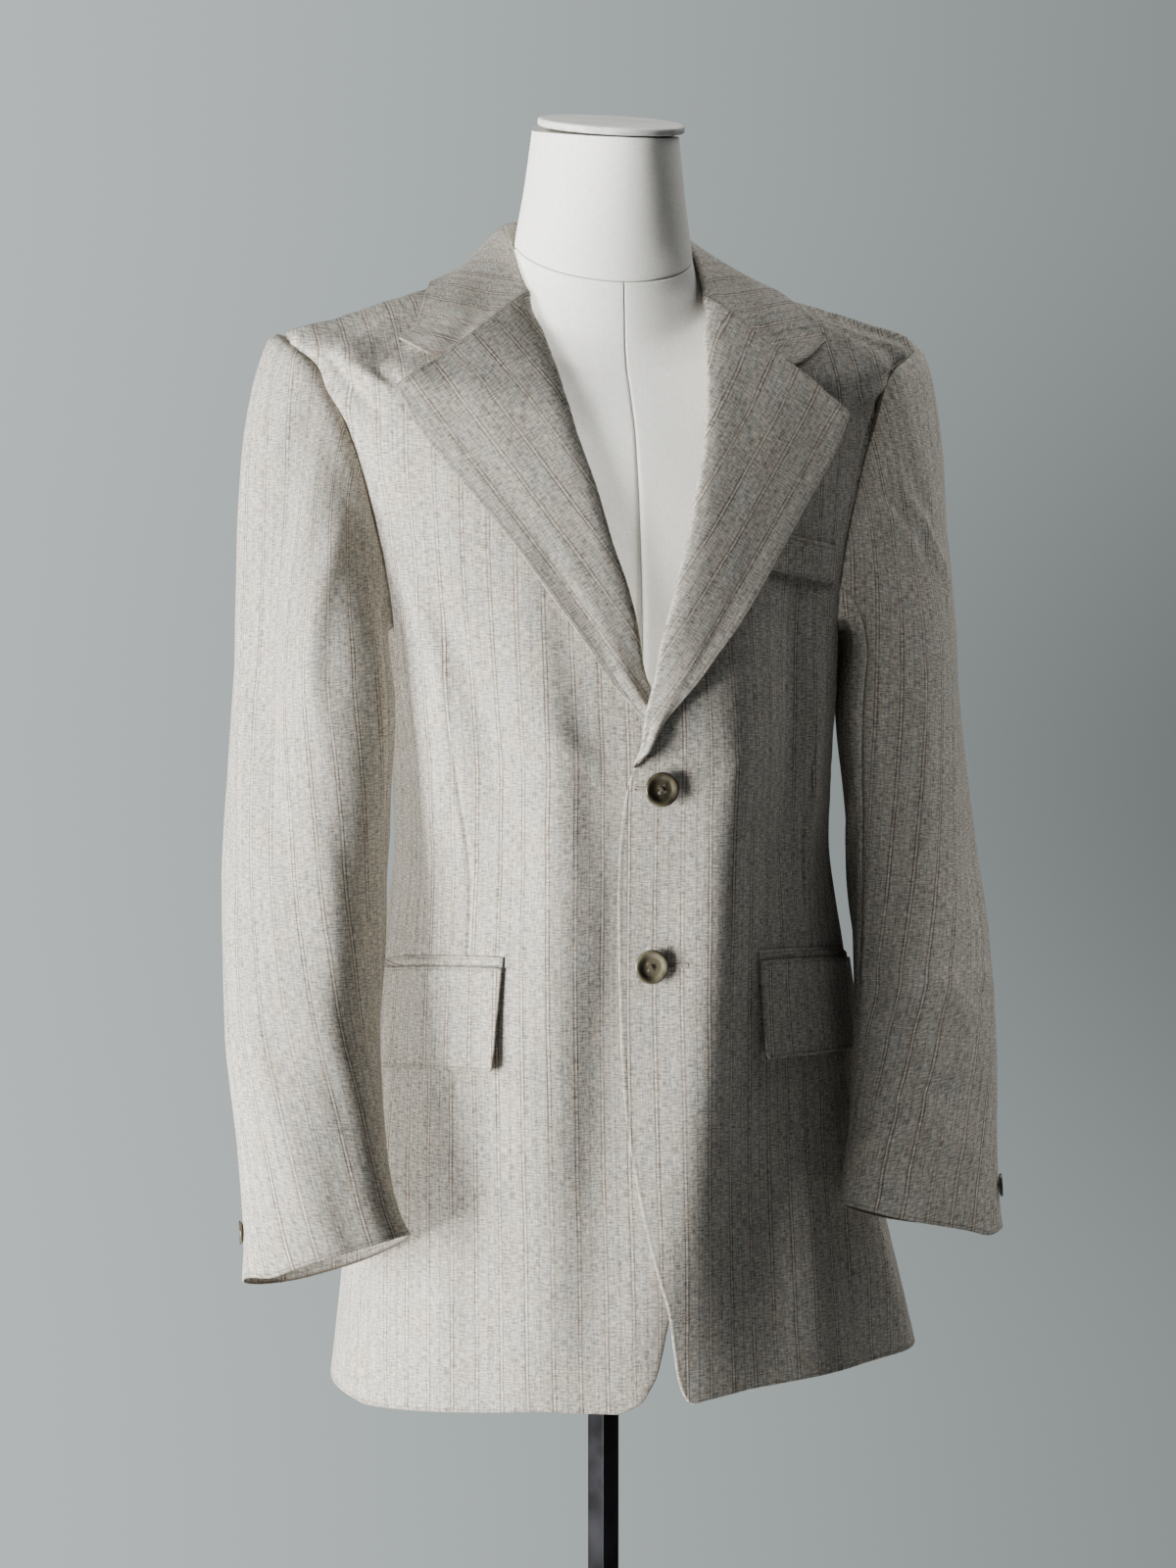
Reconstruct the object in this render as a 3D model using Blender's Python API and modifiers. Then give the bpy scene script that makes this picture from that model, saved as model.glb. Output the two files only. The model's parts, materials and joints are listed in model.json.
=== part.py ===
"""A single breasted blazer on a limbless dress form, as solids for Blender 4.5.

Metres, +Z up. The origin is on the floor under the stand's pole, the garment faces -Y
and the wearer's left is +X. The cloth is a wall of real thickness: every panel is cut
from one draped body surface, and each sleeve is a tube sewn into the armhole.
"""
import math

import bmesh
import bpy
import numpy as np
from mathutils import Vector

# ---------------------------------------------------------------- driving sizes
CLOTH = 0.0018              # wall of a body or sleeve panel
LAPEL_CLOTH = 0.0022        # facing and front pressed together
SEAM = 0.0003               # gap between two pieces that are sewn together
CLOSURE_LIFT = 0.0042       # left front over the right one
CROSSING_LIFT = 0.0050      # and more where it crosses the right lapel's foot
BUTTON_WIDTH = 0.0226
CUFF_BUTTON_WIDTH = 0.0155
POLE_SIDE = 0.0155
BASE_WIDTH = 0.38
BASE_THICK = 0.0060
BUTTON_CENTRES = {"front_button_upper": (-0.0016, 1.1349), "front_button_lower": (-0.0061, 1.0202)}

# The body surface: a ring at each level, front at angle 0 and the wearer's left at +90.
# level: half widths to the wearer's right and left, depth in front and behind, corner
# (2 is an ellipse, more is boxier), and the ring's height in front, at the side, behind.
LEVELS = (
    # right,  left,  front,  back,  corner, z_front, z_side, z_back
    (0.1900, 0.2170, 0.1520, 0.1400, 2.10, 0.7400, 0.7400, 0.7400),    # 0 hem
    (0.1730, 0.1890, 0.1450, 0.1350, 2.10, 0.8700, 0.8700, 0.8700),    # 1 hip
    (0.1530, 0.1680, 0.1370, 0.1260, 2.10, 1.0100, 1.0100, 1.0100),    # 2 pockets
    (0.1430, 0.1550, 0.1400, 0.1180, 2.10, 1.0900, 1.0900, 1.0900),    # 3 waist
    (0.1440, 0.1540, 0.1410, 0.1150, 2.20, 1.1350, 1.1350, 1.1350),    # 4 top button
    (0.1510, 0.1570, 0.1320, 0.1160, 2.30, 1.1950, 1.1900, 1.1950),    # 5 ribs
    (0.1600, 0.1600, 0.1240, 0.1200, 2.30, 1.2500, 1.2350, 1.2550),    # 6 underarm
    (0.1800, 0.1800, 0.1130, 0.1230, 2.10, 1.3150, 1.3350, 1.3350),    # 7 half armhole
    (0.2165, 0.2165, 0.0970, 0.1120, 1.80, 1.3720, 1.4260, 1.4100),    # 8 shoulder tip
    (0.1840, 0.1840, 0.0890, 0.1060, 1.85, 1.3870, 1.4385, 1.4320),    # 9
    (0.1500, 0.1500, 0.0800, 0.0980, 1.90, 1.4000, 1.4500, 1.4510),    # 10 half shoulder
    (0.1150, 0.1150, 0.0670, 0.0890, 1.95, 1.4120, 1.4615, 1.4690),    # 11
    (0.0790, 0.0790, 0.0530, 0.0780, 2.00, 1.4230, 1.4740, 1.4830),    # 12 neckline
)
# The hem's height round the body: the right side hangs lower than the left.
HEM = (
    # angle, height
    (-180.0, 0.7350), (-120.0, 0.7280), (-90.0, 0.7250), (-70.0, 0.7240), (-50.0, 0.7290),
    (-24.0, 0.7350), (-8.0, 0.7325), (0.0, 0.7345), (6.0, 0.7378), (15.0, 0.7410),
    (40.0, 0.7428), (90.0, 0.7420), (130.0, 0.7380), (180.0, 0.7350),
)
UNDERARM = 6.0
TIP = 8.0
NECK = 12.0
# Rows of every panel, as levels: closer at the hem's round corners and over the shoulder.
SKIRT_HEIGHTS = (0.000, 0.004, 0.012, 0.026, 0.052, 0.088, 0.126, 0.164, 0.202, 0.240, 0.275,
                 0.310, 0.345, 0.378, 0.410, 0.440, 0.470)
ARMHOLE_LEVELS = (6.00, 6.25, 6.50, 6.78, 7.06, 7.34, 7.60, 7.84, 8.00)
SHOULDER_STEPS = 5

# Where the panels part, in degrees round the body: the side body's two seams and the
# armhole's front and back edges.
SIDE_SEAMS = (
    # level, front seam right and left, back seam
    (0.0, 76.0, 74.0, 116.0),
    (2.0, 75.0, 71.0, 116.0),
    (3.0, 74.0, 69.0, 114.0),
    (5.0, 74.0, 68.0, 113.0),
    (6.0, 73.0, 66.0, 114.0),
)
ARMHOLE = (
    # level, front edge right and left, back edge
    (6.0, 73.0, 66.0, 114.0),
    (6.5, 71.5, 64.0, 112.0),
    (7.0, 72.0, 66.0, 108.5),
    (7.4, 70.5, 64.5, 106.0),
    (7.7, 71.0, 62.5, 103.0),
    (7.88, 76.0, 66.0, 99.0),
    (8.0, 90.0, 90.0, 90.0),
)
ARMHOLE_DIP = 0.16          # levels that the side body's top edge drops in its middle

# Edges of the two fronts seen from straight ahead: height and distance from the middle,
# from the hem up. The roll line of the lapel carries on from the closing edge.
CLOSING_EDGE = {
    # the wearer's left front lies on top and shows its whole edge
    "left": ((0.7360, 0.0200), (0.7376, 0.0155), (0.7458, 0.0099), (0.7542, 0.0074),
             (0.7703, 0.0049), (0.7851, 0.0031), (0.7973, 0.0012), (0.8205, -0.0051),
             (0.8468, -0.0113), (0.8773, -0.0166), (0.9177, -0.0223), (0.9572, -0.0247),
             (1.0126, -0.0260), (1.0684, -0.0271), (1.0923, -0.0268), (1.1093, -0.0257),
             (1.1287, -0.0234), (1.1486, -0.0180)),
    "right": ((0.7320, -0.0320), (0.7358, -0.0227), (0.7392, -0.0162), (0.7459, -0.0116),
              (0.7551, -0.0063), (0.7695, -0.0022), (0.7827, 0.0006), (0.7950, 0.0036),
              (0.8300, 0.0110), (0.8800, 0.0165), (0.9500, 0.0195), (1.0200, 0.0200),
              (1.0900, 0.0190), (1.1300, 0.0160), (1.1600, 0.0115)),
}
ROLL_LINE = {
    "left": ((1.1486, -0.0180), (1.1600, -0.0120), (1.1800, -0.0079), (1.2006, -0.0012),
             (1.2266, 0.0057), (1.2476, 0.0131), (1.2707, 0.0200), (1.2931, 0.0269),
             (1.3201, 0.0337), (1.3484, 0.0411), (1.3681, 0.0450), (1.3978, 0.0512),
             (1.4286, 0.0577), (1.4509, 0.0627)),
    "right": ((1.1600, 0.0115), (1.1860, 0.0010), (1.2022, -0.0089), (1.2365, -0.0153),
              (1.2626, -0.0220), (1.2875, -0.0300), (1.3224, -0.0385), (1.3637, -0.0503),
              (1.4124, -0.0583), (1.4509, -0.0627)),
}
GORGE_ANGLE = 52.5          # where the roll line reaches the neckline
# The lapel's outline: where it ends below, notch corner, tip, then its free edge down.
LAPEL_FOOT = {"left": 1.1500, "right": 1.1800}
LAPEL_NOTCH = {"left": (1.4070, 0.1103), "right": (1.4092, -0.1256)}
LAPEL_EDGE = {
    "left": ((1.3764, 0.1464), (1.3496, 0.1324), (1.3314, 0.1204), (1.3128, 0.1069),
             (1.2778, 0.0825), (1.2415, 0.0562), (1.2205, 0.0386), (1.1940, 0.0166),
             (1.1740, -0.0010), (1.1580, -0.0095)),
    "right": ((1.3920, -0.1546), (1.3700, -0.1442), (1.3462, -0.1284), (1.3224, -0.1109),
              (1.2876, -0.0855), (1.2584, -0.0665), (1.2286, -0.0468), (1.2037, -0.0309),
              (1.1794, -0.0110), (1.1720, -0.0060)),
}
LAPEL_COLUMNS = (0.0, 0.16, 0.36, 0.54, 0.68, 0.84, 1.0)
LAPEL_FOLD = (
    # over the front (minus is beyond the roll line, towards the neck), above its face
    (-0.0004, -0.0009),
    (-0.0028, -0.0008),
    (-0.0050, 0.0024),
    (-0.0036, 0.0060),
)
LAPEL_BELLY = 0.0075        # middle of the lapel's wall above the front beside the roll
LAPEL_LIE = 0.0040          # and at its free edge
COLLAR_TIP = {"left": (1.4236, 0.1414), "right": (1.4223, -0.1493)}

# The collar round the neck, mirrored: the neckline angle, where its crest stands, and
# where its outer edge lies on the body surface.
COLLAR = (
    # angle, crest_x, crest_y, crest_z, edge_angle, edge_level
    (58.0, 0.0625, -0.0280, 1.4610, 59.0, 9.60),
    (66.0, 0.0638, -0.0170, 1.4720, 66.0, 10.14),
    (78.0, 0.0641, -0.0030, 1.4850, 76.0, 10.60),
    (92.0, 0.0635, 0.0130, 1.4950, 90.0, 10.92),
    (108.0, 0.0622, 0.0310, 1.5020, 107.0, 10.98),
    (126.0, 0.0542, 0.0490, 1.5070, 126.0, 11.00),
    (144.0, 0.0410, 0.0620, 1.5100, 144.0, 11.00),
    (162.0, 0.0215, 0.0700, 1.5120, 162.0, 11.00),
    (180.0, 0.0000, 0.0730, 1.5125, 180.0, 11.00),
)
COLLAR_STATIONS = (58.0, 66.0, 75.0, 84.0, 93.0, 104.0, 117.0, 132.0, 148.0, 164.0, 180.0)
COLLAR_LIE = 0.0042         # middle of the fall's wall above the shoulder
# Large folds of the body: raised where depth is positive.
BODY_FOLDS = (
    # angle, angle_top, width, level_low, level_high, depth
    (-62.0, -66.0, 9.0, 1.6, 6.2, 0.0060),
    (-40.0, -34.0, 12.0, 2.2, 6.5, -0.0040),
    (32.0, 30.0, 14.0, 0.3, 5.5, 0.0040),
    (63.0, 61.0, 10.0, -0.9, 1.0, 0.0060),
    (60.0, 58.0, 14.0, 0.5, 3.6, -0.0060),
)
SHOULDER_FOLDS = (
    # angle, width, level_low, level_high, depth
    (78.0, 7.0, 7.6, 8.9, 0.0016),
)

# Each sleeve: rings down the arm. Centre, half width along the ring's long axis and
# across it, outwards and inwards, the turn of the long axis away from straight back,
# and how much the ring rises to the front and to the body's side, in m per m.
SLEEVES = {
    "right": (
        # x,      y,      z,     long,   out,    inner,  turn, rise_front, rise_inner
        (0.2010, -0.0100, 1.2050, 0.0640, 0.0450, 0.0340, 22.0, 0.06, 0.10),
        (0.2050, -0.0160, 1.1500, 0.0620, 0.0450, 0.0370, 28.0, 0.08, 0.05),
        (0.2096, -0.0250, 1.0900, 0.0590, 0.0450, 0.0390, 36.0, 0.12, 0.02),
        (0.2138, -0.0400, 1.0300, 0.0545, 0.0450, 0.0420, 45.0, 0.18, 0.02),
        (0.2180, -0.0620, 0.9600, 0.0490, 0.0450, 0.0420, 60.0, 0.28, 0.06),
        (0.2172, -0.0840, 0.9000, 0.0470, 0.0410, 0.0390, 72.0, 0.36, 0.14),
        (0.2145, -0.0980, 0.8580, 0.0495, 0.0370, 0.0350, 80.0, 0.42, 0.24),
        (0.2124, -0.1050, 0.8380, 0.0540, 0.0340, 0.0330, 84.0, 0.44, 0.30),
    ),
    "left": (
        (0.2052, -0.0100, 1.2050, 0.0640, 0.0450, 0.0340, 22.0, 0.06, 0.10),
        (0.2080, -0.0160, 1.1500, 0.0620, 0.0450, 0.0370, 28.0, 0.08, 0.05),
        (0.2103, -0.0270, 1.0900, 0.0590, 0.0450, 0.0380, 36.0, 0.12, 0.02),
        (0.2072, -0.0525, 1.0300, 0.0545, 0.0460, 0.0370, 47.0, 0.16, 0.02),
        (0.1965, -0.0930, 0.9600, 0.0510, 0.0450, 0.0350, 64.0, 0.22, 0.06),
        (0.1880, -0.1170, 0.9020, 0.0515, 0.0410, 0.0340, 78.0, 0.24, 0.12),
        (0.1820, -0.1320, 0.8640, 0.0535, 0.0370, 0.0340, 86.0, 0.22, 0.18),
        (0.1808, -0.1380, 0.8460, 0.0550, 0.0340, 0.0330, 90.0, 0.20, 0.22),
    ),
}
SLEEVE_ROWS = 15            # rings between the bicep and the cuff
CAP_STEPS = (0.0, 0.07, 0.18, 0.34, 0.52, 0.70, 0.86)
HIND_SEAM_ROW = 5           # armhole rows above the underarm where the hind seam starts
FRONT_SEAM_ROW = 1
UNDER_SPAN = 158.0          # degrees of a sleeve ring that the under sleeve takes

# Pocket flaps: the front and hind end in degrees, top and bottom height.
POCKETS = {
    # side: angle_front, angle_back, top, bottom, drop of the hind end
    "right": (-38.4, -91.0, 1.0168, 0.9470, 0.0120),
    "left": (24.6, 76.0, 1.0165, 0.9500, 0.0120),
}
FLAP_CLOTH = 0.0018
FLAP_LIE = 0.0026
JET_HEIGHT = 0.0046
JET_CLOTH = 0.0010
# Breast welt corners seen from straight ahead: height and distance from the middle.
WELT_CORNERS = ((1.2998, 0.0780), (1.2882, 0.1420), (1.2632, 0.1410), (1.2742, 0.0770))

# The dress form's body follows the jacket inside it: how far in at each level.
FORM_BODY = (
    # level, inset in front, at the side, behind
    (1.08, 0.0750, 0.0700, 0.0650),
    (1.12, 0.0520, 0.0470, 0.0420),
    (1.25, 0.0440, 0.0390, 0.0340),
    (2.0, 0.0400, 0.0300, 0.0250),
    (3.0, 0.0480, 0.0290, 0.0220),
    (4.0, 0.0500, 0.0270, 0.0200),
    (5.0, 0.0360, 0.0230, 0.0160),
    (6.0, 0.0290, 0.0200, 0.0120),
    (7.0, 0.0250, 0.0180, 0.0100),
    (8.0, 0.0210, 0.0150, 0.0080),
    (9.0, 0.0200, 0.0050, 0.0060),
    (10.0, 0.0180, 0.0042, 0.0052),
    (11.0, 0.0130, 0.0042, 0.0052),
)
FORM_NECK = (
    # half_width, front, back, z_front, z_side, z_back
    (0.0740, 0.0530, 0.0730, 1.4240, 1.4685, 1.4760),
    (0.0660, 0.0525, 0.0670, 1.4400, 1.4745, 1.4815),
    (0.0612, 0.0515, 0.0610, 1.4560, 1.4830, 1.4890),
    (0.0590, 0.0515, 0.0550, 1.4780, 1.4980, 1.5040),
    (0.0545, 0.0575, 0.0420, 1.5120, 1.5240, 1.5330),
    (0.0490, 0.0660, 0.0300, 1.5540, 1.5645, 1.5750),
)
FORM_SIDES = 30
NECK_CAP = {"half_width": 0.0490, "y": -0.0186, "tilt": 12.4, "z": 1.5680, "thick": 0.0052}

# ---------------------------------------------------------------- finishes
FINISHES = {
    # name: colour, roughness, metallic
    "blazer_cloth": ((0.60, 0.53, 0.45), 0.90, 0.0),
    "horn_button": ((0.16, 0.13, 0.08), 0.35, 0.0),
    "linen_cover": ((0.66, 0.62, 0.54), 0.95, 0.0),
    "pale_wood": ((0.74, 0.71, 0.64), 0.55, 0.0),
    "black_steel": ((0.02, 0.02, 0.022), 0.40, 0.9),
}


def clear_scene():
    """Empty the scene that the script starts in."""
    for old in list(bpy.data.objects):
        bpy.data.objects.remove(old, do_unlink=True)


def finish(name):
    """The material of that name, made when it is first asked for."""
    made = bpy.data.materials.get(name)
    if made:
        return made
    colour, roughness, metallic = FINISHES[name]
    made = bpy.data.materials.new(name)
    made.use_nodes = True
    shader = made.node_tree.nodes["Principled BSDF"]
    shader.inputs["Base Color"].default_value = (*colour, 1.0)
    shader.inputs["Roughness"].default_value = roughness
    shader.inputs["Metallic"].default_value = metallic
    return made


# ---------------------------------------------------------------- curves and surfaces
def smooth(xs, ys, at):
    """A smooth curve through the points (xs, ys) that never overshoots them."""
    xs, ys, at = np.asarray(xs, float), np.asarray(ys, float), np.asarray(at, float)
    step, rise = np.diff(xs), np.diff(ys)
    slope = rise / step
    tangent = np.concatenate([slope[:1], (slope[1:] + slope[:-1]) / 2, slope[-1:]])
    for i in range(1, len(xs) - 1):
        if slope[i - 1] * slope[i] <= 0:
            tangent[i] = 0.0
        else:
            weight = (2 * step[i] + step[i - 1], step[i] + 2 * step[i - 1])
            tangent[i] = sum(weight) / (weight[0] / slope[i - 1] + weight[1] / slope[i])
    i = np.clip(np.searchsorted(xs, at) - 1, 0, len(xs) - 2)
    f = np.clip((at - xs[i]) / step[i], 0.0, 1.0)
    return (ys[i] * (1 + 2 * f) * (1 - f) ** 2 + ys[i + 1] * f * f * (3 - 2 * f)
            + step[i] * (tangent[i] * f * (1 - f) ** 2 + tangent[i + 1] * f * f * (f - 1)))


def step_up(low, high, at):
    """0 below low, 1 above high, and an even rise between."""
    f = np.clip((np.asarray(at, float) - low) / (high - low), 0.0, 1.0)
    return f * f * (3 - 2 * f)


def bell(centre, width, at):
    """A soft bump of height 1 about the centre."""
    return np.exp(-(((np.asarray(at, float) - centre) / width) ** 2))


def unit(vectors):
    """The same directions with length 1."""
    return vectors / np.maximum(np.linalg.norm(vectors, axis=-1, keepdims=True), 1e-12)


def fold_height(angle, level):
    """How far the cloth stands out of the plain body surface."""
    height = np.zeros(np.broadcast(angle, level).shape)
    for low_angle, top_angle, width, low, high, depth in BODY_FOLDS:
        along = np.clip((level - low) / (high - low), 0.0, 1.0)
        centre = low_angle + (top_angle - low_angle) * along
        height += depth * bell(centre, width, angle) * np.sin(math.pi * along) ** 0.8
    for centre, width, low, high, depth in SHOULDER_FOLDS:
        along = np.clip((level - low) / (high - low), 0.0, 1.0)
        height += depth * bell(centre, width, np.abs(angle)) * np.sin(math.pi * along)
    return height


def body(angle, level, folds=1.0):
    """Points of the draped body surface at angles round it and levels up it."""
    angle, level = np.broadcast_arrays(np.asarray(angle, float), np.asarray(level, float))
    table = np.array(LEVELS)
    right, left, front, back, corner, z_front, z_side, z_back = (
        smooth(np.arange(len(table)), table[:, k], level) for k in range(table.shape[1]))
    turn = np.radians(angle)
    across, ahead = np.sin(turn), np.cos(turn)
    power = 2.0 / corner
    wide = np.where(across < 0, right, left)
    deep = np.where(ahead > 0, front, back)
    x = wide * np.sign(across) * np.abs(across) ** power
    y = -deep * np.sign(ahead) * np.abs(ahead) ** power
    z_far = np.where(ahead > 0, z_front, z_back)
    z = z_side + (z_far - z_side) * np.abs(ahead) ** 1.6
    hem = np.array(HEM)
    drop = np.interp(angle, hem[:, 0], hem[:, 1]) - LEVELS[0][6]
    z = z + drop * np.clip(1.0 - level, 0.0, 1.0) ** 1.5
    out = fold_height(angle, level) * folds
    return np.stack([x + out * across, y - out * ahead, z], -1)


def body_normal(angle, level):
    """Directions straight out of the body surface."""
    small = 1e-3
    round_it = body(angle + small * 50, level) - body(angle - small * 50, level)
    level = np.clip(level, small, NECK - small)
    up_it = body(angle, level + small) - body(angle, level - small)
    return unit(np.cross(round_it, up_it))


def raised(angle, level, out):
    """Points that lie out of the body surface by the given distances."""
    return body(angle, level) + body_normal(angle, level) * np.asarray(out, float)[..., None]


def place(x, z):
    """Angle and level of the front's point at that distance from the middle and height."""
    x, z = np.broadcast_arrays(np.asarray(x, float), np.asarray(z, float))
    side = np.where(x < 0, -1.0, 1.0)
    grid_angle, grid_level = np.meshgrid(np.linspace(0.5, 90, 46), np.linspace(0, NECK, 121))
    found_angle, found_level = np.empty(x.size), np.empty(x.size)
    for i, (px, pz, sign) in enumerate(zip(x.ravel(), z.ravel(), side.ravel())):
        known = body(grid_angle * sign, grid_level)
        miss = (known[..., 0] - px) ** 2 + (known[..., 2] - pz) ** 2
        best = np.unravel_index(np.argmin(miss), miss.shape)
        a, t = grid_angle[best] * sign, grid_level[best]
        for _ in range(12):
            here = body(a, t)
            by_angle = (body(a + 0.05, t) - body(a - 0.05, t)) / 0.1
            by_level = (body(a, t + 0.002) - body(a, t - 0.002)) / 0.004
            matrix = np.array([[by_angle[0], by_level[0]], [by_angle[2], by_level[2]]])
            error = np.array([px - here[0], pz - here[2]])
            move = np.linalg.lstsq(matrix, error, rcond=None)[0]
            a += float(np.clip(move[0], -4, 4))
            t = float(np.clip(t + np.clip(move[1], -0.3, 0.3), 0.0, NECK))
        found_angle[i], found_level[i] = a, t
    return found_angle.reshape(x.shape), found_level.reshape(x.shape)


def levels_of(heights):
    """Levels whose side height is that far above the hem."""
    sides = np.array(LEVELS)[:7, 6]
    return np.interp(np.asarray(heights) + sides[0], sides, np.arange(7.0))


# ---------------------------------------------------------------- solids
def keep(name, mesh, material):
    """Put a mesh in the scene as a node with its finish."""
    mesh.materials.append(finish(material))
    piece = bpy.data.objects.new(name, mesh)
    PARTS.objects.link(piece)
    return piece


def wall(name, outer, inner, material):
    """A closed wall of cloth between two skins, each a grid of rows and columns."""
    rows, columns = outer.shape[:2]
    made = bmesh.new()
    skins = [[[made.verts.new(point) for point in row] for row in skin] for skin in (outer, inner)]
    out, back = skins
    for i in range(rows - 1):
        for j in range(columns - 1):
            made.faces.new((out[i][j], out[i][j + 1], out[i + 1][j + 1], out[i + 1][j]))
            made.faces.new((back[i][j], back[i + 1][j], back[i + 1][j + 1], back[i][j + 1]))
    rim = [(0, j) for j in range(columns)] + [(i, columns - 1) for i in range(1, rows)]
    rim += [(rows - 1, j) for j in range(columns - 2, -1, -1)] + [(i, 0) for i in range(rows - 2, 0, -1)]
    for (i, j), (k, m) in zip(rim, rim[1:] + rim[:1]):
        made.faces.new((out[i][j], back[i][j], back[k][m], out[k][m]))
    bmesh.ops.recalc_face_normals(made, faces=made.faces)
    bmesh.ops.triangulate(made, faces=made.faces, quad_method="SHORT_EDGE")
    mesh = bpy.data.meshes.new(name)
    made.to_mesh(mesh)
    made.free()
    mesh.shade_smooth()
    mesh.set_sharp_from_angle(angle=math.radians(50))
    return keep(name, mesh, material)


def grid_normals(points):
    """Directions straight out of a grid of points."""
    return unit(np.cross(np.gradient(points, axis=1), np.gradient(points, axis=0)))


def pull_edge(points, column, inward, distance):
    """Move one column of a grid towards its neighbour, to leave a seam's gap."""
    points[:, column] += unit(points[:, inward] - points[:, column]) * distance


def panel(name, rows, inner_angle, outer_angle, columns, lift=None):
    """A panel of the body between two edges, given as angles at each row's level."""
    share = np.linspace(0.0, 1.0, columns)
    angle = inner_angle[:, None] + (outer_angle - inner_angle)[:, None] * share
    level = np.broadcast_to(rows if rows.ndim == 2 else rows[:, None], angle.shape)
    height = lift(angle, level) if lift else np.zeros(angle.shape)
    outer = raised(angle, level, height)
    inner = raised(angle, level, height - CLOTH)
    for skin in (outer, inner):
        pull_edge(skin, 0, 1, SEAM / 2)
        pull_edge(skin, -1, -2, SEAM / 2)
    return wall(name, outer, inner, "blazer_cloth")


def skirt_rows():
    """Levels of the rows from the hem to the underarm."""
    rows = levels_of(SKIRT_HEIGHTS)
    return np.append(rows[:-1], UNDERARM)


def body_rows():
    """Levels of a whole front's or back's rows, from the hem to the neckline."""
    arm = np.array(ARMHOLE_LEVELS[1:])
    shoulder = np.linspace(TIP, NECK, SHOULDER_STEPS + 1)[1:]
    return np.concatenate([skirt_rows(), arm, shoulder])


def outer_edge(rows, which):
    """Angle of a panel's edge at each row: side seam, armhole, then shoulder seam."""
    which = {"right": 1, "left": 2, "back": 3}[which]
    seams, holes = np.array(SIDE_SEAMS), np.array(ARMHOLE)
    below = smooth(seams[:, 0], seams[:, which], np.minimum(rows, UNDERARM))
    beside = smooth(holes[:, 0], holes[:, which], np.clip(rows, UNDERARM, TIP))
    return np.where(rows <= UNDERARM, below, np.where(rows <= TIP, beside, 90.0))


def edge_across(side, height):
    """How far a front's closing edge and roll line run from the middle, by height."""
    points = CLOSING_EDGE[side] + ROLL_LINE[side][1:]
    return smooth([z for z, _ in points], [x for _, x in points], height)


def edge_line(side):
    """A front's closing edge and roll line, as angle and level, from the hem up."""
    heights = np.array([z for z, _ in CLOSING_EDGE[side] + ROLL_LINE[side][1:]])
    fine = np.concatenate([np.linspace(low, high, 5)[:-1] for low, high in zip(heights, heights[1:])])
    fine = np.append(fine, heights[-1])
    return place(edge_across(side, fine), fine)


def closure_lift(angle, level):
    """Height of the left front above the right one where they lap."""
    lap = 1.0 - step_up(3.0, 24.0, angle)
    crossing = bell(4.9, 0.9, level)
    return lap * (CLOSURE_LIFT + CROSSING_LIFT * crossing)


def inner_edge(side):
    """Angle of a front's inner edge at each of its rows."""
    rows = body_rows()
    angle, level = edge_line(side)
    order = np.argsort(level)
    inner = np.interp(rows, level[order], angle[order])
    inner[rows > NECK - 0.5] = GORGE_ANGLE if side == "left" else -GORGE_ANGLE
    return inner


def front(side):
    """One front, from its closing edge and roll line to the side seam and armhole."""
    sign = 1 if side == "left" else -1
    rows = body_rows()
    inner = inner_edge(side)
    lift = closure_lift if side == "left" else None
    panel(f"front_{side}", rows, inner, sign * outer_edge(rows, side), 12, lift)


def back(side):
    """One back, from the centre seam to the side seam, armhole and shoulder."""
    sign = 1 if side == "left" else -1
    rows = body_rows()
    centre = np.full(len(rows), 180.0 * sign)
    panel(f"back_{side}", rows, sign * outer_edge(rows, "back"), centre, 9)


def side_body(side):
    """The narrow side body under the arm."""
    sign = 1 if side == "left" else -1
    rows = skirt_rows()
    share = np.linspace(0.0, 1.0, 5)
    dip = ARMHOLE_DIP * np.sin(math.pi * share) * step_up(4.5, UNDERARM, rows)[:, None]
    level = rows[:, None] - dip
    panel(f"side_{side}", level, sign * outer_edge(rows, side), sign * outer_edge(rows, "back"), 5)


# ---------------------------------------------------------------- sleeves
def armhole_loop(side):
    """The armhole from the hind seam over the shoulder, down the front and back under."""
    sign = 1 if side == "left" else -1
    arm = np.array(ARMHOLE_LEVELS)
    hind, fore = outer_edge(arm, "back"), outer_edge(arm, side)
    below = np.linspace(0.0, 1.0, 5)
    under_angle = fore[0] + (hind[0] - fore[0]) * below
    under_level = UNDERARM - ARMHOLE_DIP * np.sin(math.pi * below)
    angle = np.concatenate([hind[HIND_SEAM_ROW:], fore[-2::-1], under_angle[1:], hind[1:HIND_SEAM_ROW]])
    level = np.concatenate([arm[HIND_SEAM_ROW:], arm[-2::-1], under_level[1:], arm[1:HIND_SEAM_ROW]])
    return angle * sign, level


def sleeve_ring(row, share, sign):
    """One ring of a sleeve at shares 0 to 1 round it, from the hind seam over the top."""
    x, y, z, long, out, inner, turn, rise_front, rise_inner = row
    phase = 2 * math.pi * np.asarray(share)
    along, across = np.cos(phase), np.sin(phase)
    power = 2.0 / 2.3
    reach = long * np.sign(along) * np.abs(along) ** power
    side = np.where(across > 0, out, inner) * np.sign(across) * np.abs(across) ** power
    turn = math.radians(turn)
    dx = reach * math.sin(turn) + side * math.cos(turn)
    dy = reach * math.cos(turn) - side * math.sin(turn)
    dz = -dy * rise_front - dx * rise_inner
    return np.stack([sign * (x + dx), y + dy, z + dz], -1)


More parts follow.
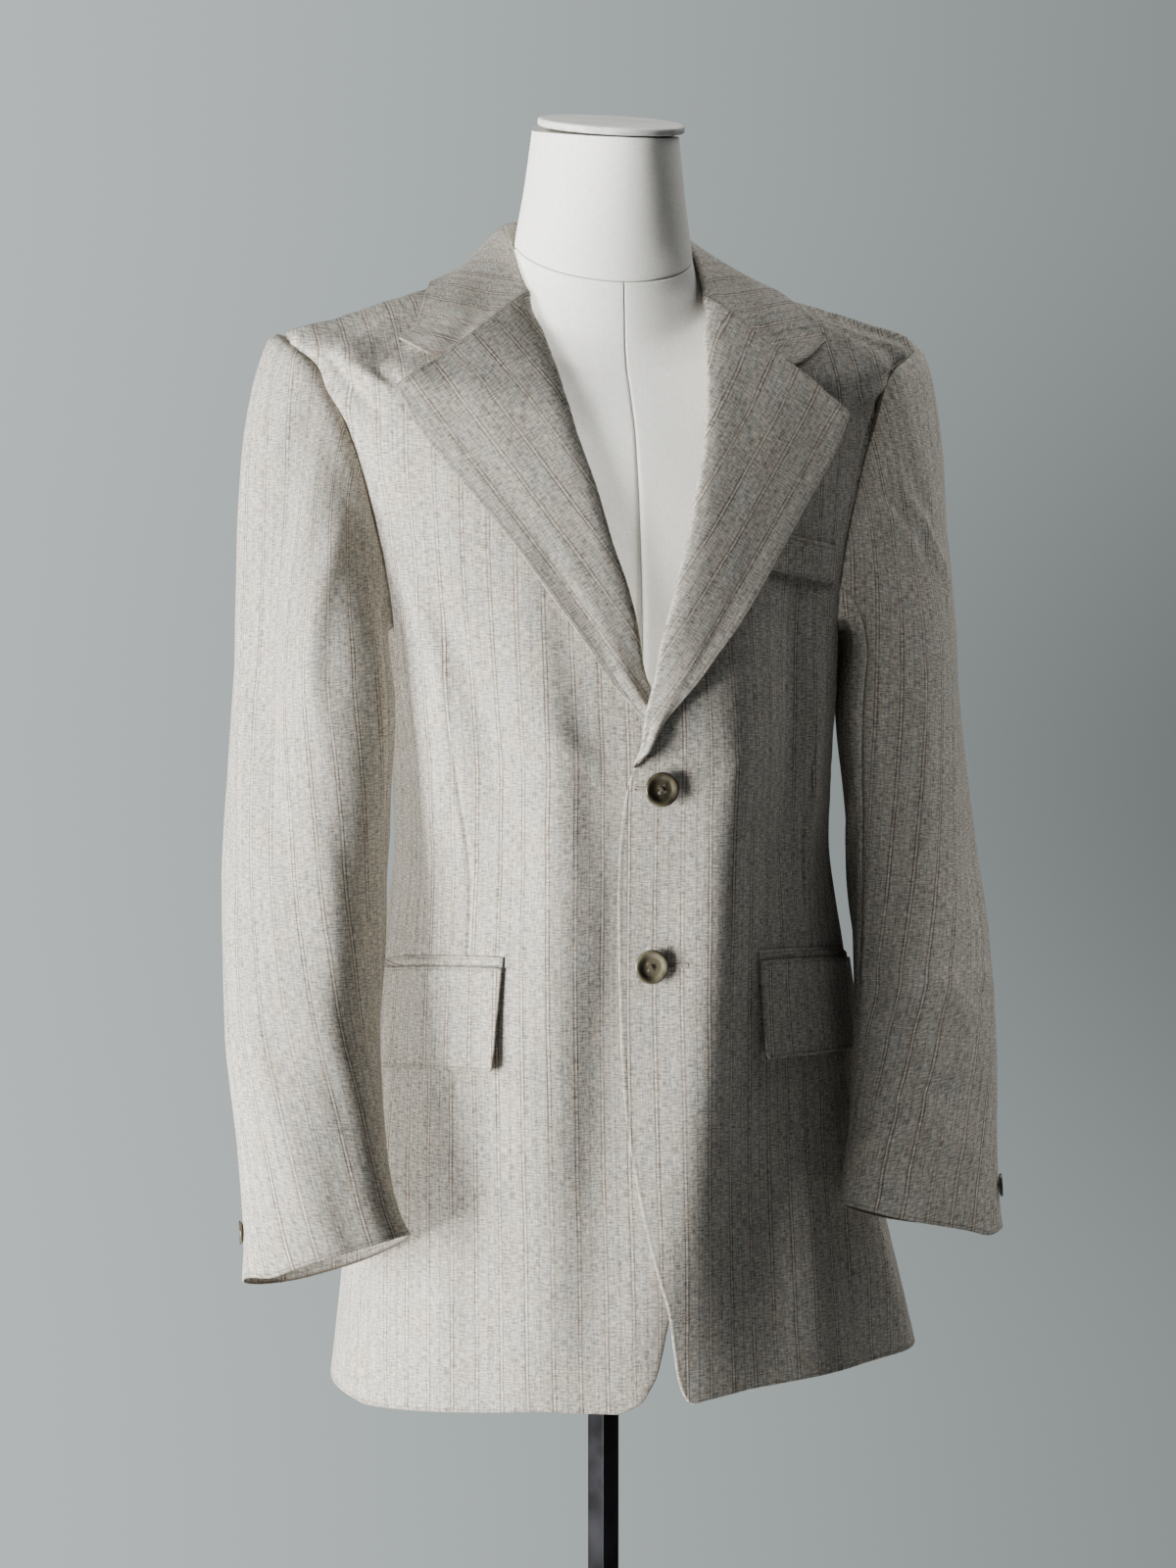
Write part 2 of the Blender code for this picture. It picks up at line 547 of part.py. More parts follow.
def sleeve_grid(side):
    """Points of a whole sleeve, a row for each ring, its armhole normals and seam columns."""
    sign = 1 if side == "left" else -1
    angle, level = armhole_loop(side)
    count = len(angle)
    steps = len(ARMHOLE_LEVELS) - 1
    front_seam = (steps - HIND_SEAM_ROW) + steps - FRONT_SEAM_ROW
    split = 1.0 - UNDER_SPAN / 360.0
    share = np.interp(np.arange(count), (0, front_seam, count), (0.0, split, 1.0))
    start = body(angle, level)
    normal = body_normal(angle, level)
    edge = unit(np.roll(start, -1, 0) - np.roll(start, 1, 0))
    centre = start.mean(0)
    into_hole = unit(np.cross(edge, normal))
    into_hole *= np.sign(np.sum(into_hole * (centre - start), -1, keepdims=True))
    outward = np.array([sign, 0.0, 0.0])
    spread = unit((start - centre) * (0, 1, 1))
    low = np.clip(-spread[:, 2], 0.0, 1.0)[:, None]
    high = np.clip(spread[:, 2], 0.0, 1.0)[:, None]
    heading = unit(outward * (1.0 - 0.35 * low) + spread * (0.42 - 0.10 * high) + (0, 0, 1.0) * low * 1.1)
    table = np.array(SLEEVES[side])
    knots = table[0][2] - table[:, 2]
    depths = np.linspace(0.0, knots[-1], SLEEVE_ROWS)
    rings = [sleeve_ring([smooth(knots, table[:, k], d) for k in range(table.shape[1])], share, sign)
             for d in depths]
    first = rings[0]
    down = unit(rings[1] - rings[0])
    reach = np.linalg.norm(first - start, axis=-1, keepdims=True)
    launch = heading * (0.46 * reach * (1 - low) + 0.030 * low)
    land = down * (0.90 * reach * (1 - low) + 0.060 * low)
    start = start + into_hole * SEAM
    cap = []
    for s in CAP_STEPS:
        cap.append(start * (1 + 2 * s) * (1 - s) ** 2 + launch * s * (1 - s) ** 2
                   + first * s * s * (3 - 2 * s) + land * s * s * (s - 1))
    return np.array(cap + rings), normal, front_seam


def sleeve(side):
    """A two-piece sleeve: the top sleeve over the arm and the under sleeve beneath it."""
    sign = 1 if side == "left" else -1
    grid, first_normal, seam = sleeve_grid(side)
    closed = np.concatenate([grid[:, -1:], grid, grid[:, :2]], 1)
    normal = grid_normals(closed)[:, 1:-2] * sign
    out_of_arm = np.sum(normal[-1] * (grid[-1] - grid[-1].mean(0)), -1).mean()
    normal *= np.sign(out_of_arm)
    normal[0] = first_normal
    wrapped, wrapped_normal = (np.concatenate([a, a[:, :1]], 1) for a in (grid, normal))
    for name, first, last in (("top", 0, seam), ("under", seam, grid.shape[1])):
        outer = wrapped[:, first:last + 1].copy()
        inner = outer - wrapped_normal[:, first:last + 1] * CLOTH
        for skin in (outer, inner):
            pull_edge(skin, 0, 1, SEAM / 2)
            pull_edge(skin, -1, -2, SEAM / 2)
        wall(f"sleeve_{name}_{side}", outer, inner, "blazer_cloth")


# ---------------------------------------------------------------- lapels and collar
def along_table(table, share):
    """Points at even shares along an outline given as height and distance rows."""
    points = np.array(table)
    reach = np.concatenate([[0.0], np.cumsum(np.linalg.norm(np.diff(points, axis=0), axis=1))])
    return np.stack([smooth(reach / reach[-1], points[:, k], share) for k in (0, 1)], -1)


def rolled_over(foot, over, out, press=1.0):
    """Middle of the cloth where it turns over the roll line, from the front's rim up."""
    return [foot + over * beyond * press + out * above * (press if above > 0 else 1.0)
            for beyond, above in LAPEL_FOLD]


def square_to_seam(normals, over, out):
    """Normals without their part along the seam's own direction across the cloth's edge."""
    through = unit(np.cross(over, out))
    return unit(normals - through * np.sum(normals * through, -1, keepdims=True))


def lapel(side):
    """A notched lapel folded back along the roll line, lying on its front."""
    rows = body_rows()
    foot_level = levels_of(LAPEL_FOOT[side] - LEVELS[0][6])
    above = rows > foot_level - 0.01
    roll_level, roll_angle = rows[above][::-1], inner_edge(side)[above][::-1]
    roll = body(roll_angle, roll_level)[:, (2, 0)]
    share = (roll[0, 0] - roll[:, 0]) / (roll[0, 0] - roll[-1, 0])
    edge = along_table(LAPEL_EDGE[side], share)
    notch = np.array(LAPEL_NOTCH[side])
    columns = np.array(LAPEL_COLUMNS)
    plan = roll[:, None] + (edge - roll)[:, None] * columns[:, None]
    straight = roll[0] + (edge[0] - roll[0]) * columns[4]
    tent = np.interp(columns, (0.0, columns[4], 1.0), (0.0, 1.0, 0.0))
    fade = 1.0 - step_up(0.0, 0.45, share)
    plan += (notch - straight) * tent[:, None] * fade[:, None, None]
    angle, level = place(plan[..., 1], plan[..., 0])
    angle[:, 0], level[:, 0] = roll_angle, roll_level
    base = closure_lift(angle, level) if side == "left" else np.zeros(angle.shape)
    press = 1.0 - 0.45 * step_up(0.70, 0.92, share)[:, None]
    height = base + (LAPEL_BELLY + (LAPEL_LIE - LAPEL_BELLY) * columns ** 0.7) * press
    blade = raised(angle, level, height)
    roll_point = raised(angle[:, 0], level[:, 0], base[:, 0])
    out = body_normal(angle[:, 0], level[:, 0])
    over = unit(blade[:, 1] - blade[:, 0])
    over = unit(over - out * np.sum(over * out, -1, keepdims=True))
    fold = np.stack(rolled_over(roll_point, over, out, press), 1)
    blade[:, 0] += over * 0.0012
    middle = np.concatenate([fold, blade], 1)
    normal = grid_normals(middle)
    normal *= np.sign(np.sum(normal[:, -2] * out, -1).mean())
    normal[:, 0] = -out
    normal[0] = square_to_seam(normal[0], over[0], out[0])
    pull_edge(middle.transpose(1, 0, 2), 0, 1, SEAM)
    wall(f"lapel_{side}", middle + normal * LAPEL_CLOTH / 2, middle - normal * LAPEL_CLOTH / 2,
         "blazer_cloth")


def collar_end(side):
    """The collar's front end along the gorge seam and the notch, and its seam's normals."""
    gorge, notch, tip = (np.array(row) for row in
                         (ROLL_LINE[side][-1], LAPEL_NOTCH[side], COLLAR_TIP[side]))
    gorge_at, half_at, notch_at, tip_at = (
        place(row[1], row[0]) for row in (gorge, (gorge + notch) / 2, notch, tip))
    foot = raised(*gorge_at, 0.0)
    out = body_normal(*gorge_at)
    lying = [raised(*half_at, COLLAR_LIE + 0.0010), raised(*notch_at, COLLAR_LIE),
             raised(*tip_at, COLLAR_LIE)]
    over = unit(lying[1] - foot)
    over = unit(over - out * np.sum(over * out))
    fold = rolled_over(foot, over, out)
    return [*fold, fold[-1] + (lying[0] - fold[-1]) * 0.35, *lying], over, out


def collar_section(angle, crest, edge_angle, edge_level):
    """Points across the collar from the neckline over the crest to the fall's edge."""
    rise = unit(body(angle, NECK) - body(angle, NECK - 0.1))
    foot = raised(angle, NECK, -CLOTH / 2) + rise * (SEAM + 0.0001)
    crest = np.array(crest)
    radial = unit(body(angle, NECK) * (1, 1, 0))
    inside = foot + (crest - foot) * 0.62 - radial * 0.0012
    turn_in = crest - radial * 0.0006 - (0.0, 0.0, 0.0042)
    turn_out = crest + radial * 0.0052 - (0.0, 0.0, 0.0030)
    edge = raised(edge_angle, edge_level, COLLAR_LIE)
    low_angle = angle + (edge_angle - angle) * 0.66
    belly = raised(low_angle, NECK + (edge_level - NECK) * 0.60, COLLAR_LIE + 0.0012)
    high = turn_out + (belly - turn_out) * 0.5 - (0.0, 0.0, 0.0006)
    return [foot, inside, turn_in, crest, turn_out, high, belly, edge]


def collar():
    """Stand and fall in one band: up from the neckline, over the crest, down on the back."""
    table = np.array(COLLAR)
    halves, ends, feet = [], [], []
    for side, sign in (("right", -1), ("left", 1)):
        end, over, out = collar_end(side)
        half, foot = [end], [-out]
        for at in COLLAR_STATIONS if sign < 0 else COLLAR_STATIONS[:-1]:
            x, y, z, edge_angle, edge_level = (
                float(smooth(table[:, 0], table[:, k], at)) for k in range(1, 6))
            half.append(collar_section(sign * at, (sign * x, y, z), sign * edge_angle, edge_level))
            foot.append(-body_normal(sign * at, NECK))
        halves.append(half)
        feet.append(foot)
        ends.append((over, out))
    middle = np.array(halves[0] + halves[1][::-1])
    normal = grid_normals(middle)
    normal *= np.sign(normal[len(middle) // 2, -2, 2])
    normal[:, 0] = np.array(feet[0] + feet[1][::-1])
    normal[0] = square_to_seam(normal[0], *ends[0])
    normal[-1] = square_to_seam(normal[-1], *ends[1])
    pull_edge(middle.transpose(1, 0, 2), 0, 1, SEAM)
    pull_edge(middle.transpose(1, 0, 2), -1, -2, SEAM)
    wall("collar", middle + normal * LAPEL_CLOTH / 2, middle - normal * LAPEL_CLOTH / 2,
         "blazer_cloth")


# ---------------------------------------------------------------- pockets and buttons
def strip_on_front(name, angle, level, low, thick, material):
    """A flat piece that lies on a front, made from the front's own points."""
    wall(name, raised(angle, level, low + thick), raised(angle, level, low), material)


def flap(side):
    """A pocket flap hanging from its jet, its front lower corner standing off."""
    start, end, top, bottom, drop = POCKETS[side]
    across = np.array((0.0, 0.02, 0.06, 0.20, 0.35, 0.50, 0.65, 0.80, 0.94, 0.98, 1.0))
    down = np.array((0.0, 0.33, 0.66, 1.0))
    angle = start + (end - start) * across[None, :]
    corner = 0.0045 * np.interp(across, (0.0, 0.02, 0.06, 0.94, 0.98, 1.0), (1, 0.3, 0, 0, 0.3, 1))
    height = top + (bottom - top) * down[:, None] + corner * down[:, None] - drop * across ** 2
    table = np.array(LEVELS)
    level = np.interp(height, table[:4, 5], np.arange(4.0))
    angle = np.broadcast_to(angle, height.shape)
    base = closure_lift(angle, level) if side == "left" else 0.0
    proud = 0.0016 * down[:, None] ** 2 * (0.4 + 0.6 * (1 - across) ** 3) * np.ones_like(angle)
    outer = raised(angle, level, base + FLAP_LIE + proud + FLAP_CLOTH / 2)
    inner = raised(angle, level, base + FLAP_LIE + proud - FLAP_CLOTH / 2)
    wall(f"pocket_flap_{side}", outer, inner, "blazer_cloth")
    jet_height = top + np.array((0.0012, 0.0012 + JET_HEIGHT))[:, None] - drop * across ** 2
    jet_level = np.interp(jet_height, table[:4, 5], np.arange(4.0))
    jet_angle = np.broadcast_to(start + (end - start) * across, jet_level.shape)
    jet_base = closure_lift(jet_angle, jet_level) if side == "left" else np.zeros(jet_angle.shape)
    strip_on_front(f"pocket_jet_{side}", jet_angle, jet_level, jet_base + 0.0008, JET_CLOTH, "blazer_cloth")


def breast_welt():
    """The slanted welt of the chest pocket on the wearer's left."""
    top_in, top_out, low_out, low_in = (np.array(corner) for corner in WELT_CORNERS)
    across = np.linspace(0.0, 1.0, 7)[None, :, None]
    down = np.linspace(0.0, 1.0, 4)[:, None, None]
    plan = (top_in * (1 - across) + top_out * across) * (1 - down)
    plan = plan + (low_in * (1 - across) + low_out * across) * down
    angle, level = place(plan[..., 1], plan[..., 0])
    strip_on_front("breast_welt", angle, level, closure_lift(angle, level) + 0.0008, 0.0014, "blazer_cloth")


def button_profile(width, thick):
    """Half outline of a button: raised rim, dished middle, rounded back."""
    r = width / 2
    return ((0.0, thick * 0.62), (r * 0.58, thick * 0.60), (r * 0.70, thick * 0.86), (r * 0.84, thick),
            (r * 0.96, thick * 0.86), (r, thick * 0.60), (r * 0.92, thick * 0.22), (r * 0.60, 0.0),
            (0.0, 0.0))


def button(name, width, thick, centre, direction, sides):
    """A four-hole button turned from a profile, lying across the given direction."""
    mesh = bpy.data.meshes.new(name)
    profile = button_profile(width, thick)
    mesh.from_pydata([(x, 0.0, z) for x, z in profile], [(i, i + 1) for i in range(len(profile) - 1)], [])
    turned = bpy.data.objects.new(name, mesh)
    PARTS.objects.link(turned)
    screw = turned.modifiers.new("turn", "SCREW")
    screw.steps = sides
    screw.render_steps = sides
    screw.use_merge_vertices = True
    screw.merge_threshold = 0.00001
    cutter_mesh = bmesh.new()
    for k in range(4):
        spin = math.radians(45 + 90 * k)
        hole = bmesh.ops.create_cone(cutter_mesh, cap_ends=True, segments=6, radius1=width * 0.05,
                                     radius2=width * 0.05, depth=thick * 3)
        bmesh.ops.translate(cutter_mesh, verts=hole["verts"],
                            vec=(width * 0.115 * math.cos(spin), width * 0.115 * math.sin(spin), 0.0))
    cutter_data = bpy.data.meshes.new(f"{name}_holes")
    cutter_mesh.to_mesh(cutter_data)
    cutter_mesh.free()
    cutter = bpy.data.objects.new(f"{name}_holes", cutter_data)
    cutter.hide_render = True
    cutter.display_type = "WIRE"
    CUTTERS.objects.link(cutter)
    cut = turned.modifiers.new("holes", "BOOLEAN")
    cut.operation = "DIFFERENCE"
    cut.object = cutter
    for piece in (turned, cutter):
        piece.rotation_mode = "QUATERNION"
        piece.rotation_quaternion = direction.to_track_quat("Z", "Y")
        piece.location = centre
    mesh.materials.append(finish("horn_button"))
    return turned


def front_buttons():
    """The two buttons that close the front, standing on their shanks."""
    for name, (x, z) in BUTTON_CENTRES.items():
        angle, level = place(x, z)
        height = closure_lift(angle, level) + 0.0022
        centre = Vector(raised(angle, level, height))
        button(name, BUTTON_WIDTH, 0.0042, centre, Vector(body_normal(angle, level)), 22)


def cuff_buttons():
    """One small button at each cuff, on the top sleeve beside the hind seam."""
    for side, share in (("right", 0.035), ("left", 0.09)):
        grid, _, _ = sleeve_grid(side)
        count = grid.shape[1]
        column = share * count
        low = int(math.floor(column))
        part = column - low
        track = grid[:, low] * (1 - part) + grid[:, (low + 1) % count] * part
        across = grid[:, (low + 1) % count] - grid[:, low]
        reach = np.concatenate([[0.0], np.cumsum(np.linalg.norm(np.diff(track, axis=0), axis=1))])
        at = reach[-1] - 0.030
        point = np.array([np.interp(at, reach, track[:, k]) for k in range(3)])
        up = unit(track[-3] - track[-1])
        out = np.cross(unit(across[-2]), up)
        out *= np.sign(np.sum(out * (point - grid[-2].mean(0))))
        centre = Vector(point + out * 0.0014)
        button(f"cuff_button_{side}", CUFF_BUTTON_WIDTH, 0.0034, centre, Vector(unit(out)), 14)


# ---------------------------------------------------------------- form and stand
def dress_form():
    """The padded body and neck of the form, one loft from its bottom to the neck's top."""
    angle = np.arange(FORM_SIDES) * 360.0 / FORM_SIDES - 180.0
    across, ahead = np.sin(np.radians(angle)), np.cos(np.radians(angle))
    rings = []
    for level, inset_front, inset_side, inset_back in FORM_BODY:
        inset = inset_side + (np.where(ahead > 0, inset_front, inset_back) - inset_side) * ahead ** 2
        ring = body(angle, level, folds=0.0)
        flat = unit(body_normal(angle, level) * ((1, 1, 0) if level < TIP - 1 else (1, 1, 1)))
        rings.append(ring - flat * inset[:, None])
    for half_width, front_depth, back_depth, z_front, z_side, z_back in FORM_NECK:
        deep = np.where(ahead > 0, front_depth, back_depth)
        height = z_side + (np.where(ahead > 0, z_front, z_back) - z_side) * np.abs(ahead)
        rings.append(np.stack([half_width * across, -deep * ahead, height], -1))
    made = bmesh.new()
    loops = [[made.verts.new(point) for point in ring] for ring in rings]
    for low, high in zip(loops, loops[1:]):
        for i in range(FORM_SIDES):
            k = (i + 1) % FORM_SIDES
            made.faces.new((low[i], low[k], high[k], high[i]))
    made.faces.new(loops[0])
    made.faces.new(loops[-1])
    bmesh.ops.recalc_face_normals(made, faces=made.faces)
    mesh = bpy.data.meshes.new("form_torso")
    made.to_mesh(mesh)
    made.free()
    mesh.shade_smooth()
    keep("form_torso", mesh, "linen_cover")
    return float(rings[0][:, 2].min())


def neck_cap():
    """The disc that closes the form's neck."""
    half, thick = NECK_CAP["half_width"], NECK_CAP["thick"]
    bpy.ops.mesh.primitive_cylinder_add(vertices=32, radius=half, depth=thick)
    disc = bpy.context.object
    disc.name = "neck_cap"
    disc.location = (0.0, NECK_CAP["y"], NECK_CAP["z"])
    disc.rotation_euler = (math.radians(NECK_CAP["tilt"]), 0.0, 0.0)
    bevel = disc.modifiers.new("edge", "BEVEL")
    bevel.width = 0.0012
    bevel.segments = 1
    bevel.limit_method = "ANGLE"
    adopt(disc, "pale_wood")


def adopt(piece, material):
    """Give a primitive its finish and move it to the part's collection."""
    piece.data.materials.append(finish(material))
    for owner in list(piece.users_collection):
        owner.objects.unlink(piece)
    PARTS.objects.link(piece)


def stand(form_bottom):
    """The square pole, corner to the front, and the round plate that it stands on."""
    top = form_bottom - SEAM
    bottom = BASE_THICK + SEAM
    bpy.ops.mesh.primitive_cube_add(size=1.0)
    pole = bpy.context.object
    pole.name = "stand_pole"
    pole.scale = (POLE_SIDE, POLE_SIDE, top - bottom)
    bpy.ops.object.transform_apply(scale=True)
    pole.location = (0.0, 0.0, (top + bottom) / 2)
    pole.rotation_euler = (0.0, 0.0, math.radians(45.0 - 15.0))
    bevel = pole.modifiers.new("edge", "BEVEL")
    bevel.width = 0.0008
    bevel.segments = 2
    adopt(pole, "black_steel")
    bpy.ops.mesh.primitive_cylinder_add(vertices=48, radius=BASE_WIDTH / 2, depth=BASE_THICK)
    plate = bpy.context.object
    plate.name = "stand_base"
    plate.location = (0.0, 0.0, BASE_THICK / 2)
    bevel = plate.modifiers.new("edge", "BEVEL")
    bevel.width = 0.0015
    bevel.segments = 1
    bevel.limit_method = "ANGLE"
    adopt(plate, "black_steel")


def main():
    """Build the garment from the body outwards, then the form inside it and its stand."""
    for side in ("right", "left"):
        front(side)
        side_body(side)
        back(side)
        sleeve(side)
        lapel(side)
        flap(side)
    collar()
    breast_welt()
    front_buttons()
    cuff_buttons()
    form_bottom = dress_form()
    neck_cap()
    stand(form_bottom)


clear_scene()
PARTS = bpy.data.collections.new("blazer_on_form")
CUTTERS = bpy.data.collections.new("cutters")
bpy.context.scene.collection.children.link(PARTS)
bpy.context.scene.collection.children.link(CUTTERS)
main()
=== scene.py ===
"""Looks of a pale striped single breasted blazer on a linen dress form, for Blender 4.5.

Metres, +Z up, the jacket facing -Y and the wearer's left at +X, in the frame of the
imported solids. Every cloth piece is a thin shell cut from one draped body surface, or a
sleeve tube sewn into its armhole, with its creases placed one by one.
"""

import json
import logging
import math
from dataclasses import dataclass, field
from enum import Enum

import bmesh
import bpy
import numpy as np
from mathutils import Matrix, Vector

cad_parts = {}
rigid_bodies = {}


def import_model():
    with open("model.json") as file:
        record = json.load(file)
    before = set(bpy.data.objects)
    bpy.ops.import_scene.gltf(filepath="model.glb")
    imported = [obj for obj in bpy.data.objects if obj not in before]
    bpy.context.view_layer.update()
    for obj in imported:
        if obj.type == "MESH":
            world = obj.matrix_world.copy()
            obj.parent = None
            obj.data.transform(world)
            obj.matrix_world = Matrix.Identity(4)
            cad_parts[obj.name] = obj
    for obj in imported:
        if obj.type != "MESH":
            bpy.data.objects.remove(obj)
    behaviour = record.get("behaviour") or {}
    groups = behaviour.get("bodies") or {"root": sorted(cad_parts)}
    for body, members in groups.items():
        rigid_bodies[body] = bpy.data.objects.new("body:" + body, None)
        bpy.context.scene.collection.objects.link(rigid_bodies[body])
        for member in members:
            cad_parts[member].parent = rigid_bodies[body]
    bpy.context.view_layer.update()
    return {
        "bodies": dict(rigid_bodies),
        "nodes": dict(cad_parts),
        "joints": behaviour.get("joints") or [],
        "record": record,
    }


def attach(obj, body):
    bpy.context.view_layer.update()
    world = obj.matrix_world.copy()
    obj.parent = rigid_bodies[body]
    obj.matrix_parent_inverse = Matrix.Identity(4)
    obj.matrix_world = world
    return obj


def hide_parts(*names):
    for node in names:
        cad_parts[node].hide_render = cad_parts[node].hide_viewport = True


LOG = logging.getLogger("blazer")
Array = np.ndarray
Colour = tuple[float, float, float]
Place = tuple[float, float, float]
Socket = bpy.types.NodeSocket
Piece = bpy.types.Object

# ---------------------------------------------------------------- driving sizes
CLOTH = 0.0016              # wall of a body or sleeve panel
LAPEL_CLOTH = 0.0022        # facing and front pressed together
SEAM = 0.0003               # gap between two pieces that are sewn together
CLOSURE_LIFT = 0.0042       # left front over the right one
CROSSING_LIFT = 0.0050      # and more where it crosses the right lapel's foot
METRES_PER_DEGREE = 0.0028  # round the body, for placing creases
BROAD_RIPPLE = 0.00055      # unevenness of the draped cloth, a hand wide
FINE_RIPPLE = 0.00016       # and a finger wide
LAP_END = (3.0, 24.0)       # degrees over which the left front comes down beside the lap
CROSSING = (4.9, 0.9)       # level of the right lapel's foot, and how far it is felt
GORGE_START = 11.2          # level above which the roll line turns into the gorge
GORGE_RISE = 0.8            # levels that it takes
CREASE_RISE = (-0.18, 0.22)     # shares of a crease's length over which it starts
CREASE_FALL = (0.70, 1.18)      # and ends
CREASE_REACH = (-0.35, 1.35)
GRAIN_SHIFT = (6.3, 7.8)    # levels over which the stripes go from the arcs to upright planes
GRAIN_LOW = 7.0             # level from which length is taken straight up the shoulder
GRAIN_SPREAD = 1.05         # cloth across the chest for each metre of width
RIM_REACH = 0.02            # farthest distance from a border that a shell notes
RIM_UNDER = 0.002           # taken off it on a shell's inner face, which gets painted shade under a free edge
SOFT_RIM = (0.30, 0.0006)   # how far a shell's edge stands out: share of its wall, at most

# The body surface: a ring at each level, front at angle 0 and the wearer's left at +90.
LEVELS = np.array((
    # right,  left,  front,  back,  corner, z_front, z_side, z_back
    (0.1900, 0.2170, 0.1520, 0.1400, 2.10, 0.7400, 0.7400, 0.7400),    # 0 hem
    (0.1730, 0.1890, 0.1450, 0.1350, 2.10, 0.8700, 0.8700, 0.8700),    # 1 hip
    (0.1530, 0.1680, 0.1370, 0.1260, 2.10, 1.0100, 1.0100, 1.0100),    # 2 pockets
    (0.1430, 0.1550, 0.1400, 0.1180, 2.10, 1.0900, 1.0900, 1.0900),    # 3 waist
    (0.1440, 0.1540, 0.1410, 0.1150, 2.20, 1.1350, 1.1350, 1.1350),    # 4 top button
    (0.1510, 0.1570, 0.1320, 0.1160, 2.30, 1.1950, 1.1900, 1.1950),    # 5 ribs
    (0.1600, 0.1600, 0.1240, 0.1200, 2.30, 1.2500, 1.2350, 1.2550),    # 6 underarm
    (0.1800, 0.1800, 0.1130, 0.1230, 2.10, 1.3150, 1.3350, 1.3350),    # 7 half armhole
    (0.2165, 0.2165, 0.0970, 0.1120, 1.80, 1.3720, 1.4260, 1.4100),    # 8 shoulder tip
    (0.1840, 0.1840, 0.0890, 0.1060, 1.85, 1.3870, 1.4385, 1.4320),    # 9
    (0.1500, 0.1500, 0.0800, 0.0980, 1.90, 1.4000, 1.4500, 1.4510),    # 10 half shoulder
    (0.1150, 0.1150, 0.0670, 0.0890, 1.95, 1.4120, 1.4615, 1.4690),    # 11
    (0.0790, 0.0790, 0.0530, 0.0780, 2.00, 1.4230, 1.4740, 1.4830),    # 12 neckline
))
HEM = np.array((
    # angle, height
    (-180.0, 0.7350), (-120.0, 0.7280), (-90.0, 0.7250), (-70.0, 0.7240), (-50.0, 0.7290),
    (-24.0, 0.7350), (-8.0, 0.7325), (0.0, 0.7345), (6.0, 0.7378), (15.0, 0.7410),
    (40.0, 0.7428), (90.0, 0.7420), (130.0, 0.7380), (180.0, 0.7350),
))
UNDERARM, TIP, NECK = 6.0, 8.0, 12.0
SIDE_SEAMS = np.array((
    # level, front seam right and left, back seam
    (0.0, 76.0, 74.0, 116.0), (2.0, 75.0, 71.0, 116.0), (3.0, 74.0, 69.0, 114.0),
    (5.0, 74.0, 68.0, 113.0), (6.0, 73.0, 66.0, 114.0),
))
ARMHOLE = np.array((
    # level, front edge right and left, back edge
    (6.0, 73.0, 66.0, 114.0), (6.5, 71.5, 64.0, 112.0), (7.0, 72.0, 66.0, 108.5),
    (7.4, 70.5, 64.5, 106.0), (7.7, 71.0, 62.5, 103.0), (7.88, 76.0, 66.0, 99.0),
    (8.0, 90.0, 90.0, 90.0),
))
ARMHOLE_LEVELS = (6.00, 6.25, 6.50, 6.78, 7.06, 7.34, 7.60, 7.84, 8.00)
ARMHOLE_DIP = 0.16          # levels that the side body's top edge drops in its middle


class Side(Enum):
    """The wearer's right or left, and the sign of X there."""

    RIGHT = -1
    LEFT = 1

    @property
    def word(self) -> str:
        """The side's name, as nodes spell it."""
        return self.name.lower()


class Border(Enum):
    """How the cloth ends along one border of a piece."""

    SEAM = "sewn to its neighbour, sunk a little"
    EDGE = "turned and pressed"


CLOSING_EDGE = {
    # height and distance from the middle, from the hem up
    Side.LEFT: ((0.7360, 0.0200), (0.7376, 0.0155), (0.7458, 0.0099), (0.7542, 0.0074),
                (0.7703, 0.0049), (0.7851, 0.0031), (0.7973, 0.0012), (0.8205, -0.0051),
                (0.8468, -0.0113), (0.8773, -0.0166), (0.9177, -0.0223), (0.9572, -0.0247),
                (1.0126, -0.0260), (1.0684, -0.0271), (1.0923, -0.0268), (1.1093, -0.0257),
                (1.1287, -0.0234), (1.1486, -0.0180)),
    Side.RIGHT: ((0.7320, -0.0320), (0.7358, -0.0227), (0.7392, -0.0162), (0.7459, -0.0116),
                 (0.7551, -0.0063), (0.7695, -0.0022), (0.7827, 0.0006), (0.7950, 0.0036),
                 (0.8300, 0.0110), (0.8800, 0.0165), (0.9500, 0.0195), (1.0200, 0.0200),
                 (1.0900, 0.0190), (1.1300, 0.0160), (1.1600, 0.0115)),
}
ROLL_LINE = {
    Side.LEFT: ((1.1486, -0.0180), (1.1600, -0.0120), (1.1800, -0.0079), (1.2006, -0.0012),
                (1.2266, 0.0057), (1.2476, 0.0131), (1.2707, 0.0200), (1.2931, 0.0269),
                (1.3201, 0.0337), (1.3484, 0.0411), (1.3681, 0.0450), (1.3978, 0.0512),
                (1.4286, 0.0577), (1.4509, 0.0627)),
    Side.RIGHT: ((1.1600, 0.0115), (1.1860, 0.0010), (1.2022, -0.0089), (1.2365, -0.0153),
                 (1.2626, -0.0220), (1.2875, -0.0300), (1.3224, -0.0385), (1.3637, -0.0503),
                 (1.4124, -0.0583), (1.4509, -0.0627)),
}
GORGE_ANGLE = 52.5          # where the roll line reaches the neckline
LAPEL_FOOT = {Side.LEFT: 1.1500, Side.RIGHT: 1.1800}
LAPEL_NOTCH = {Side.LEFT: (1.4070, 0.1103), Side.RIGHT: (1.4092, -0.1256)}
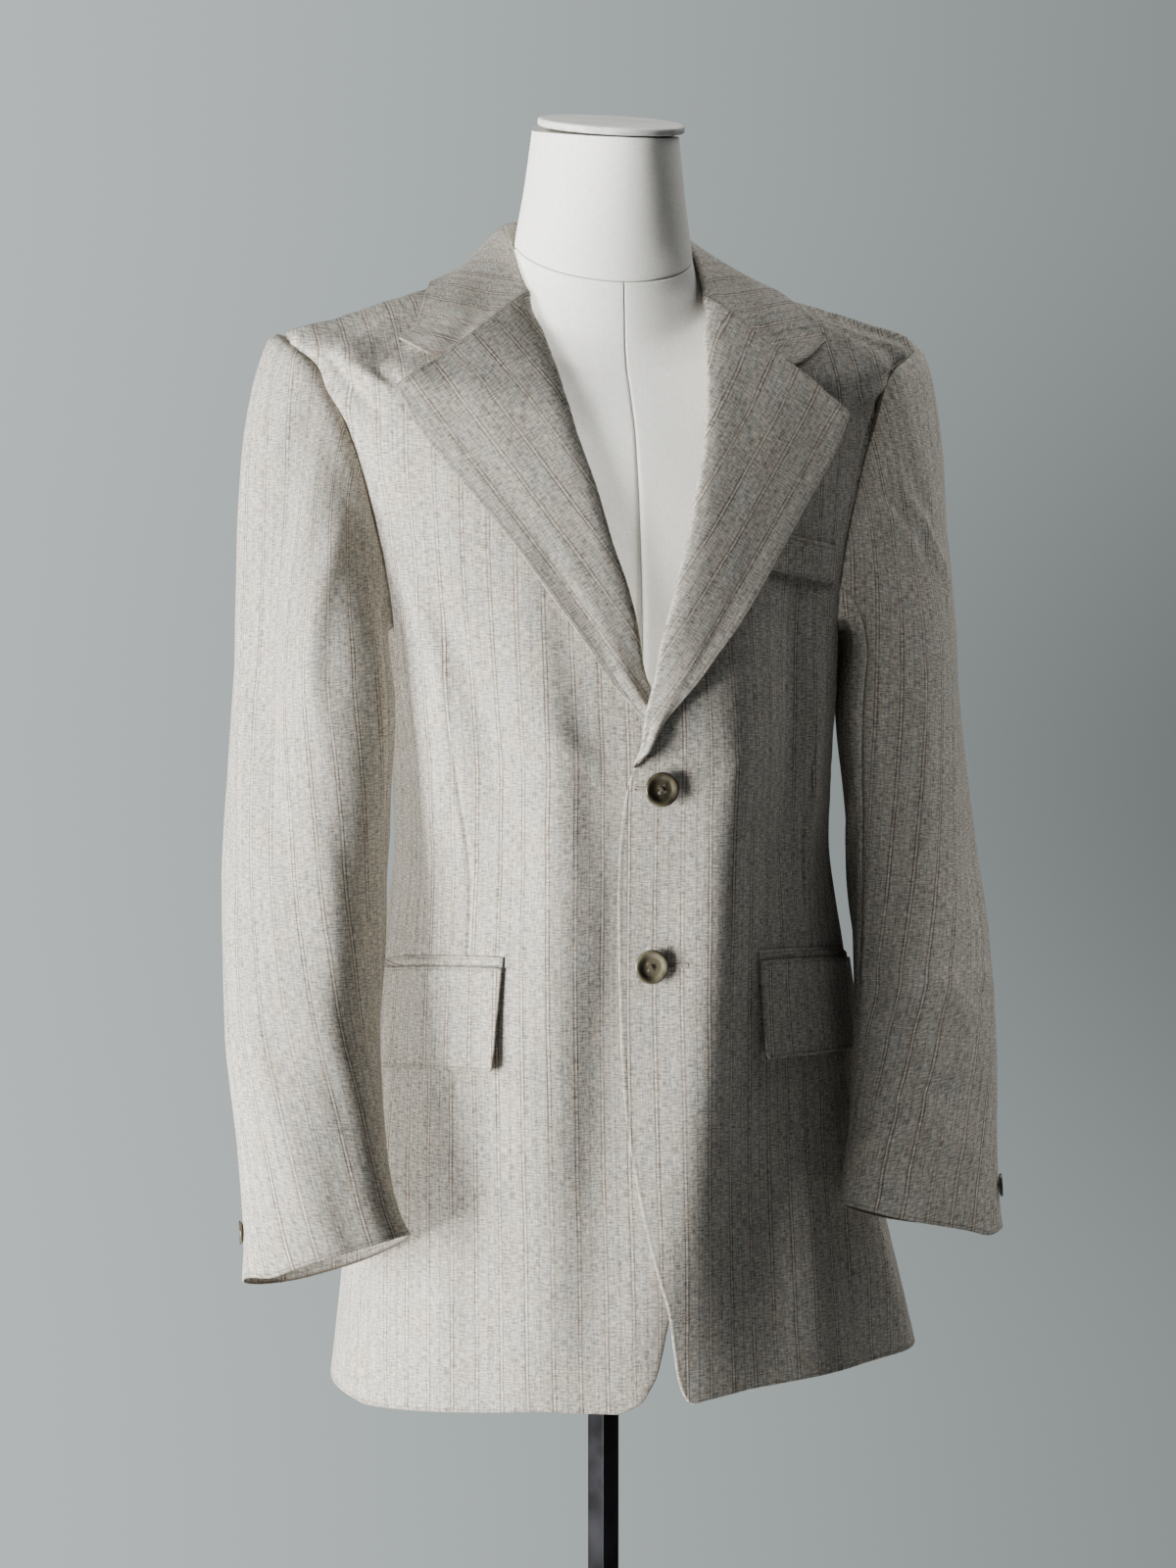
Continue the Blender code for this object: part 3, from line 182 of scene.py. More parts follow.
LAPEL_EDGE = {
    # from the tip down the free edge to the foot
    Side.LEFT: ((1.3764, 0.1464), (1.3496, 0.1324), (1.3314, 0.1204), (1.3128, 0.1069),
                (1.2778, 0.0825), (1.2415, 0.0562), (1.2205, 0.0386), (1.1940, 0.0166),
                (1.1740, -0.0010), (1.1580, -0.0095)),
    Side.RIGHT: ((1.3920, -0.1546), (1.3700, -0.1442), (1.3462, -0.1284), (1.3224, -0.1109),
                 (1.2876, -0.0855), (1.2584, -0.0665), (1.2286, -0.0468), (1.2037, -0.0309),
                 (1.1794, -0.0110), (1.1720, -0.0060)),
}
NOTCH_SHARE = 0.68          # how far across the lapel its notch lies
LAPEL_FOLD = (
    # over the front (minus is beyond the roll line, towards the neck), above its face
    (-0.0004, -0.0009), (-0.0026, -0.0009), (-0.0042, 0.0010), (-0.0036, 0.0034),
)
LAPEL_ROLL = (0.0047, 0.0022, 0.0070)   # height at the roll, further rise, and over what run
LAPEL_LIE = 0.0026          # middle of the lapel's wall above the front at its free edge
COLLAR_TIP = {Side.LEFT: (1.4236, 0.1414), Side.RIGHT: (1.4223, -0.1493)}
COLLAR = np.array((
    # angle, crest_x, crest_y, crest_z, edge_angle, edge_level
    (58.0, 0.0625, -0.0280, 1.4610, 59.0, 9.60),
    (66.0, 0.0638, -0.0170, 1.4720, 66.0, 10.14),
    (78.0, 0.0641, -0.0030, 1.4850, 76.0, 10.60),
    (92.0, 0.0635, 0.0130, 1.4950, 90.0, 10.92),
    (108.0, 0.0622, 0.0310, 1.5020, 107.0, 10.98),
    (126.0, 0.0542, 0.0490, 1.5070, 126.0, 11.00),
    (144.0, 0.0410, 0.0620, 1.5100, 144.0, 11.00),
    (162.0, 0.0215, 0.0700, 1.5120, 162.0, 11.00),
    (180.0, 0.0000, 0.0730, 1.5125, 180.0, 11.00),
))
COLLAR_STATIONS = (58.0, 66.0, 75.0, 84.0, 93.0, 104.0, 117.0, 132.0, 148.0, 164.0, 180.0)
COLLAR_LIE = 0.0028

SLEEVES = {
    Side.RIGHT: np.array((
        # x,      y,      z,     long,   out,    inner,  turn, rise_front, rise_inner
        (0.2010, -0.0100, 1.2050, 0.0640, 0.0450, 0.0340, 22.0, 0.06, 0.10),
        (0.2050, -0.0160, 1.1500, 0.0620, 0.0450, 0.0370, 28.0, 0.08, 0.05),
        (0.2096, -0.0250, 1.0900, 0.0590, 0.0450, 0.0390, 36.0, 0.12, 0.02),
        (0.2138, -0.0400, 1.0300, 0.0545, 0.0450, 0.0420, 45.0, 0.18, 0.02),
        (0.2180, -0.0620, 0.9600, 0.0490, 0.0450, 0.0420, 60.0, 0.28, 0.06),
        (0.2172, -0.0840, 0.9000, 0.0470, 0.0410, 0.0390, 72.0, 0.36, 0.14),
        (0.2145, -0.0980, 0.8580, 0.0495, 0.0370, 0.0350, 80.0, 0.42, 0.24),
        (0.2124, -0.1050, 0.8380, 0.0540, 0.0340, 0.0330, 84.0, 0.44, 0.30),
    )),
    Side.LEFT: np.array((
        (0.2052, -0.0100, 1.2050, 0.0640, 0.0450, 0.0340, 22.0, 0.06, 0.10),
        (0.2080, -0.0160, 1.1500, 0.0620, 0.0450, 0.0370, 28.0, 0.08, 0.05),
        (0.2103, -0.0270, 1.0900, 0.0590, 0.0450, 0.0380, 36.0, 0.12, 0.02),
        (0.2072, -0.0525, 1.0300, 0.0545, 0.0460, 0.0370, 47.0, 0.16, 0.02),
        (0.1965, -0.0930, 0.9600, 0.0510, 0.0450, 0.0350, 64.0, 0.22, 0.06),
        (0.1880, -0.1170, 0.9020, 0.0515, 0.0410, 0.0340, 78.0, 0.24, 0.12),
        (0.1820, -0.1320, 0.8640, 0.0535, 0.0370, 0.0340, 86.0, 0.22, 0.18),
        (0.1808, -0.1380, 0.8460, 0.0550, 0.0340, 0.0330, 90.0, 0.20, 0.22),
    )),
}
HIND_SEAM_ROW = 5           # armhole rows above the underarm where the hind seam starts
FRONT_SEAM_ROW = 1
UNDER_SPAN = 158.0          # degrees of a sleeve ring that the under sleeve takes

POCKETS = {
    # angle_front, angle_back, top, bottom, drop of the hind end
    Side.RIGHT: (-38.4, -91.0, 1.0168, 0.9470, 0.0120),
    Side.LEFT: (24.6, 76.0, 1.0165, 0.9500, 0.0120),
}
FLAP_CLOTH = 0.0018
FLAP_LIE = 0.0026
WELT_CORNERS = ((1.2998, 0.0780), (1.2882, 0.1420), (1.2632, 0.1410), (1.2742, 0.0770))
BUTTON_CENTRES = {"front_button_upper": (-0.0016, 1.1349), "front_button_lower": (-0.0061, 1.0202)}
BUTTON_WIDTH = 0.0226
CUFF_BUTTON_WIDTH = 0.0155

FORM_BODY = (
    # level, inset in front, at the side, behind
    (1.08, 0.0750, 0.0700, 0.0650), (1.12, 0.0520, 0.0470, 0.0420), (1.25, 0.0440, 0.0390, 0.0340),
    (2.0, 0.0400, 0.0300, 0.0250), (3.0, 0.0480, 0.0290, 0.0220), (4.0, 0.0500, 0.0270, 0.0200),
    (5.0, 0.0360, 0.0230, 0.0160), (6.0, 0.0290, 0.0200, 0.0120), (7.0, 0.0250, 0.0180, 0.0100),
    (8.0, 0.0210, 0.0150, 0.0080), (9.0, 0.0200, 0.0050, 0.0060), (10.0, 0.0180, 0.0042, 0.0052),
    (11.0, 0.0130, 0.0042, 0.0052),
)
FORM_NECK = (
    # half_width, front, back, z_front, z_side, z_back
    (0.0740, 0.0530, 0.0730, 1.4240, 1.4685, 1.4760),
    (0.0660, 0.0525, 0.0670, 1.4400, 1.4745, 1.4815),
    (0.0612, 0.0515, 0.0610, 1.4560, 1.4830, 1.4890),
    (0.0590, 0.0515, 0.0550, 1.4780, 1.4980, 1.5040),
    (0.0545, 0.0575, 0.0420, 1.5120, 1.5240, 1.5330),
    (0.0490, 0.0660, 0.0300, 1.5540, 1.5645, 1.5750),
)
NECK_CAP = {"half_width": 0.0490, "y": -0.0186, "tilt": 12.4, "z": 1.5680, "thick": 0.0052}

# Large folds of the body, as in the solids: raised where depth is positive.
BODY_FOLDS = (
    # angle, angle_top, width, level_low, level_high, depth
    (-62.0, -66.0, 9.0, 1.6, 6.2, 0.0060),
    (-40.0, -34.0, 12.0, 2.2, 6.5, -0.0040),
    (32.0, 30.0, 14.0, 0.3, 5.5, 0.0040),
    (63.0, 61.0, 10.0, -0.9, 1.0, 0.0060),
    (60.0, 58.0, 14.0, 0.5, 3.6, -0.0060),
)
SHOULDER_FOLD = (78.0, 7.0, 7.6, 8.9, 0.0016)


@dataclass(frozen=True)
class Crease:
    """A soft ridge, or a trough where depth is negative, from one end to the other.

    On the body the places are degrees round it and height. On a sleeve they are the
    share round it and metres down from the armhole.
    """

    around_from: float
    along_from: float
    around_to: float
    along_to: float
    half_width: float
    depth: float
    bow: float = 0.0


BODY_CREASES = (
    # the left shoulder's three ridges and the troughs between them
    Crease(72.0, 1.448, 48.0, 1.375, 0.0080, 0.0026, 0.006),
    Crease(92.0, 1.450, 52.0, 1.385, 0.0050, 0.0042, 0.006),
    Crease(74.0, 1.434, 60.0, 1.395, 0.0065, 0.0022, 0.004),
    Crease(70.0, 1.440, 52.0, 1.370, 0.0065, -0.0026, 0.006),
    Crease(64.0, 1.418, 61.0, 1.350, 0.0060, -0.0030, 0.0),
    Crease(40.0, 1.400, 36.0, 1.330, 0.0090, -0.0024, 0.0),
    # the right shoulder's softer ones
    Crease(-82.0, 1.446, -64.0, 1.370, 0.0070, 0.0030, -0.006),
    Crease(-70.0, 1.442, -56.0, 1.372, 0.0060, -0.0032, -0.004),
    Crease(-76.0, 1.452, -46.0, 1.385, 0.0060, 0.0026, -0.006),
    Crease(-60.0, 1.430, -42.0, 1.372, 0.0055, -0.0024, 0.0),
    # the right front: chest to waist
    Crease(-66.0, 1.290, -56.0, 1.170, 0.0110, 0.0030, 0.010),
    Crease(-52.0, 1.250, -44.0, 1.120, 0.0130, -0.0026, 0.006),
    Crease(-29.0, 1.260, -27.0, 0.900, 0.0300, 0.0044, 0.004),
    Crease(-14.0, 1.220, -12.0, 0.860, 0.0210, -0.0036, 0.004),
    Crease(-20.8, 1.300, -17.9, 1.060, 0.0110, -0.0014, 0.004),
    Crease(-14.0, 1.150, -27.0, 1.175, 0.0060, 0.0016, 0.0),
    Crease(-30.0, 1.120, -25.0, 0.980, 0.0160, 0.0018, 0.0),
    Crease(-44.0, 0.940, -38.0, 0.730, 0.0180, -0.0030, 0.0),
    Crease(-28.0, 0.930, -24.0, 0.730, 0.0200, 0.0022, 0.004),
    Crease(-15.0, 1.000, -13.0, 0.760, 0.0140, -0.0018, 0.0),
    Crease(-70.0, 0.940, -66.0, 0.730, 0.0160, 0.0040, 0.0),
    # the left front
    Crease(21.0, 1.270, -5.0, 0.735, 0.0240, 0.0066, 0.007),
    Crease(42.0, 1.270, 18.0, 0.735, 0.0400, -0.0100, 0.006),
    Crease(-3.0, 1.190, -2.5, 0.800, 0.0330, -0.0056, 0.0),
    Crease(13.0, 1.140, 26.0, 1.170, 0.0060, 0.0014, 0.0),
    Crease(40.0, 0.930, 44.0, 0.735, 0.0140, -0.0030, 0.0),
    Crease(56.0, 0.930, 58.0, 0.735, 0.0130, 0.0036, 0.0),
    Crease(48.0, 1.230, 52.0, 1.060, 0.0130, 0.0024, 0.006),
    Crease(38.0, 1.270, 40.0, 1.080, 0.0120, -0.0022, 0.0),
    # the sides and the back, alike on both but uneven
    Crease(92.0, 0.980, 96.0, 0.740, 0.0150, -0.0030, 0.0),
    Crease(-94.0, 0.990, -98.0, 0.735, 0.0160, -0.0028, 0.0),
    Crease(-88.0, 1.200, -92.0, 1.060, 0.0100, 0.0020, 0.004),
    Crease(90.0, 1.210, 94.0, 1.070, 0.0110, 0.0022, -0.004),
    Crease(124.0, 1.350, 140.0, 1.180, 0.0120, 0.0026, 0.006),
    Crease(-122.0, 1.350, -142.0, 1.170, 0.0130, 0.0024, -0.006),
    Crease(140.0, 1.330, 150.0, 1.120, 0.0130, -0.0024, 0.004),
    Crease(-138.0, 1.320, -152.0, 1.110, 0.0140, -0.0026, -0.004),
    Crease(128.0, 1.020, 132.0, 0.730, 0.0170, 0.0034, 0.0),
    Crease(-130.0, 1.000, -134.0, 0.730, 0.0180, 0.0030, 0.0),
    Crease(150.0, 0.980, 154.0, 0.730, 0.0180, -0.0030, 0.0),
    Crease(-154.0, 0.960, -150.0, 0.730, 0.0160, -0.0028, 0.0),
    Crease(166.0, 1.130, 138.0, 1.090, 0.0080, 0.0018, 0.004),
    Crease(-168.0, 1.120, -140.0, 1.095, 0.0080, 0.0016, 0.004),
    Crease(170.0, 1.470, 168.0, 1.380, 0.0100, -0.0012, 0.0),
)

SLEEVE_CREASES = {
    Side.RIGHT: (
        # share round, metres down
        Crease(0.30, 0.040, 0.27, 0.300, 0.0130, -0.0068, 0.004),
        Crease(0.42, 0.030, 0.38, 0.180, 0.0080, 0.0038, 0.004),
        Crease(0.18, 0.060, 0.20, 0.260, 0.0120, 0.0022, 0.0),
        Crease(0.40, 0.250, 0.33, 0.420, 0.0140, 0.0024, -0.004),
        Crease(0.15, 0.300, 0.22, 0.400, 0.0100, -0.0018, 0.0),
        Crease(0.36, 0.420, 0.28, 0.600, 0.0130, -0.0022, 0.004),
        Crease(0.20, 0.450, 0.24, 0.600, 0.0120, 0.0018, 0.0),
        Crease(0.62, 0.120, 0.70, 0.240, 0.0090, 0.0034, 0.004),
        Crease(0.66, 0.240, 0.78, 0.320, 0.0090, -0.0030, 0.0),
        Crease(0.72, 0.330, 0.84, 0.400, 0.0090, 0.0030, 0.0),
        Crease(0.80, 0.260, 0.92, 0.330, 0.0080, 0.0026, 0.0),
        Crease(0.76, 0.460, 0.82, 0.600, 0.0120, -0.0024, 0.0),
    ),
    Side.LEFT: (
        Crease(0.42, 0.020, 0.36, 0.080, 0.0045, 0.0042, 0.0),
        Crease(0.39, 0.030, 0.34, 0.100, 0.0040, -0.0034, 0.0),
        Crease(0.36, 0.050, 0.28, 0.150, 0.0055, 0.0036, 0.0),
        Crease(0.33, 0.050, 0.29, 0.110, 0.0045, -0.0030, 0.0),
        Crease(0.22, 0.060, 0.24, 0.220, 0.0110, 0.0020, 0.0),
        Crease(0.44, 0.140, 0.40, 0.300, 0.0120, 0.0022, 0.004),
        Crease(0.28, 0.200, 0.26, 0.380, 0.0130, -0.0024, 0.004),
        Crease(0.46, 0.330, 0.36, 0.420, 0.0070, 0.0024, 0.004),
        Crease(0.44, 0.370, 0.30, 0.450, 0.0060, -0.0022, 0.0),
        Crease(0.38, 0.370, 0.24, 0.480, 0.0050, 0.0022, 0.004),
        Crease(0.46, 0.430, 0.32, 0.500, 0.0050, 0.0020, 0.0),
        Crease(0.40, 0.450, 0.20, 0.550, 0.0050, -0.0020, 0.004),
        Crease(0.28, 0.420, 0.16, 0.480, 0.0045, 0.0018, 0.0),
        Crease(0.44, 0.500, 0.28, 0.570, 0.0050, 0.0018, 0.0),
        Crease(0.30, 0.510, 0.18, 0.600, 0.0050, 0.0016, -0.003),
        Crease(0.62, 0.130, 0.72, 0.230, 0.0090, 0.0032, 0.004),
        Crease(0.68, 0.250, 0.80, 0.330, 0.0090, -0.0028, 0.0),
        Crease(0.74, 0.340, 0.86, 0.410, 0.0090, 0.0030, 0.0),
        Crease(0.78, 0.460, 0.84, 0.600, 0.0120, -0.0024, 0.0),
    ),
}


# ---------------------------------------------------------------- curves
def smooth(xs: Array, ys: Array, at: Array) -> Array:
    """A smooth curve through the points (xs, ys) that never overshoots them.

    Args:
        xs: Rising positions of the knots.
        ys: Values at the knots.
        at: Positions to read.

    Returns:
        The values at those positions.
    """
    xs, ys, at = np.asarray(xs, float), np.asarray(ys, float), np.asarray(at, float)
    step, rise = np.diff(xs), np.diff(ys)
    slope = rise / step
    tangent = np.concatenate([slope[:1], (slope[1:] + slope[:-1]) / 2, slope[-1:]])
    for i in range(1, len(xs) - 1):
        if slope[i - 1] * slope[i] <= 0:
            tangent[i] = 0.0
        else:
            weight = (2 * step[i] + step[i - 1], step[i] + 2 * step[i - 1])
            tangent[i] = sum(weight) / (weight[0] / slope[i - 1] + weight[1] / slope[i])
    i = np.clip(np.searchsorted(xs, at) - 1, 0, len(xs) - 2)
    f = np.clip((at - xs[i]) / step[i], 0.0, 1.0)
    return (ys[i] * (1 + 2 * f) * (1 - f) ** 2 + ys[i + 1] * f * f * (3 - 2 * f)
            + step[i] * (tangent[i] * f * (1 - f) ** 2 + tangent[i + 1] * f * f * (f - 1)))


def smooth_rows(points: Array, at: Array) -> Array:
    """Read a table of points smoothly between its rows, along its first axis."""
    flat = points.reshape(len(points), -1)
    read = np.stack([smooth(np.arange(len(points)), flat[:, k], at) for k in range(flat.shape[1])], -1)
    return read.reshape(len(at), *points.shape[1:])


def step_up(low: float, high: float, at: Array) -> Array:
    """0 below low, 1 above high, and an even rise between."""
    f = np.clip((np.asarray(at, float) - low) / (high - low), 0.0, 1.0)
    return f * f * (3 - 2 * f)


def between(rise: tuple[float, float], fall: tuple[float, float], at: Array) -> Array:
    """1 between two soft steps and 0 outside them."""
    return step_up(*rise, at) * (1.0 - step_up(*fall, at))


def bell(centre: float, width: float, at: Array) -> Array:
    """A soft bump of height 1 about the centre."""
    return np.exp(-(((np.asarray(at, float) - centre) / width) ** 2))


def unit(vectors: Array) -> Array:
    """The same directions with length 1."""
    return vectors / np.maximum(np.linalg.norm(vectors, axis=-1, keepdims=True), 1e-12)


def grid_normals(points: Array) -> Array:
    """Directions straight out of a grid of points."""
    return unit(np.cross(np.gradient(points, axis=1), np.gradient(points, axis=0)))


def running_length(points: Array, axis: int) -> Array:
    """Length along a grid of points from its start, along one of its axes."""
    steps = np.linalg.norm(np.diff(points, axis=axis), axis=-1)
    return np.insert(np.cumsum(steps, axis=axis), 0, 0.0, axis=axis)


def crease_height(creases: tuple[Crease, ...], around: Array, along: Array,
                  scale: float) -> Array:
    """How far a set of creases lifts the cloth.

    Args:
        creases: The ridges and troughs.
        around: Places round the piece, in the creases' own unit.
        along: Places along it in metres.
        scale: Metres for one unit of around.

    Returns:
        Heights in metres, negative in the troughs.
    """
    height = np.zeros(np.broadcast(around, along).shape)
    for crease in creases:
        start = np.array((crease.around_from * scale, crease.along_from))
        run = np.array((crease.around_to * scale, crease.along_to)) - start
        length = float(np.hypot(*run))
        run /= length
        dx, dy = around * scale - start[0], along - start[1]
        share = np.clip((dx * run[0] + dy * run[1]) / length, *CREASE_REACH)
        offset = dy * run[0] - dx * run[1] - crease.bow * np.sin(math.pi * np.clip(share, 0, 1))
        fade = between(CREASE_RISE, CREASE_FALL, share)
        height += crease.depth * np.exp(-((offset / crease.half_width) ** 2)) * fade
    return height


class Ripple:
    """The cloth's own fixed unevenness: smooth value noise on a lattice."""

    def __init__(self, seed: int, cell: tuple[float, float]) -> None:
        """Draw the lattice.

        Args:
            seed: Which cloth.
            cell: Size of a lattice cell across and along, in metres.
        """
        self.table = np.random.default_rng(seed).uniform(-1.0, 1.0, (97, 97))
        self.cell = cell

    def at(self, across: Array, along: Array) -> Array:
        """The noise, from -1 to 1, at places in metres."""
        x, y = np.asarray(across) / self.cell[0] + 1000.0, np.asarray(along) / self.cell[1] + 1000.0
        i, j = np.floor(x).astype(int), np.floor(y).astype(int)
        f, g = x - i, y - j
        f, g = f * f * (3 - 2 * f), g * g * (3 - 2 * g)
        t = self.table
        n = len(t)
        low = t[i % n, j % n] * (1 - f) + t[(i + 1) % n, j % n] * f
        high = t[i % n, (j + 1) % n] * (1 - f) + t[(i + 1) % n, (j + 1) % n] * f
        return low * (1 - g) + high * g


# ---------------------------------------------------------------- the draped body
class BodySurface:
    """The draped form that every panel of the body is cut from."""

    def __init__(self) -> None:
        """Prepare the ripples and the table of lengths round the body."""
        self.broad = Ripple(11, (0.045, 0.080))
        self.fine = Ripple(12, (0.014, 0.020))
        self.grid_angle, self.grid_level = np.meshgrid(np.linspace(0.5, 90, 46), np.linspace(0, NECK, 121))
        self.known = {sign: self.point(self.grid_angle * sign, self.grid_level) for sign in (-1, 1)}
        self.arc_angle = np.linspace(-180.0, 180.0, 241)
        self.arc_level = np.linspace(0.0, NECK, 49)
        ring = self.point(self.arc_angle[None, :], self.arc_level[:, None], folds=0.0)
        length = running_length(ring, 1)
        self.arcs = length - length[:, 120:121]

    def fold_height(self, angle: Array, level: Array) -> Array:
        """How far the large folds stand out of the plain body."""
        height = np.zeros(np.broadcast(angle, level).shape)
        for low_angle, top_angle, width, low, high, depth in BODY_FOLDS:
            along = np.clip((level - low) / (high - low), 0.0, 1.0)
            centre = low_angle + (top_angle - low_angle) * along
            height += depth * bell(centre, width, angle) * np.sin(math.pi * along) ** 0.8
        centre, width, low, high, depth = SHOULDER_FOLD
        along = np.clip((level - low) / (high - low), 0.0, 1.0)
        return height + depth * bell(centre, width, np.abs(angle)) * np.sin(math.pi * along)

    def point(self, angle: Array, level: Array, folds: float = 1.0) -> Array:
        """Points of the body at angles round it and levels up it.

        Args:
            angle: Degrees from the front, positive on the wearer's left.
            level: Row of LEVELS, in fractions.
            folds: Share of the large folds to include.

        Returns:
            Points in metres.
        """
        angle, level = np.broadcast_arrays(np.asarray(angle, float), np.asarray(level, float))
        right, left, front, back, corner, z_front, z_side, z_back = (
            smooth(np.arange(len(LEVELS)), LEVELS[:, k], level) for k in range(8))
        turn = np.radians(angle)
        across, ahead = np.sin(turn), np.cos(turn)
        power = 2.0 / corner
        x = np.where(across < 0, right, left) * np.sign(across) * np.abs(across) ** power
        y = -np.where(ahead > 0, front, back) * np.sign(ahead) * np.abs(ahead) ** power
        z_far = np.where(ahead > 0, z_front, z_back)
        z = z_side + (z_far - z_side) * np.abs(ahead) ** 1.6
        drop = np.interp(angle, HEM[:, 0], HEM[:, 1]) - LEVELS[0, 6]
        z = z + drop * np.clip(1.0 - level, 0.0, 1.0) ** 1.5
        out = self.fold_height(angle, level) * folds
        return np.stack([x + out * across, y - out * ahead, z], -1)

    def normal(self, angle: Array, level: Array) -> Array:
        """Directions straight out of the body."""
        small = 1e-3
        round_it = self.point(angle + small * 50, level) - self.point(angle - small * 50, level)
        level = np.clip(level, small, NECK - small)
        up_it = self.point(angle, level + small) - self.point(angle, level - small)
        return unit(np.cross(round_it, up_it))

    def relief(self, angle: Array, level: Array) -> Array:
        """Height of the creases and ripples on the plain body."""
        here = self.point(angle, level)
        rough = BROAD_RIPPLE * self.broad.at(angle * METRES_PER_DEGREE, here[..., 2])
        rough += FINE_RIPPLE * self.fine.at(angle * METRES_PER_DEGREE, here[..., 2])
        return crease_height(BODY_CREASES, angle, here[..., 2], METRES_PER_DEGREE) + rough

    def raised(self, angle: Array, level: Array, out: Array,
               relief: float = 1.0) -> Array:
        """Points that lie out of the body.

        Args:
            angle: Degrees from the front.
            level: Row of LEVELS, in fractions.
            out: Distance out of the body, in metres.
            relief: Share of the creases to follow.

        Returns:
            Points in metres.
        """
        angle, level = np.broadcast_arrays(np.asarray(angle, float), np.asarray(level, float))
        height = np.asarray(out, float) + relief * self.relief(angle, level)
        return self.point(angle, level) + self.normal(angle, level) * height[..., None]

    def place(self, x: Array, z: Array) -> tuple[Array, Array]:
        """Angle and level of the front's points at distances from the middle and heights."""
        x, z = np.broadcast_arrays(np.asarray(x, float), np.asarray(z, float))
        flat_x, flat_z = x.ravel(), z.ravel()
        angle, level = np.empty(flat_x.size), np.empty(flat_x.size)
        for sign in (-1, 1):
            mine = np.nonzero((flat_x < 0) == (sign < 0))[0]
            known = self.known[sign].reshape(-1, 3)
            for some in np.array_split(mine, max(1, len(mine) // 400)):
                miss = (known[None, :, 0] - flat_x[some, None]) ** 2
                miss += (known[None, :, 2] - flat_z[some, None]) ** 2
                best = np.argmin(miss, axis=1)
                angle[some] = self.grid_angle.ravel()[best] * sign
                level[some] = self.grid_level.ravel()[best]
        for _ in range(14):
            here = self.point(angle, level)
            by_angle = (self.point(angle + 0.05, level) - self.point(angle - 0.05, level)) / 0.1
            by_level = (self.point(angle, level + 0.002) - self.point(angle, level - 0.002)) / 0.004
            error_x, error_z = flat_x - here[:, 0], flat_z - here[:, 2]
            det = by_angle[:, 0] * by_level[:, 2] - by_level[:, 0] * by_angle[:, 2]
            det = np.where(np.abs(det) < 1e-9, 1e-9, det)
            turn = (error_x * by_level[:, 2] - by_level[:, 0] * error_z) / det
            rise = (by_angle[:, 0] * error_z - by_angle[:, 2] * error_x) / det
            angle += np.clip(turn, -4, 4)
            level = np.clip(level + np.clip(rise, -0.3, 0.3), 0.0, NECK)
        return angle.reshape(x.shape), level.reshape(x.shape)

    def cut(self, angle: Array, level: Array, behind: bool = False) -> Array:
        """Where the cloth's grain puts these places: metres across the stripes and along them."""
        angle, level = np.broadcast_arrays(np.asarray(angle, float), np.asarray(level, float))
        column = (angle + 180.0) / 360.0 * (len(self.arc_angle) - 1)
        row = level / NECK * (len(self.arc_level) - 1)
        i = np.clip(np.floor(row).astype(int), 0, len(self.arc_level) - 2)
        j = np.clip(np.floor(column).astype(int), 0, len(self.arc_angle) - 2)
        f, g = row - i, column - j
        arcs = self.arcs
        arc = ((arcs[i, j] * (1 - g) + arcs[i, j + 1] * g) * (1 - f)
               + (arcs[i + 1, j] * (1 - g) + arcs[i + 1, j + 1] * g) * f)
        half = np.interp(level, self.arc_level, self.arcs[:, -1]) * np.sign(angle)
        here = self.point(angle, level)
        low = self.point(angle, np.minimum(level, GRAIN_LOW))
        arc = np.where(behind, arc - half, arc)
        straight = np.where(behind, -here[..., 0], here[..., 0]) * GRAIN_SPREAD
        blend = step_up(*GRAIN_SHIFT, level)
        across = arc * (1 - blend) + straight * blend
        along = low[..., 2] + np.linalg.norm((here - low)[..., 1:], axis=-1)
        return np.stack([across, along], -1)


BODY = BodySurface()


def levels_of(heights: Array) -> Array:
    """Levels whose side height is that far above the hem."""
    sides = LEVELS[:7, 6]
    return np.interp(np.asarray(heights) + sides[0], sides, np.arange(7.0))


def outer_edge(rows: Array, which: str) -> Array:
    """Angle of a panel's edge at each row: side seam, armhole, then shoulder seam."""
    column = {"right": 1, "left": 2, "back": 3}[which]
    below = smooth(SIDE_SEAMS[:, 0], SIDE_SEAMS[:, column], np.minimum(rows, UNDERARM))
    beside = smooth(ARMHOLE[:, 0], ARMHOLE[:, column], np.clip(rows, UNDERARM, TIP))
    return np.where(rows <= UNDERARM, below, np.where(rows <= TIP, beside, 90.0))


def edge_line(side: Side) -> tuple[Array, Array]:
    """A front's closing edge and roll line, as angle and level, from the hem up."""
    points = CLOSING_EDGE[side] + ROLL_LINE[side][1:]
    heights = np.array([z for z, _ in points])
    fine = np.concatenate([np.linspace(low, high, 7)[:-1] for low, high in zip(heights, heights[1:])])
    fine = np.append(fine, heights[-1])
    return BODY.place(smooth(heights, [x for _, x in points], fine), fine)


def inner_edge(side: Side, rows: Array) -> Array:
    """Angle of a front's inner edge at each of its rows."""
    angle, level = edge_line(side)
    order = np.argsort(level)
    inner = np.interp(np.minimum(rows, GORGE_START), level[order], angle[order])
    turned = np.clip((rows - GORGE_START) / GORGE_RISE, 0.0, 1.0)
    return inner + (GORGE_ANGLE * side.value - inner) * turned


def closure_lift(angle: Array, level: Array) -> Array:
    """Height of the left front above the right one where they lap."""
    lap = 1.0 - step_up(*LAP_END, angle)
    return lap * (CLOSURE_LIFT + CROSSING_LIFT * bell(*CROSSING, level))


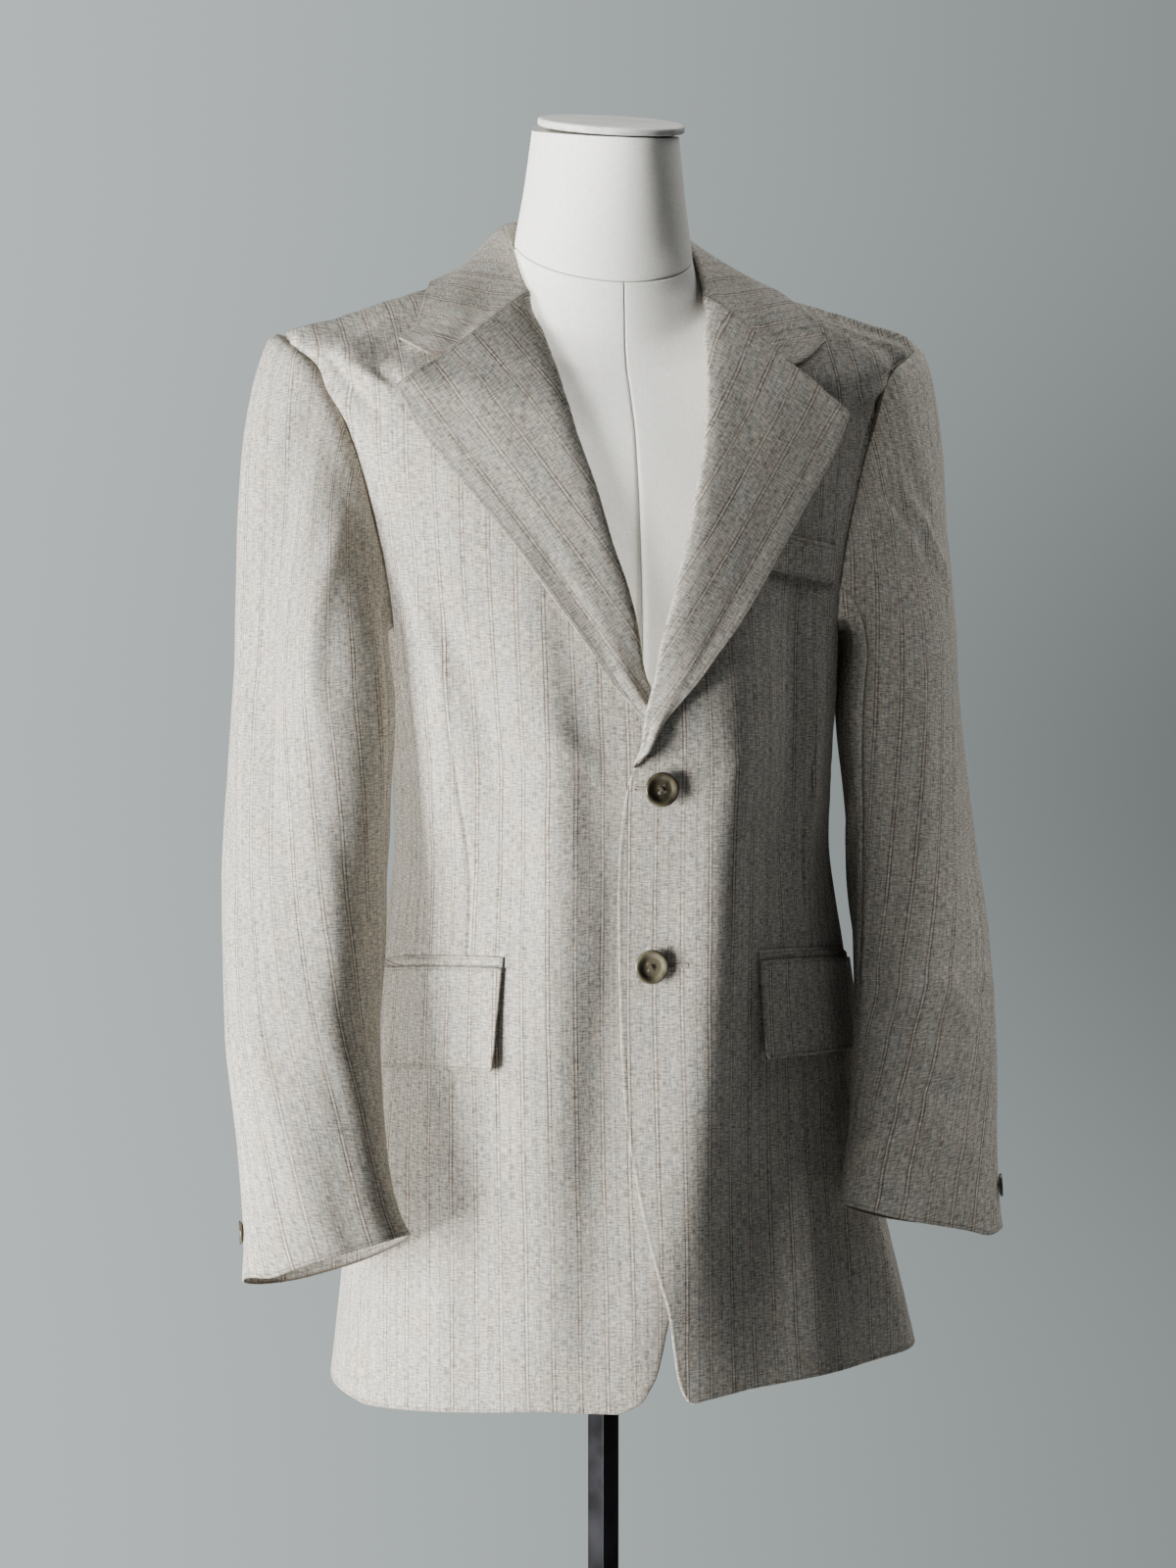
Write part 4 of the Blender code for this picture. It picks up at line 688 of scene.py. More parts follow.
def body_rows(top: float = NECK, spacing: float = 0.0052) -> Array:
    """Levels of a panel's fine rows, closer together at its hem and its top.

    Args:
        top: Level of the last row.
        spacing: Metres between rows.

    Returns:
        Rising levels.
    """
    near = np.array((0.0, 0.0010, 0.0025, 0.0045, 0.0070, 0.0100, 0.0140, 0.0185))
    skirt = np.arange(0.0185 + spacing, LEVELS[6, 6] - LEVELS[0, 6] - 0.002, spacing)
    below = levels_of(np.concatenate([near, skirt]))
    arm = np.linspace(UNDERARM, TIP, 42)
    shoulder = np.linspace(TIP, NECK, 30)[1:]
    rows = np.concatenate([below, arm, shoulder])
    rows = rows[rows < top - 0.03]
    return np.concatenate([rows, [top - 0.024, top]])


# ---------------------------------------------------------------- finishes
class Wiring:
    """Adds nodes to one tree and joins them."""

    def __init__(self, tree: bpy.types.NodeTree) -> None:
        """Start on a tree.

        Args:
            tree: A material's, world's or group's node tree.
        """
        self.tree = tree

    def add(self, kind: str, **values: object) -> bpy.types.Node:
        """Add a node, with settings as its attributes and inputs by number as in_0, in_1."""
        node = self.tree.nodes.new(kind)
        for key, value in values.items():
            if not key.startswith("in_"):
                setattr(node, key, value)
        for key, value in values.items():
            if key.startswith("in_"):
                self.join(value, node.inputs[int(key[3:])])
        return node

    def join(self, value: object, socket: Socket) -> None:
        """Link a socket, or set a plain value."""
        if isinstance(value, Socket):
            self.tree.links.new(value, socket)
        else:
            socket.default_value = value

    def math(self, operation: str, *inputs: object) -> Socket:
        """The result of a Math node."""
        node = self.add("ShaderNodeMath", operation=operation)
        for i, value in enumerate(inputs):
            self.join(value, node.inputs[i])
        return node.outputs[0]

    def band(self, value: object, low: float, high: float, start: float = 0.0,
             end: float = 1.0) -> Socket:
        """A value eased from start to end while the input goes from low to high."""
        node = self.add("ShaderNodeMapRange", interpolation_type="SMOOTHSTEP", clamp=True)
        for i, item in enumerate((value, low, high, start, end)):
            self.join(item, node.inputs[i])
        return node.outputs[0]

    def noise(self, vector: Socket, scale: float, detail: float = 2.0,
              rough: float = 0.5) -> Socket:
        """The value of a noise texture."""
        node = self.add("ShaderNodeTexNoise", noise_dimensions="3D")
        self.fill(node, {"Vector": vector, "Scale": scale, "Detail": detail, "Roughness": rough})
        return node.outputs[0]

    def fill(self, node: bpy.types.Node, values: dict[str, object]) -> None:
        """Join values to a node's inputs by name."""
        for name, value in values.items():
            self.join(value, node.inputs[name])

    def fibres(self, across: object, along: object, by: tuple[float, float],
               detail: float = 1.0) -> Socket:
        """Noise on the cloth, with so many waves in a metre across it and along it."""
        place = self.add("ShaderNodeCombineXYZ", in_0=self.math("MULTIPLY", across, by[0]),
                         in_1=self.math("MULTIPLY", along, by[1]))
        return self.noise(place.outputs[0], 1.0, detail)

    def cut_place(self) -> tuple[Socket, Socket]:
        """Metres across the piece's cut and along it."""
        cut = self.add("ShaderNodeUVMap", uv_map="cut")
        place = self.add("ShaderNodeSeparateXYZ", in_0=cut.outputs[0])
        return place.outputs[0], place.outputs[1]

    def bump(self, height: object, strength: float, distance: float) -> Socket:
        """Normals of a height."""
        node = self.add("ShaderNodeBump")
        self.fill(node, {"Strength": strength, "Distance": distance, "Height": height})
        return node.outputs[0]

    def streaks(self, scale: tuple[float, float, float], high: float) -> Socket:
        """Streaks of wood or horn, from the object's own place."""
        place = self.add("ShaderNodeTexCoord").outputs["Object"]
        grain = self.add("ShaderNodeMapping", vector_type="POINT", in_0=place)
        self.fill(grain, {"Scale": scale})
        return self.band(self.noise(grain.outputs[0], 1.0, 3.0, 0.6), 0.35, high)

    def blend(self, amount: object, first: object, second: object,
              kind: str = "MIX") -> Socket:
        """A mix of two colours."""
        node = self.add("ShaderNodeMix", data_type="RGBA", blend_type=kind)
        self.join(amount, node.inputs["Factor"])
        for value, name in ((first, 6), (second, 7)):
            if isinstance(value, tuple):
                value = (*value, 1.0) if len(value) == 3 else value
            self.join(value, node.inputs[name])
        return node.outputs[2]


def new_group(name: str, inputs: dict[str, float], outputs: tuple[str, ...]) -> tuple[Wiring, dict, dict]:
    """Begin a shader node group of plain numbers.

    Args:
        name: The group's name.
        inputs: Its input names and default values.
        outputs: Its output names.

    Returns:
        The wiring of its tree, the sockets that bring the inputs, and those that take the outputs.
    """
    tree = bpy.data.node_groups.new(name, "ShaderNodeTree")
    for key, value in inputs.items():
        socket = tree.interface.new_socket(name=key, in_out="INPUT", socket_type="NodeSocketFloat")
        socket.default_value = value
    for key in outputs:
        tree.interface.new_socket(name=key, in_out="OUTPUT", socket_type="NodeSocketFloat")
    source, drain = tree.nodes.new("NodeGroupInput"), tree.nodes.new("NodeGroupOutput")
    return (Wiring(tree), {key: source.outputs[key] for key in inputs},
            {key: drain.inputs[key] for key in outputs})


def yarn_group() -> bpy.types.NodeTree:
    """Uneven spun yarn: tone, warmth and height from the places across and along the cloth."""
    wiring, given, wanted = new_group(
        "slubby_yarn", {"Across": 0.0, "Along": 0.0, "Pitch": 0.00055}, ("Tone", "Warmth", "Height"))
    across, along = given["Across"], given["Along"]
    warp, weft, warp_long, cloud, heather = (
        wiring.fibres(across, along, waves, detail) for waves, detail in (
            ((900.0, 170.0), 1.5), ((190.0, 1150.0), 1.5), ((560.0, 8.0), 1.0), ((60.0, 50.0), 2.0),
            ((700.0, 640.0), 1.0)))
    tone = wiring.band(warp, 0.3, 0.7, -0.46, 0.46)
    for noise, margin, swing in ((weft, 0.3, 0.72), (warp_long, 0.25, 0.24), (cloud, 0.3, 0.12),
                                 (heather, 0.3, 0.25)):
        tone = wiring.math("ADD", tone, wiring.band(noise, margin, 1.0 - margin, -swing, swing))
    wiring.join(tone, wanted["Tone"])
    warmth = wiring.fibres(across, along, (260.0, 26.0), 2.0)
    wiring.join(wiring.band(warmth, 0.35, 0.65), wanted["Warmth"])
    rows, picks = (
        wiring.math("SINE", wiring.math("DIVIDE", wiring.math("MULTIPLY", way, 2 * math.pi), given["Pitch"]))
        for way in (across, along))
    weave = wiring.math("MULTIPLY", wiring.math("MULTIPLY", rows, picks), 0.35)
    slubs = wiring.math("ADD", wiring.math("MULTIPLY", warp, 0.6), wiring.math("MULTIPLY", weft, 0.6))
    wiring.join(wiring.math("ADD", weave, slubs), wanted["Height"])
    return wiring.tree


def stripe_group() -> bpy.types.NodeTree:
    """The repeat of fine stripes: a tan pair with a pale thread between, and a blue-grey one."""
    wiring, given, wanted = new_group(
        "fine_stripes", {"Across": 0.0, "Along": 0.0, "Repeat": 0.0172, "Spread": 0.00112},
        ("Tan", "Pale", "Blue"))
    across, along, repeat = given["Across"], given["Along"], given["Repeat"]
    wander = wiring.fibres(across, along, (3.0, 14.0))
    shifted = wiring.math("ADD", across, wiring.band(wander, 0.2, 0.8, -0.0004, 0.0004))
    share = wiring.math("FRACT", wiring.math("DIVIDE", wiring.math("ADD", shifted, 5.0), repeat))
    from_middle = wiring.math("ABSOLUTE", wiring.math("SUBTRACT", share, 0.5))
    from_middle = wiring.math("MULTIPLY", from_middle, repeat)
    from_edge = wiring.math("SUBTRACT", wiring.math("MULTIPLY", repeat, 0.5), from_middle)
    broken = wiring.band(wiring.fibres(across, along, (160.0, 60.0), 2.0), 0.30, 0.58, 0.60, 1.0)
    long_break = wiring.band(wiring.fibres(across, along, (90.0, 7.0)), 0.32, 0.60, 0.60, 1.0)
    strength = wiring.math("MULTIPLY", broken, long_break)
    beside = wiring.math("ABSOLUTE", wiring.math("SUBTRACT", from_middle, given["Spread"]))
    for name, distance, near, far in (("Tan", beside, 0.00022, 0.00062),
                                      ("Pale", from_middle, 0.00025, 0.00075),
                                      ("Blue", from_edge, 0.00022, 0.00062)):
        line = wiring.band(distance, near, far, 1.0, 0.0)
        wiring.join(wiring.math("MULTIPLY", line, strength), wanted[name])
    return wiring.tree


class GroupShelf:
    """The shader groups, each built when it is first used."""

    makers = {"slubby_yarn": yarn_group, "fine_stripes": stripe_group}

    @classmethod
    def get(cls, name: str) -> bpy.types.NodeTree:
        """The group of that name."""
        return bpy.data.node_groups.get(name) or cls.makers[name]()


def principled(name: str) -> tuple[bpy.types.Material, Wiring, bpy.types.Node]:
    """A new material with its wiring and its shader."""
    made = bpy.data.materials.new(name)
    made.use_nodes = True
    return made, Wiring(made.node_tree), made.node_tree.nodes["Principled BSDF"]


@dataclass(frozen=True)
class SuitingFinish:
    """Dry slubbed linen and wool cloth, matt, with fine stripes along its grain, and painted shade along its
    edges and seams.
    """

    name: str = "striped_suiting"
    # tone of the cloth; below 1 it is a darker copy, painted shade
    level: float = 1.0
    # how far the very edge and its wall are darkened: painted shade
    lip: float = 0.30
    cool: Colour = (0.560, 0.540, 0.476)
    warm: Colour = (0.578, 0.524, 0.440)
    tan: Colour = (0.235, 0.180, 0.130)
    blue: Colour = (0.210, 0.225, 0.245)
    pale: Colour = (0.780, 0.750, 0.690)
    # the colour of all the painted shade at edges and seams
    edge: Colour = (0.120, 0.095, 0.070)
    contrast: float = 0.47
    stripe_strength: float = 1.0
    roughness: float = 0.92
    sheen: float = 0.12
    stitch: float = 0.0020      # painted shade line beside a free edge, metres in from the border
    stitch_band: tuple[float, ...] = (0.0002, 0.0009, 0.36, 0.0)    # from, to, and how dark at each
    # bands of painted shade: on the very edge, on the inner face under a free edge, and beside sewn seams
    lip_band: tuple[float, float] = (0.0002, 0.0010)
    under_band: tuple[float, ...] = (-0.0016, -0.0002, 0.85, 0.0)
    seam_band: tuple[float, ...] = (0.0004, 0.0014, 0.85, 0.0)

    def build(self) -> bpy.types.Material:
        """Make the material."""
        made, wiring, shader = principled(self.name)
        across, along = wiring.cut_place()
        yarn, lines = (
            wiring.add("ShaderNodeGroup", node_tree=GroupShelf.get(name), in_0=across, in_1=along)
            for name in ("slubby_yarn", "fine_stripes"))
        colour = wiring.blend(yarn.outputs["Warmth"], self.cool, self.warm)
        tone = wiring.math("MULTIPLY_ADD", yarn.outputs["Tone"], self.contrast * self.level, self.level)
        grey = wiring.add("ShaderNodeCombineXYZ", in_0=tone, in_1=tone, in_2=tone).outputs[0]
        for mask, shade, strength in (("Pale", self.pale, 0.6), ("Tan", self.tan, 0.95),
                                      ("Blue", self.blue, 0.45)):
            amount = wiring.math("MULTIPLY", lines.outputs[mask], self.stripe_strength * strength)
            colour = wiring.blend(amount, colour, shade)
        colour = wiring.blend(1.0, colour, grey, "MULTIPLY")
        rim, seam = (wiring.add("ShaderNodeAttribute", attribute_name=label).outputs["Fac"]
                     for label in ("rim", "seam"))
        # painted shade: a dark line just in from each free edge
        beside = wiring.math("ABSOLUTE", wiring.math("SUBTRACT", rim, self.stitch))
        colour = wiring.blend(wiring.band(beside, *self.stitch_band), colour, self.edge)
        # painted shade on the very edge and its wall
        colour = wiring.blend(wiring.band(rim, *self.lip_band, self.lip, 0.0), colour, self.edge)
        # painted shade on the inner face under a free edge and on both sides of each sewn seam
        under = wiring.math("MAXIMUM", wiring.band(rim, *self.under_band),
                            wiring.band(seam, *self.seam_band))
        colour = wiring.blend(under, colour, self.edge)
        wiring.fill(shader, {
            "Base Color": colour, "Normal": wiring.bump(yarn.outputs["Height"], 0.55, 0.0005),
            "Roughness": self.roughness, "Sheen Weight": self.sheen, "Sheen Roughness": 0.5,
            "Specular IOR Level": 0.25})
        return made


@dataclass(frozen=True)
class LinenFinish:
    """Plain off-white linen drawn over the form."""

    name: str = "form_linen"
    light: Colour = (0.900, 0.890, 0.835)
    dark: Colour = (0.740, 0.720, 0.650)
    stitched: Colour = (0.200, 0.185, 0.150)
    pitch: float = 0.0016

    def build(self) -> bpy.types.Material:
        """Make the material."""
        made, wiring, shader = principled(self.name)
        across, down = wiring.cut_place()
        yarn = wiring.add("ShaderNodeGroup", node_tree=GroupShelf.get("slubby_yarn"),
                          in_0=across, in_1=down, in_2=self.pitch)
        amount = wiring.math("MULTIPLY_ADD", yarn.outputs["Tone"], -0.30, 0.30)
        plain = wiring.blend(amount, self.light, self.dark)
        beside = wiring.math("ABSOLUTE", across)
        front = wiring.math("MULTIPLY", wiring.band(beside, 0.0002, 0.0008, 1.0, 0.0),
                            wiring.band(down, -0.0010, 0.0, 1.0, 0.0))
        neck = wiring.band(wiring.math("ABSOLUTE", down), 0.0002, 0.0008, 1.0, 0.0)
        seam = wiring.math("MULTIPLY", wiring.math("MAXIMUM", front, neck), 0.75)
        wiring.fill(shader, {
            "Base Color": wiring.blend(seam, plain, self.stitched),
            "Normal": wiring.bump(yarn.outputs["Height"], 0.6, 0.0009), "Roughness": 0.95,
            "Sheen Weight": 0.08})
        return made


@dataclass(frozen=True)
class WoodFinish:
    """Pale limed wood of the neck cap."""

    name: str = "limed_wood"
    light: Colour = (0.640, 0.640, 0.620)
    dark: Colour = (0.470, 0.460, 0.430)

    def build(self) -> bpy.types.Material:
        """Make the material."""
        made, wiring, shader = principled(self.name)
        streaks = wiring.streaks((18.0, 240.0, 240.0), 0.7)
        wiring.fill(shader, {"Base Color": wiring.blend(streaks, self.light, self.dark),
                             "Roughness": 0.55})
        return made


@dataclass(frozen=True)
class HornFinish:
    """Polished horn, olive brown with cloudy streaks."""

    name: str
    dark: Colour
    light: Colour
    roughness: float = 0.30

    def build(self) -> bpy.types.Material:
        """Make the material."""
        made, wiring, shader = principled(self.name)
        streaks = wiring.streaks((160.0, 160.0, 60.0), 0.65)
        wiring.fill(shader, {
            "Base Color": wiring.blend(streaks, self.dark, self.light), "Roughness": self.roughness,
            "Coat Weight": 0.5, "Coat Roughness": 0.15})
        return made


@dataclass(frozen=True)
class PlainFinish:
    """One colour with a faint unevenness: thread, blackened steel or a floor."""

    name: str
    colour: Colour
    roughness: float
    metallic: float = 0.0
    unevenness: float = 0.10
    grain: float = 60.0

    def build(self) -> bpy.types.Material:
        """Make the material."""
        made, wiring, shader = principled(self.name)
        place = wiring.add("ShaderNodeTexCoord").outputs["Object"]
        cloud = wiring.noise(place, self.grain, 3.0)
        darker = tuple(value * (1.0 - self.unevenness) for value in self.colour)
        lighter = tuple(min(1.0, value * (1.0 + self.unevenness)) for value in self.colour)
        wiring.fill(shader, {
            "Base Color": wiring.blend(wiring.band(cloud, 0.3, 0.7), darker, lighter),
            "Roughness": wiring.band(cloud, 0.3, 0.7, max(0.05, self.roughness - 0.06),
                                     min(1.0, self.roughness + 0.06)),
            "Metallic": self.metallic})
        return made


class Closet:
    """The finishes of the part, each made once."""

    finishes = {
        "cloth": SuitingFinish(),
        # the lapels and collar: the same cloth 14 % darker, painted shade, with more painted shade on the
        # edge
        "facing": SuitingFinish("striped_facing", level=0.86, lip=0.45),
        "linen": LinenFinish(),
        "wood": WoodFinish(),
        "horn_dark": HornFinish("dark_horn", (0.036, 0.032, 0.020), (0.119, 0.101, 0.061)),
        "horn_light": HornFinish("olive_horn", (0.086, 0.076, 0.043), (0.216, 0.191, 0.122)),
        "thread": PlainFinish("brown_thread", (0.150, 0.115, 0.075), 0.85, unevenness=0.2, grain=900.0),
        "silk": PlainFinish("buttonhole_silk", (0.450, 0.400, 0.330), 0.60, unevenness=0.15, grain=900.0),
        "slit": PlainFinish("slit_shade", (0.030, 0.025, 0.020), 0.95),
        "steel": PlainFinish("blackened_steel", (0.022, 0.022, 0.025), 0.34, 0.75, 0.25, 30.0),
        "floor": PlainFinish("pale_floor", (0.62, 0.62, 0.61), 0.90, unevenness=0.03, grain=3.0),
    }
    made: dict[str, bpy.types.Material] = {}

    @classmethod
    def get(cls, name: str) -> bpy.types.Material:
        """The material of that finish."""
        if name not in cls.made:
            cls.made[name] = cls.finishes[name].build()
        return cls.made[name]


# ---------------------------------------------------------------- cloth shells
@dataclass
class Skin:
    """The outer face of a piece of cloth: a grid of points, where they face, and its cut."""

    points: Array
    normals: Array
    cut: Array
    free: tuple[bool, bool, bool, bool] = (True, True, True, True)

    def from_border(self, free: bool) -> Array:
        """Metres from the nearest border that is free, or from the nearest sewn one.

        Args:
            free: Which of the two.

        Returns:
            Distances, at most 20 mm.
        """
        nearest = np.full(self.points.shape[:2], RIM_REACH)
        for axis in ((0, 1) if free else (0,)):
            run = running_length(self.points, axis)
            back = np.take(run, [-1], axis=axis) - run
            for is_free, distance in zip(self.free[2 * axis:], (run, back)):
                nearest = np.minimum(nearest, distance) if is_free == free else nearest
        return nearest


def link_new(name: str, data: bpy.types.ID) -> Piece:
    """A new object in the scene."""
    made = bpy.data.objects.new(name, data)
    bpy.context.scene.collection.objects.link(made)
    return made


def mesh_of(name: str, made: bmesh.types.BMesh) -> bpy.types.Mesh:
    """The mesh of a bmesh, which is freed."""
    mesh = bpy.data.meshes.new(name)
    made.to_mesh(mesh)
    made.free()
    return mesh


def applied(scratch: Piece) -> bpy.types.Mesh:
    """The mesh that an object's modifiers make."""
    bpy.context.view_layer.update()
    depsgraph = bpy.context.evaluated_depsgraph_get()
    return bpy.data.meshes.new_from_object(scratch.evaluated_get(depsgraph))


def put_in_scene(name: str, mesh: bpy.types.Mesh, finish: str) -> Piece:
    """Link a mesh as a piece with its finish."""
    mesh.materials.clear()
    mesh.materials.append(Closet.get(finish))
    return link_new(name, mesh)


def declare(piece: Piece, node: str = "") -> None:
    """Say what body a piece rides, which solid it replaces, if any."""
    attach(piece, "root")
    if node:
        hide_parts(node)


def draw_in(lines: Array, gap: float) -> None:
    """Move the first and the last line of points towards the next ones."""
    for end, beside in ((0, 1), (-1, -2)):
        lines[end] += unit(lines[beside] - lines[end]) * gap


def cloth_shell(name: str, skin: Skin, thick: float, middle: bool = False,
                finish: str = "cloth") -> Piece:
    """A closed wall of cloth with soft edges.

    Args:
        name: The piece's name.
        skin: Its outer face, or its middle.
        thick: The wall in metres.
        middle: Whether the skin's points run through the middle of the wall.
        finish: The finish of its cloth.

    Returns:
        The piece, with its cut as the UV map "cut".
    """
    rows, columns = skin.points.shape[:2]
    outer = skin.points + skin.normals * (thick / 2 if middle else 0.0)
    inner = outer - skin.normals * thick
    rim = [(0, j) for j in range(columns)] + [(i, columns - 1) for i in range(1, rows)]
    rim += [(rows - 1, j) for j in range(columns - 2, -1, -1)] + [(i, 0) for i in range(rows - 2, 0, -1)]
    at = np.array(rim)
    edge = (outer[at[:, 0], at[:, 1]] + inner[at[:, 0], at[:, 1]]) / 2
    run = np.roll(edge, -1, 0) - np.roll(edge, 1, 0)
    away = unit(np.cross(run, skin.normals[at[:, 0], at[:, 1]]))
    inwards = skin.points[np.clip(at[:, 0], 1, rows - 2), np.clip(at[:, 1], 1, columns - 2)]
    away *= np.where(np.sum(away * (edge - inwards), -1, keepdims=True) < 0, -1.0, 1.0)
    edge = edge + away * min(thick * SOFT_RIM[0], SOFT_RIM[1])
    count = rows * columns
    index = np.arange(count).reshape(rows, columns)
    quads = np.stack([index[:-1, :-1], index[:-1, 1:], index[1:, 1:], index[1:, :-1]], -1).reshape(-1, 4)
    spread = np.cross(outer[:-1, 1:] - outer[:-1, :-1], outer[1:, :-1] - outer[:-1, :-1])
    if np.sum(spread * skin.normals[:-1, :-1]) < 0:
        quads = quads[:, ::-1]
    flipped = quads[:, ::-1] + count
    ring = 2 * count + np.arange(len(rim))
    border = at[:, 0] * columns + at[:, 1]
    turn = np.roll(np.arange(len(rim)), -1)
    sides = np.concatenate([
        np.stack([border, ring, ring[turn], border[turn]], -1),
        np.stack([ring, border + count, border[turn] + count, ring[turn]], -1)])
    mid = (outer[at[0, 0], at[0, 1]] + outer[at[1, 0], at[1, 1]]) / 2
    face = np.cross(edge[1] - outer[at[0, 0], at[0, 1]], edge[0] - outer[at[1, 0], at[1, 1]])
    if np.sum(face * (mid - inwards[0])) < 0 < np.sum(away[0] * (mid - inwards[0])):
        sides = sides[:, ::-1]
    points = np.concatenate([outer.reshape(-1, 3), inner.reshape(-1, 3), edge])
    mesh = bpy.data.meshes.new(name)
    mesh.from_pydata(points.tolist(), [], np.concatenate([quads, flipped, sides]).tolist())
    cut = skin.cut.reshape(-1, 2)
    places = np.concatenate([cut, cut, cut[border]])
    corners = np.empty(len(mesh.loops), dtype=int)
    mesh.loops.foreach_get("vertex_index", corners)
    layer = mesh.uv_layers.new(name="cut")
    layer.data.foreach_set("uv", places[corners].ravel())
    # distances from the borders, which the cloth's material reads to paint shade at edges and seams
    for label, free in (("rim", True), ("seam", False)):
        nearest = skin.from_border(free).ravel()
        below = nearest - (RIM_UNDER if free else 0.0)
        distances = mesh.attributes.new(label, "FLOAT", "POINT")
        distances.data.foreach_set("value", np.concatenate([nearest, below, nearest[border]]))
    made = bmesh.new()
    made.from_mesh(mesh)
    bmesh.ops.recalc_face_normals(made, faces=made.faces)
    made.to_mesh(mesh)
    made.free()
    mesh.shade_smooth()
    return put_in_scene(name, mesh, finish)


def solid_mesh(name: str, made: bmesh.types.BMesh, finish: str, sharp: float = 40.0) -> Piece:
    """Turn a bmesh into a piece with its normals outwards and its sharp edges kept."""
    bmesh.ops.recalc_face_normals(made, faces=made.faces)
    mesh = mesh_of(name, made)
    mesh.shade_smooth()
    mesh.set_sharp_from_angle(angle=math.radians(sharp))
    return put_in_scene(name, mesh, finish)


def declare_cloth(piece: Piece, node: str) -> None:
    """Say what body a cloth piece rides and which solid it replaces.

    Args:
        piece: The shell.
        node: The solid that it replaces.
    """
    declare(piece, node)


def spaced_columns(width: Array, spacing: float, lines: tuple[Array, ...] = ()) -> Array:
    """Shares across a panel, close together at both edges and about the given lines.

    Args:
        width: Metres across, at each row.
        spacing: Metres between columns at the widest row.
        lines: For each fine line, its share across at each row, in rising order.

    Returns:
        A row of shares for each row of the panel.
    """
    near = np.array((0.0, 0.0010, 0.0025, 0.0045))
    about = np.array((-0.0045, -0.0022, -0.0010, 0.0, 0.0010, 0.0022, 0.0045))
    width = width[:, None]
    parts = [near / width]
    stops = [(line[:, None] + about / width) for line in lines] + [1.0 - near[::-1] / width]
    for stop in stops:
        low, high = parts[-1][:, -1:], stop[:, :1]
        count = max(2, int(round(float(((high - low) * width).max()) / spacing)))
        parts.append(low + (high - low) * np.linspace(0.0, 1.0, count + 1)[1:-1])
        parts.append(stop)
    return np.concatenate(parts, axis=1)


@dataclass(frozen=True)
class PanelEdges:
    """How the borders of a panel end."""

    inner: Border = Border.SEAM
    outer: Border = Border.SEAM
    top: Border = Border.SEAM


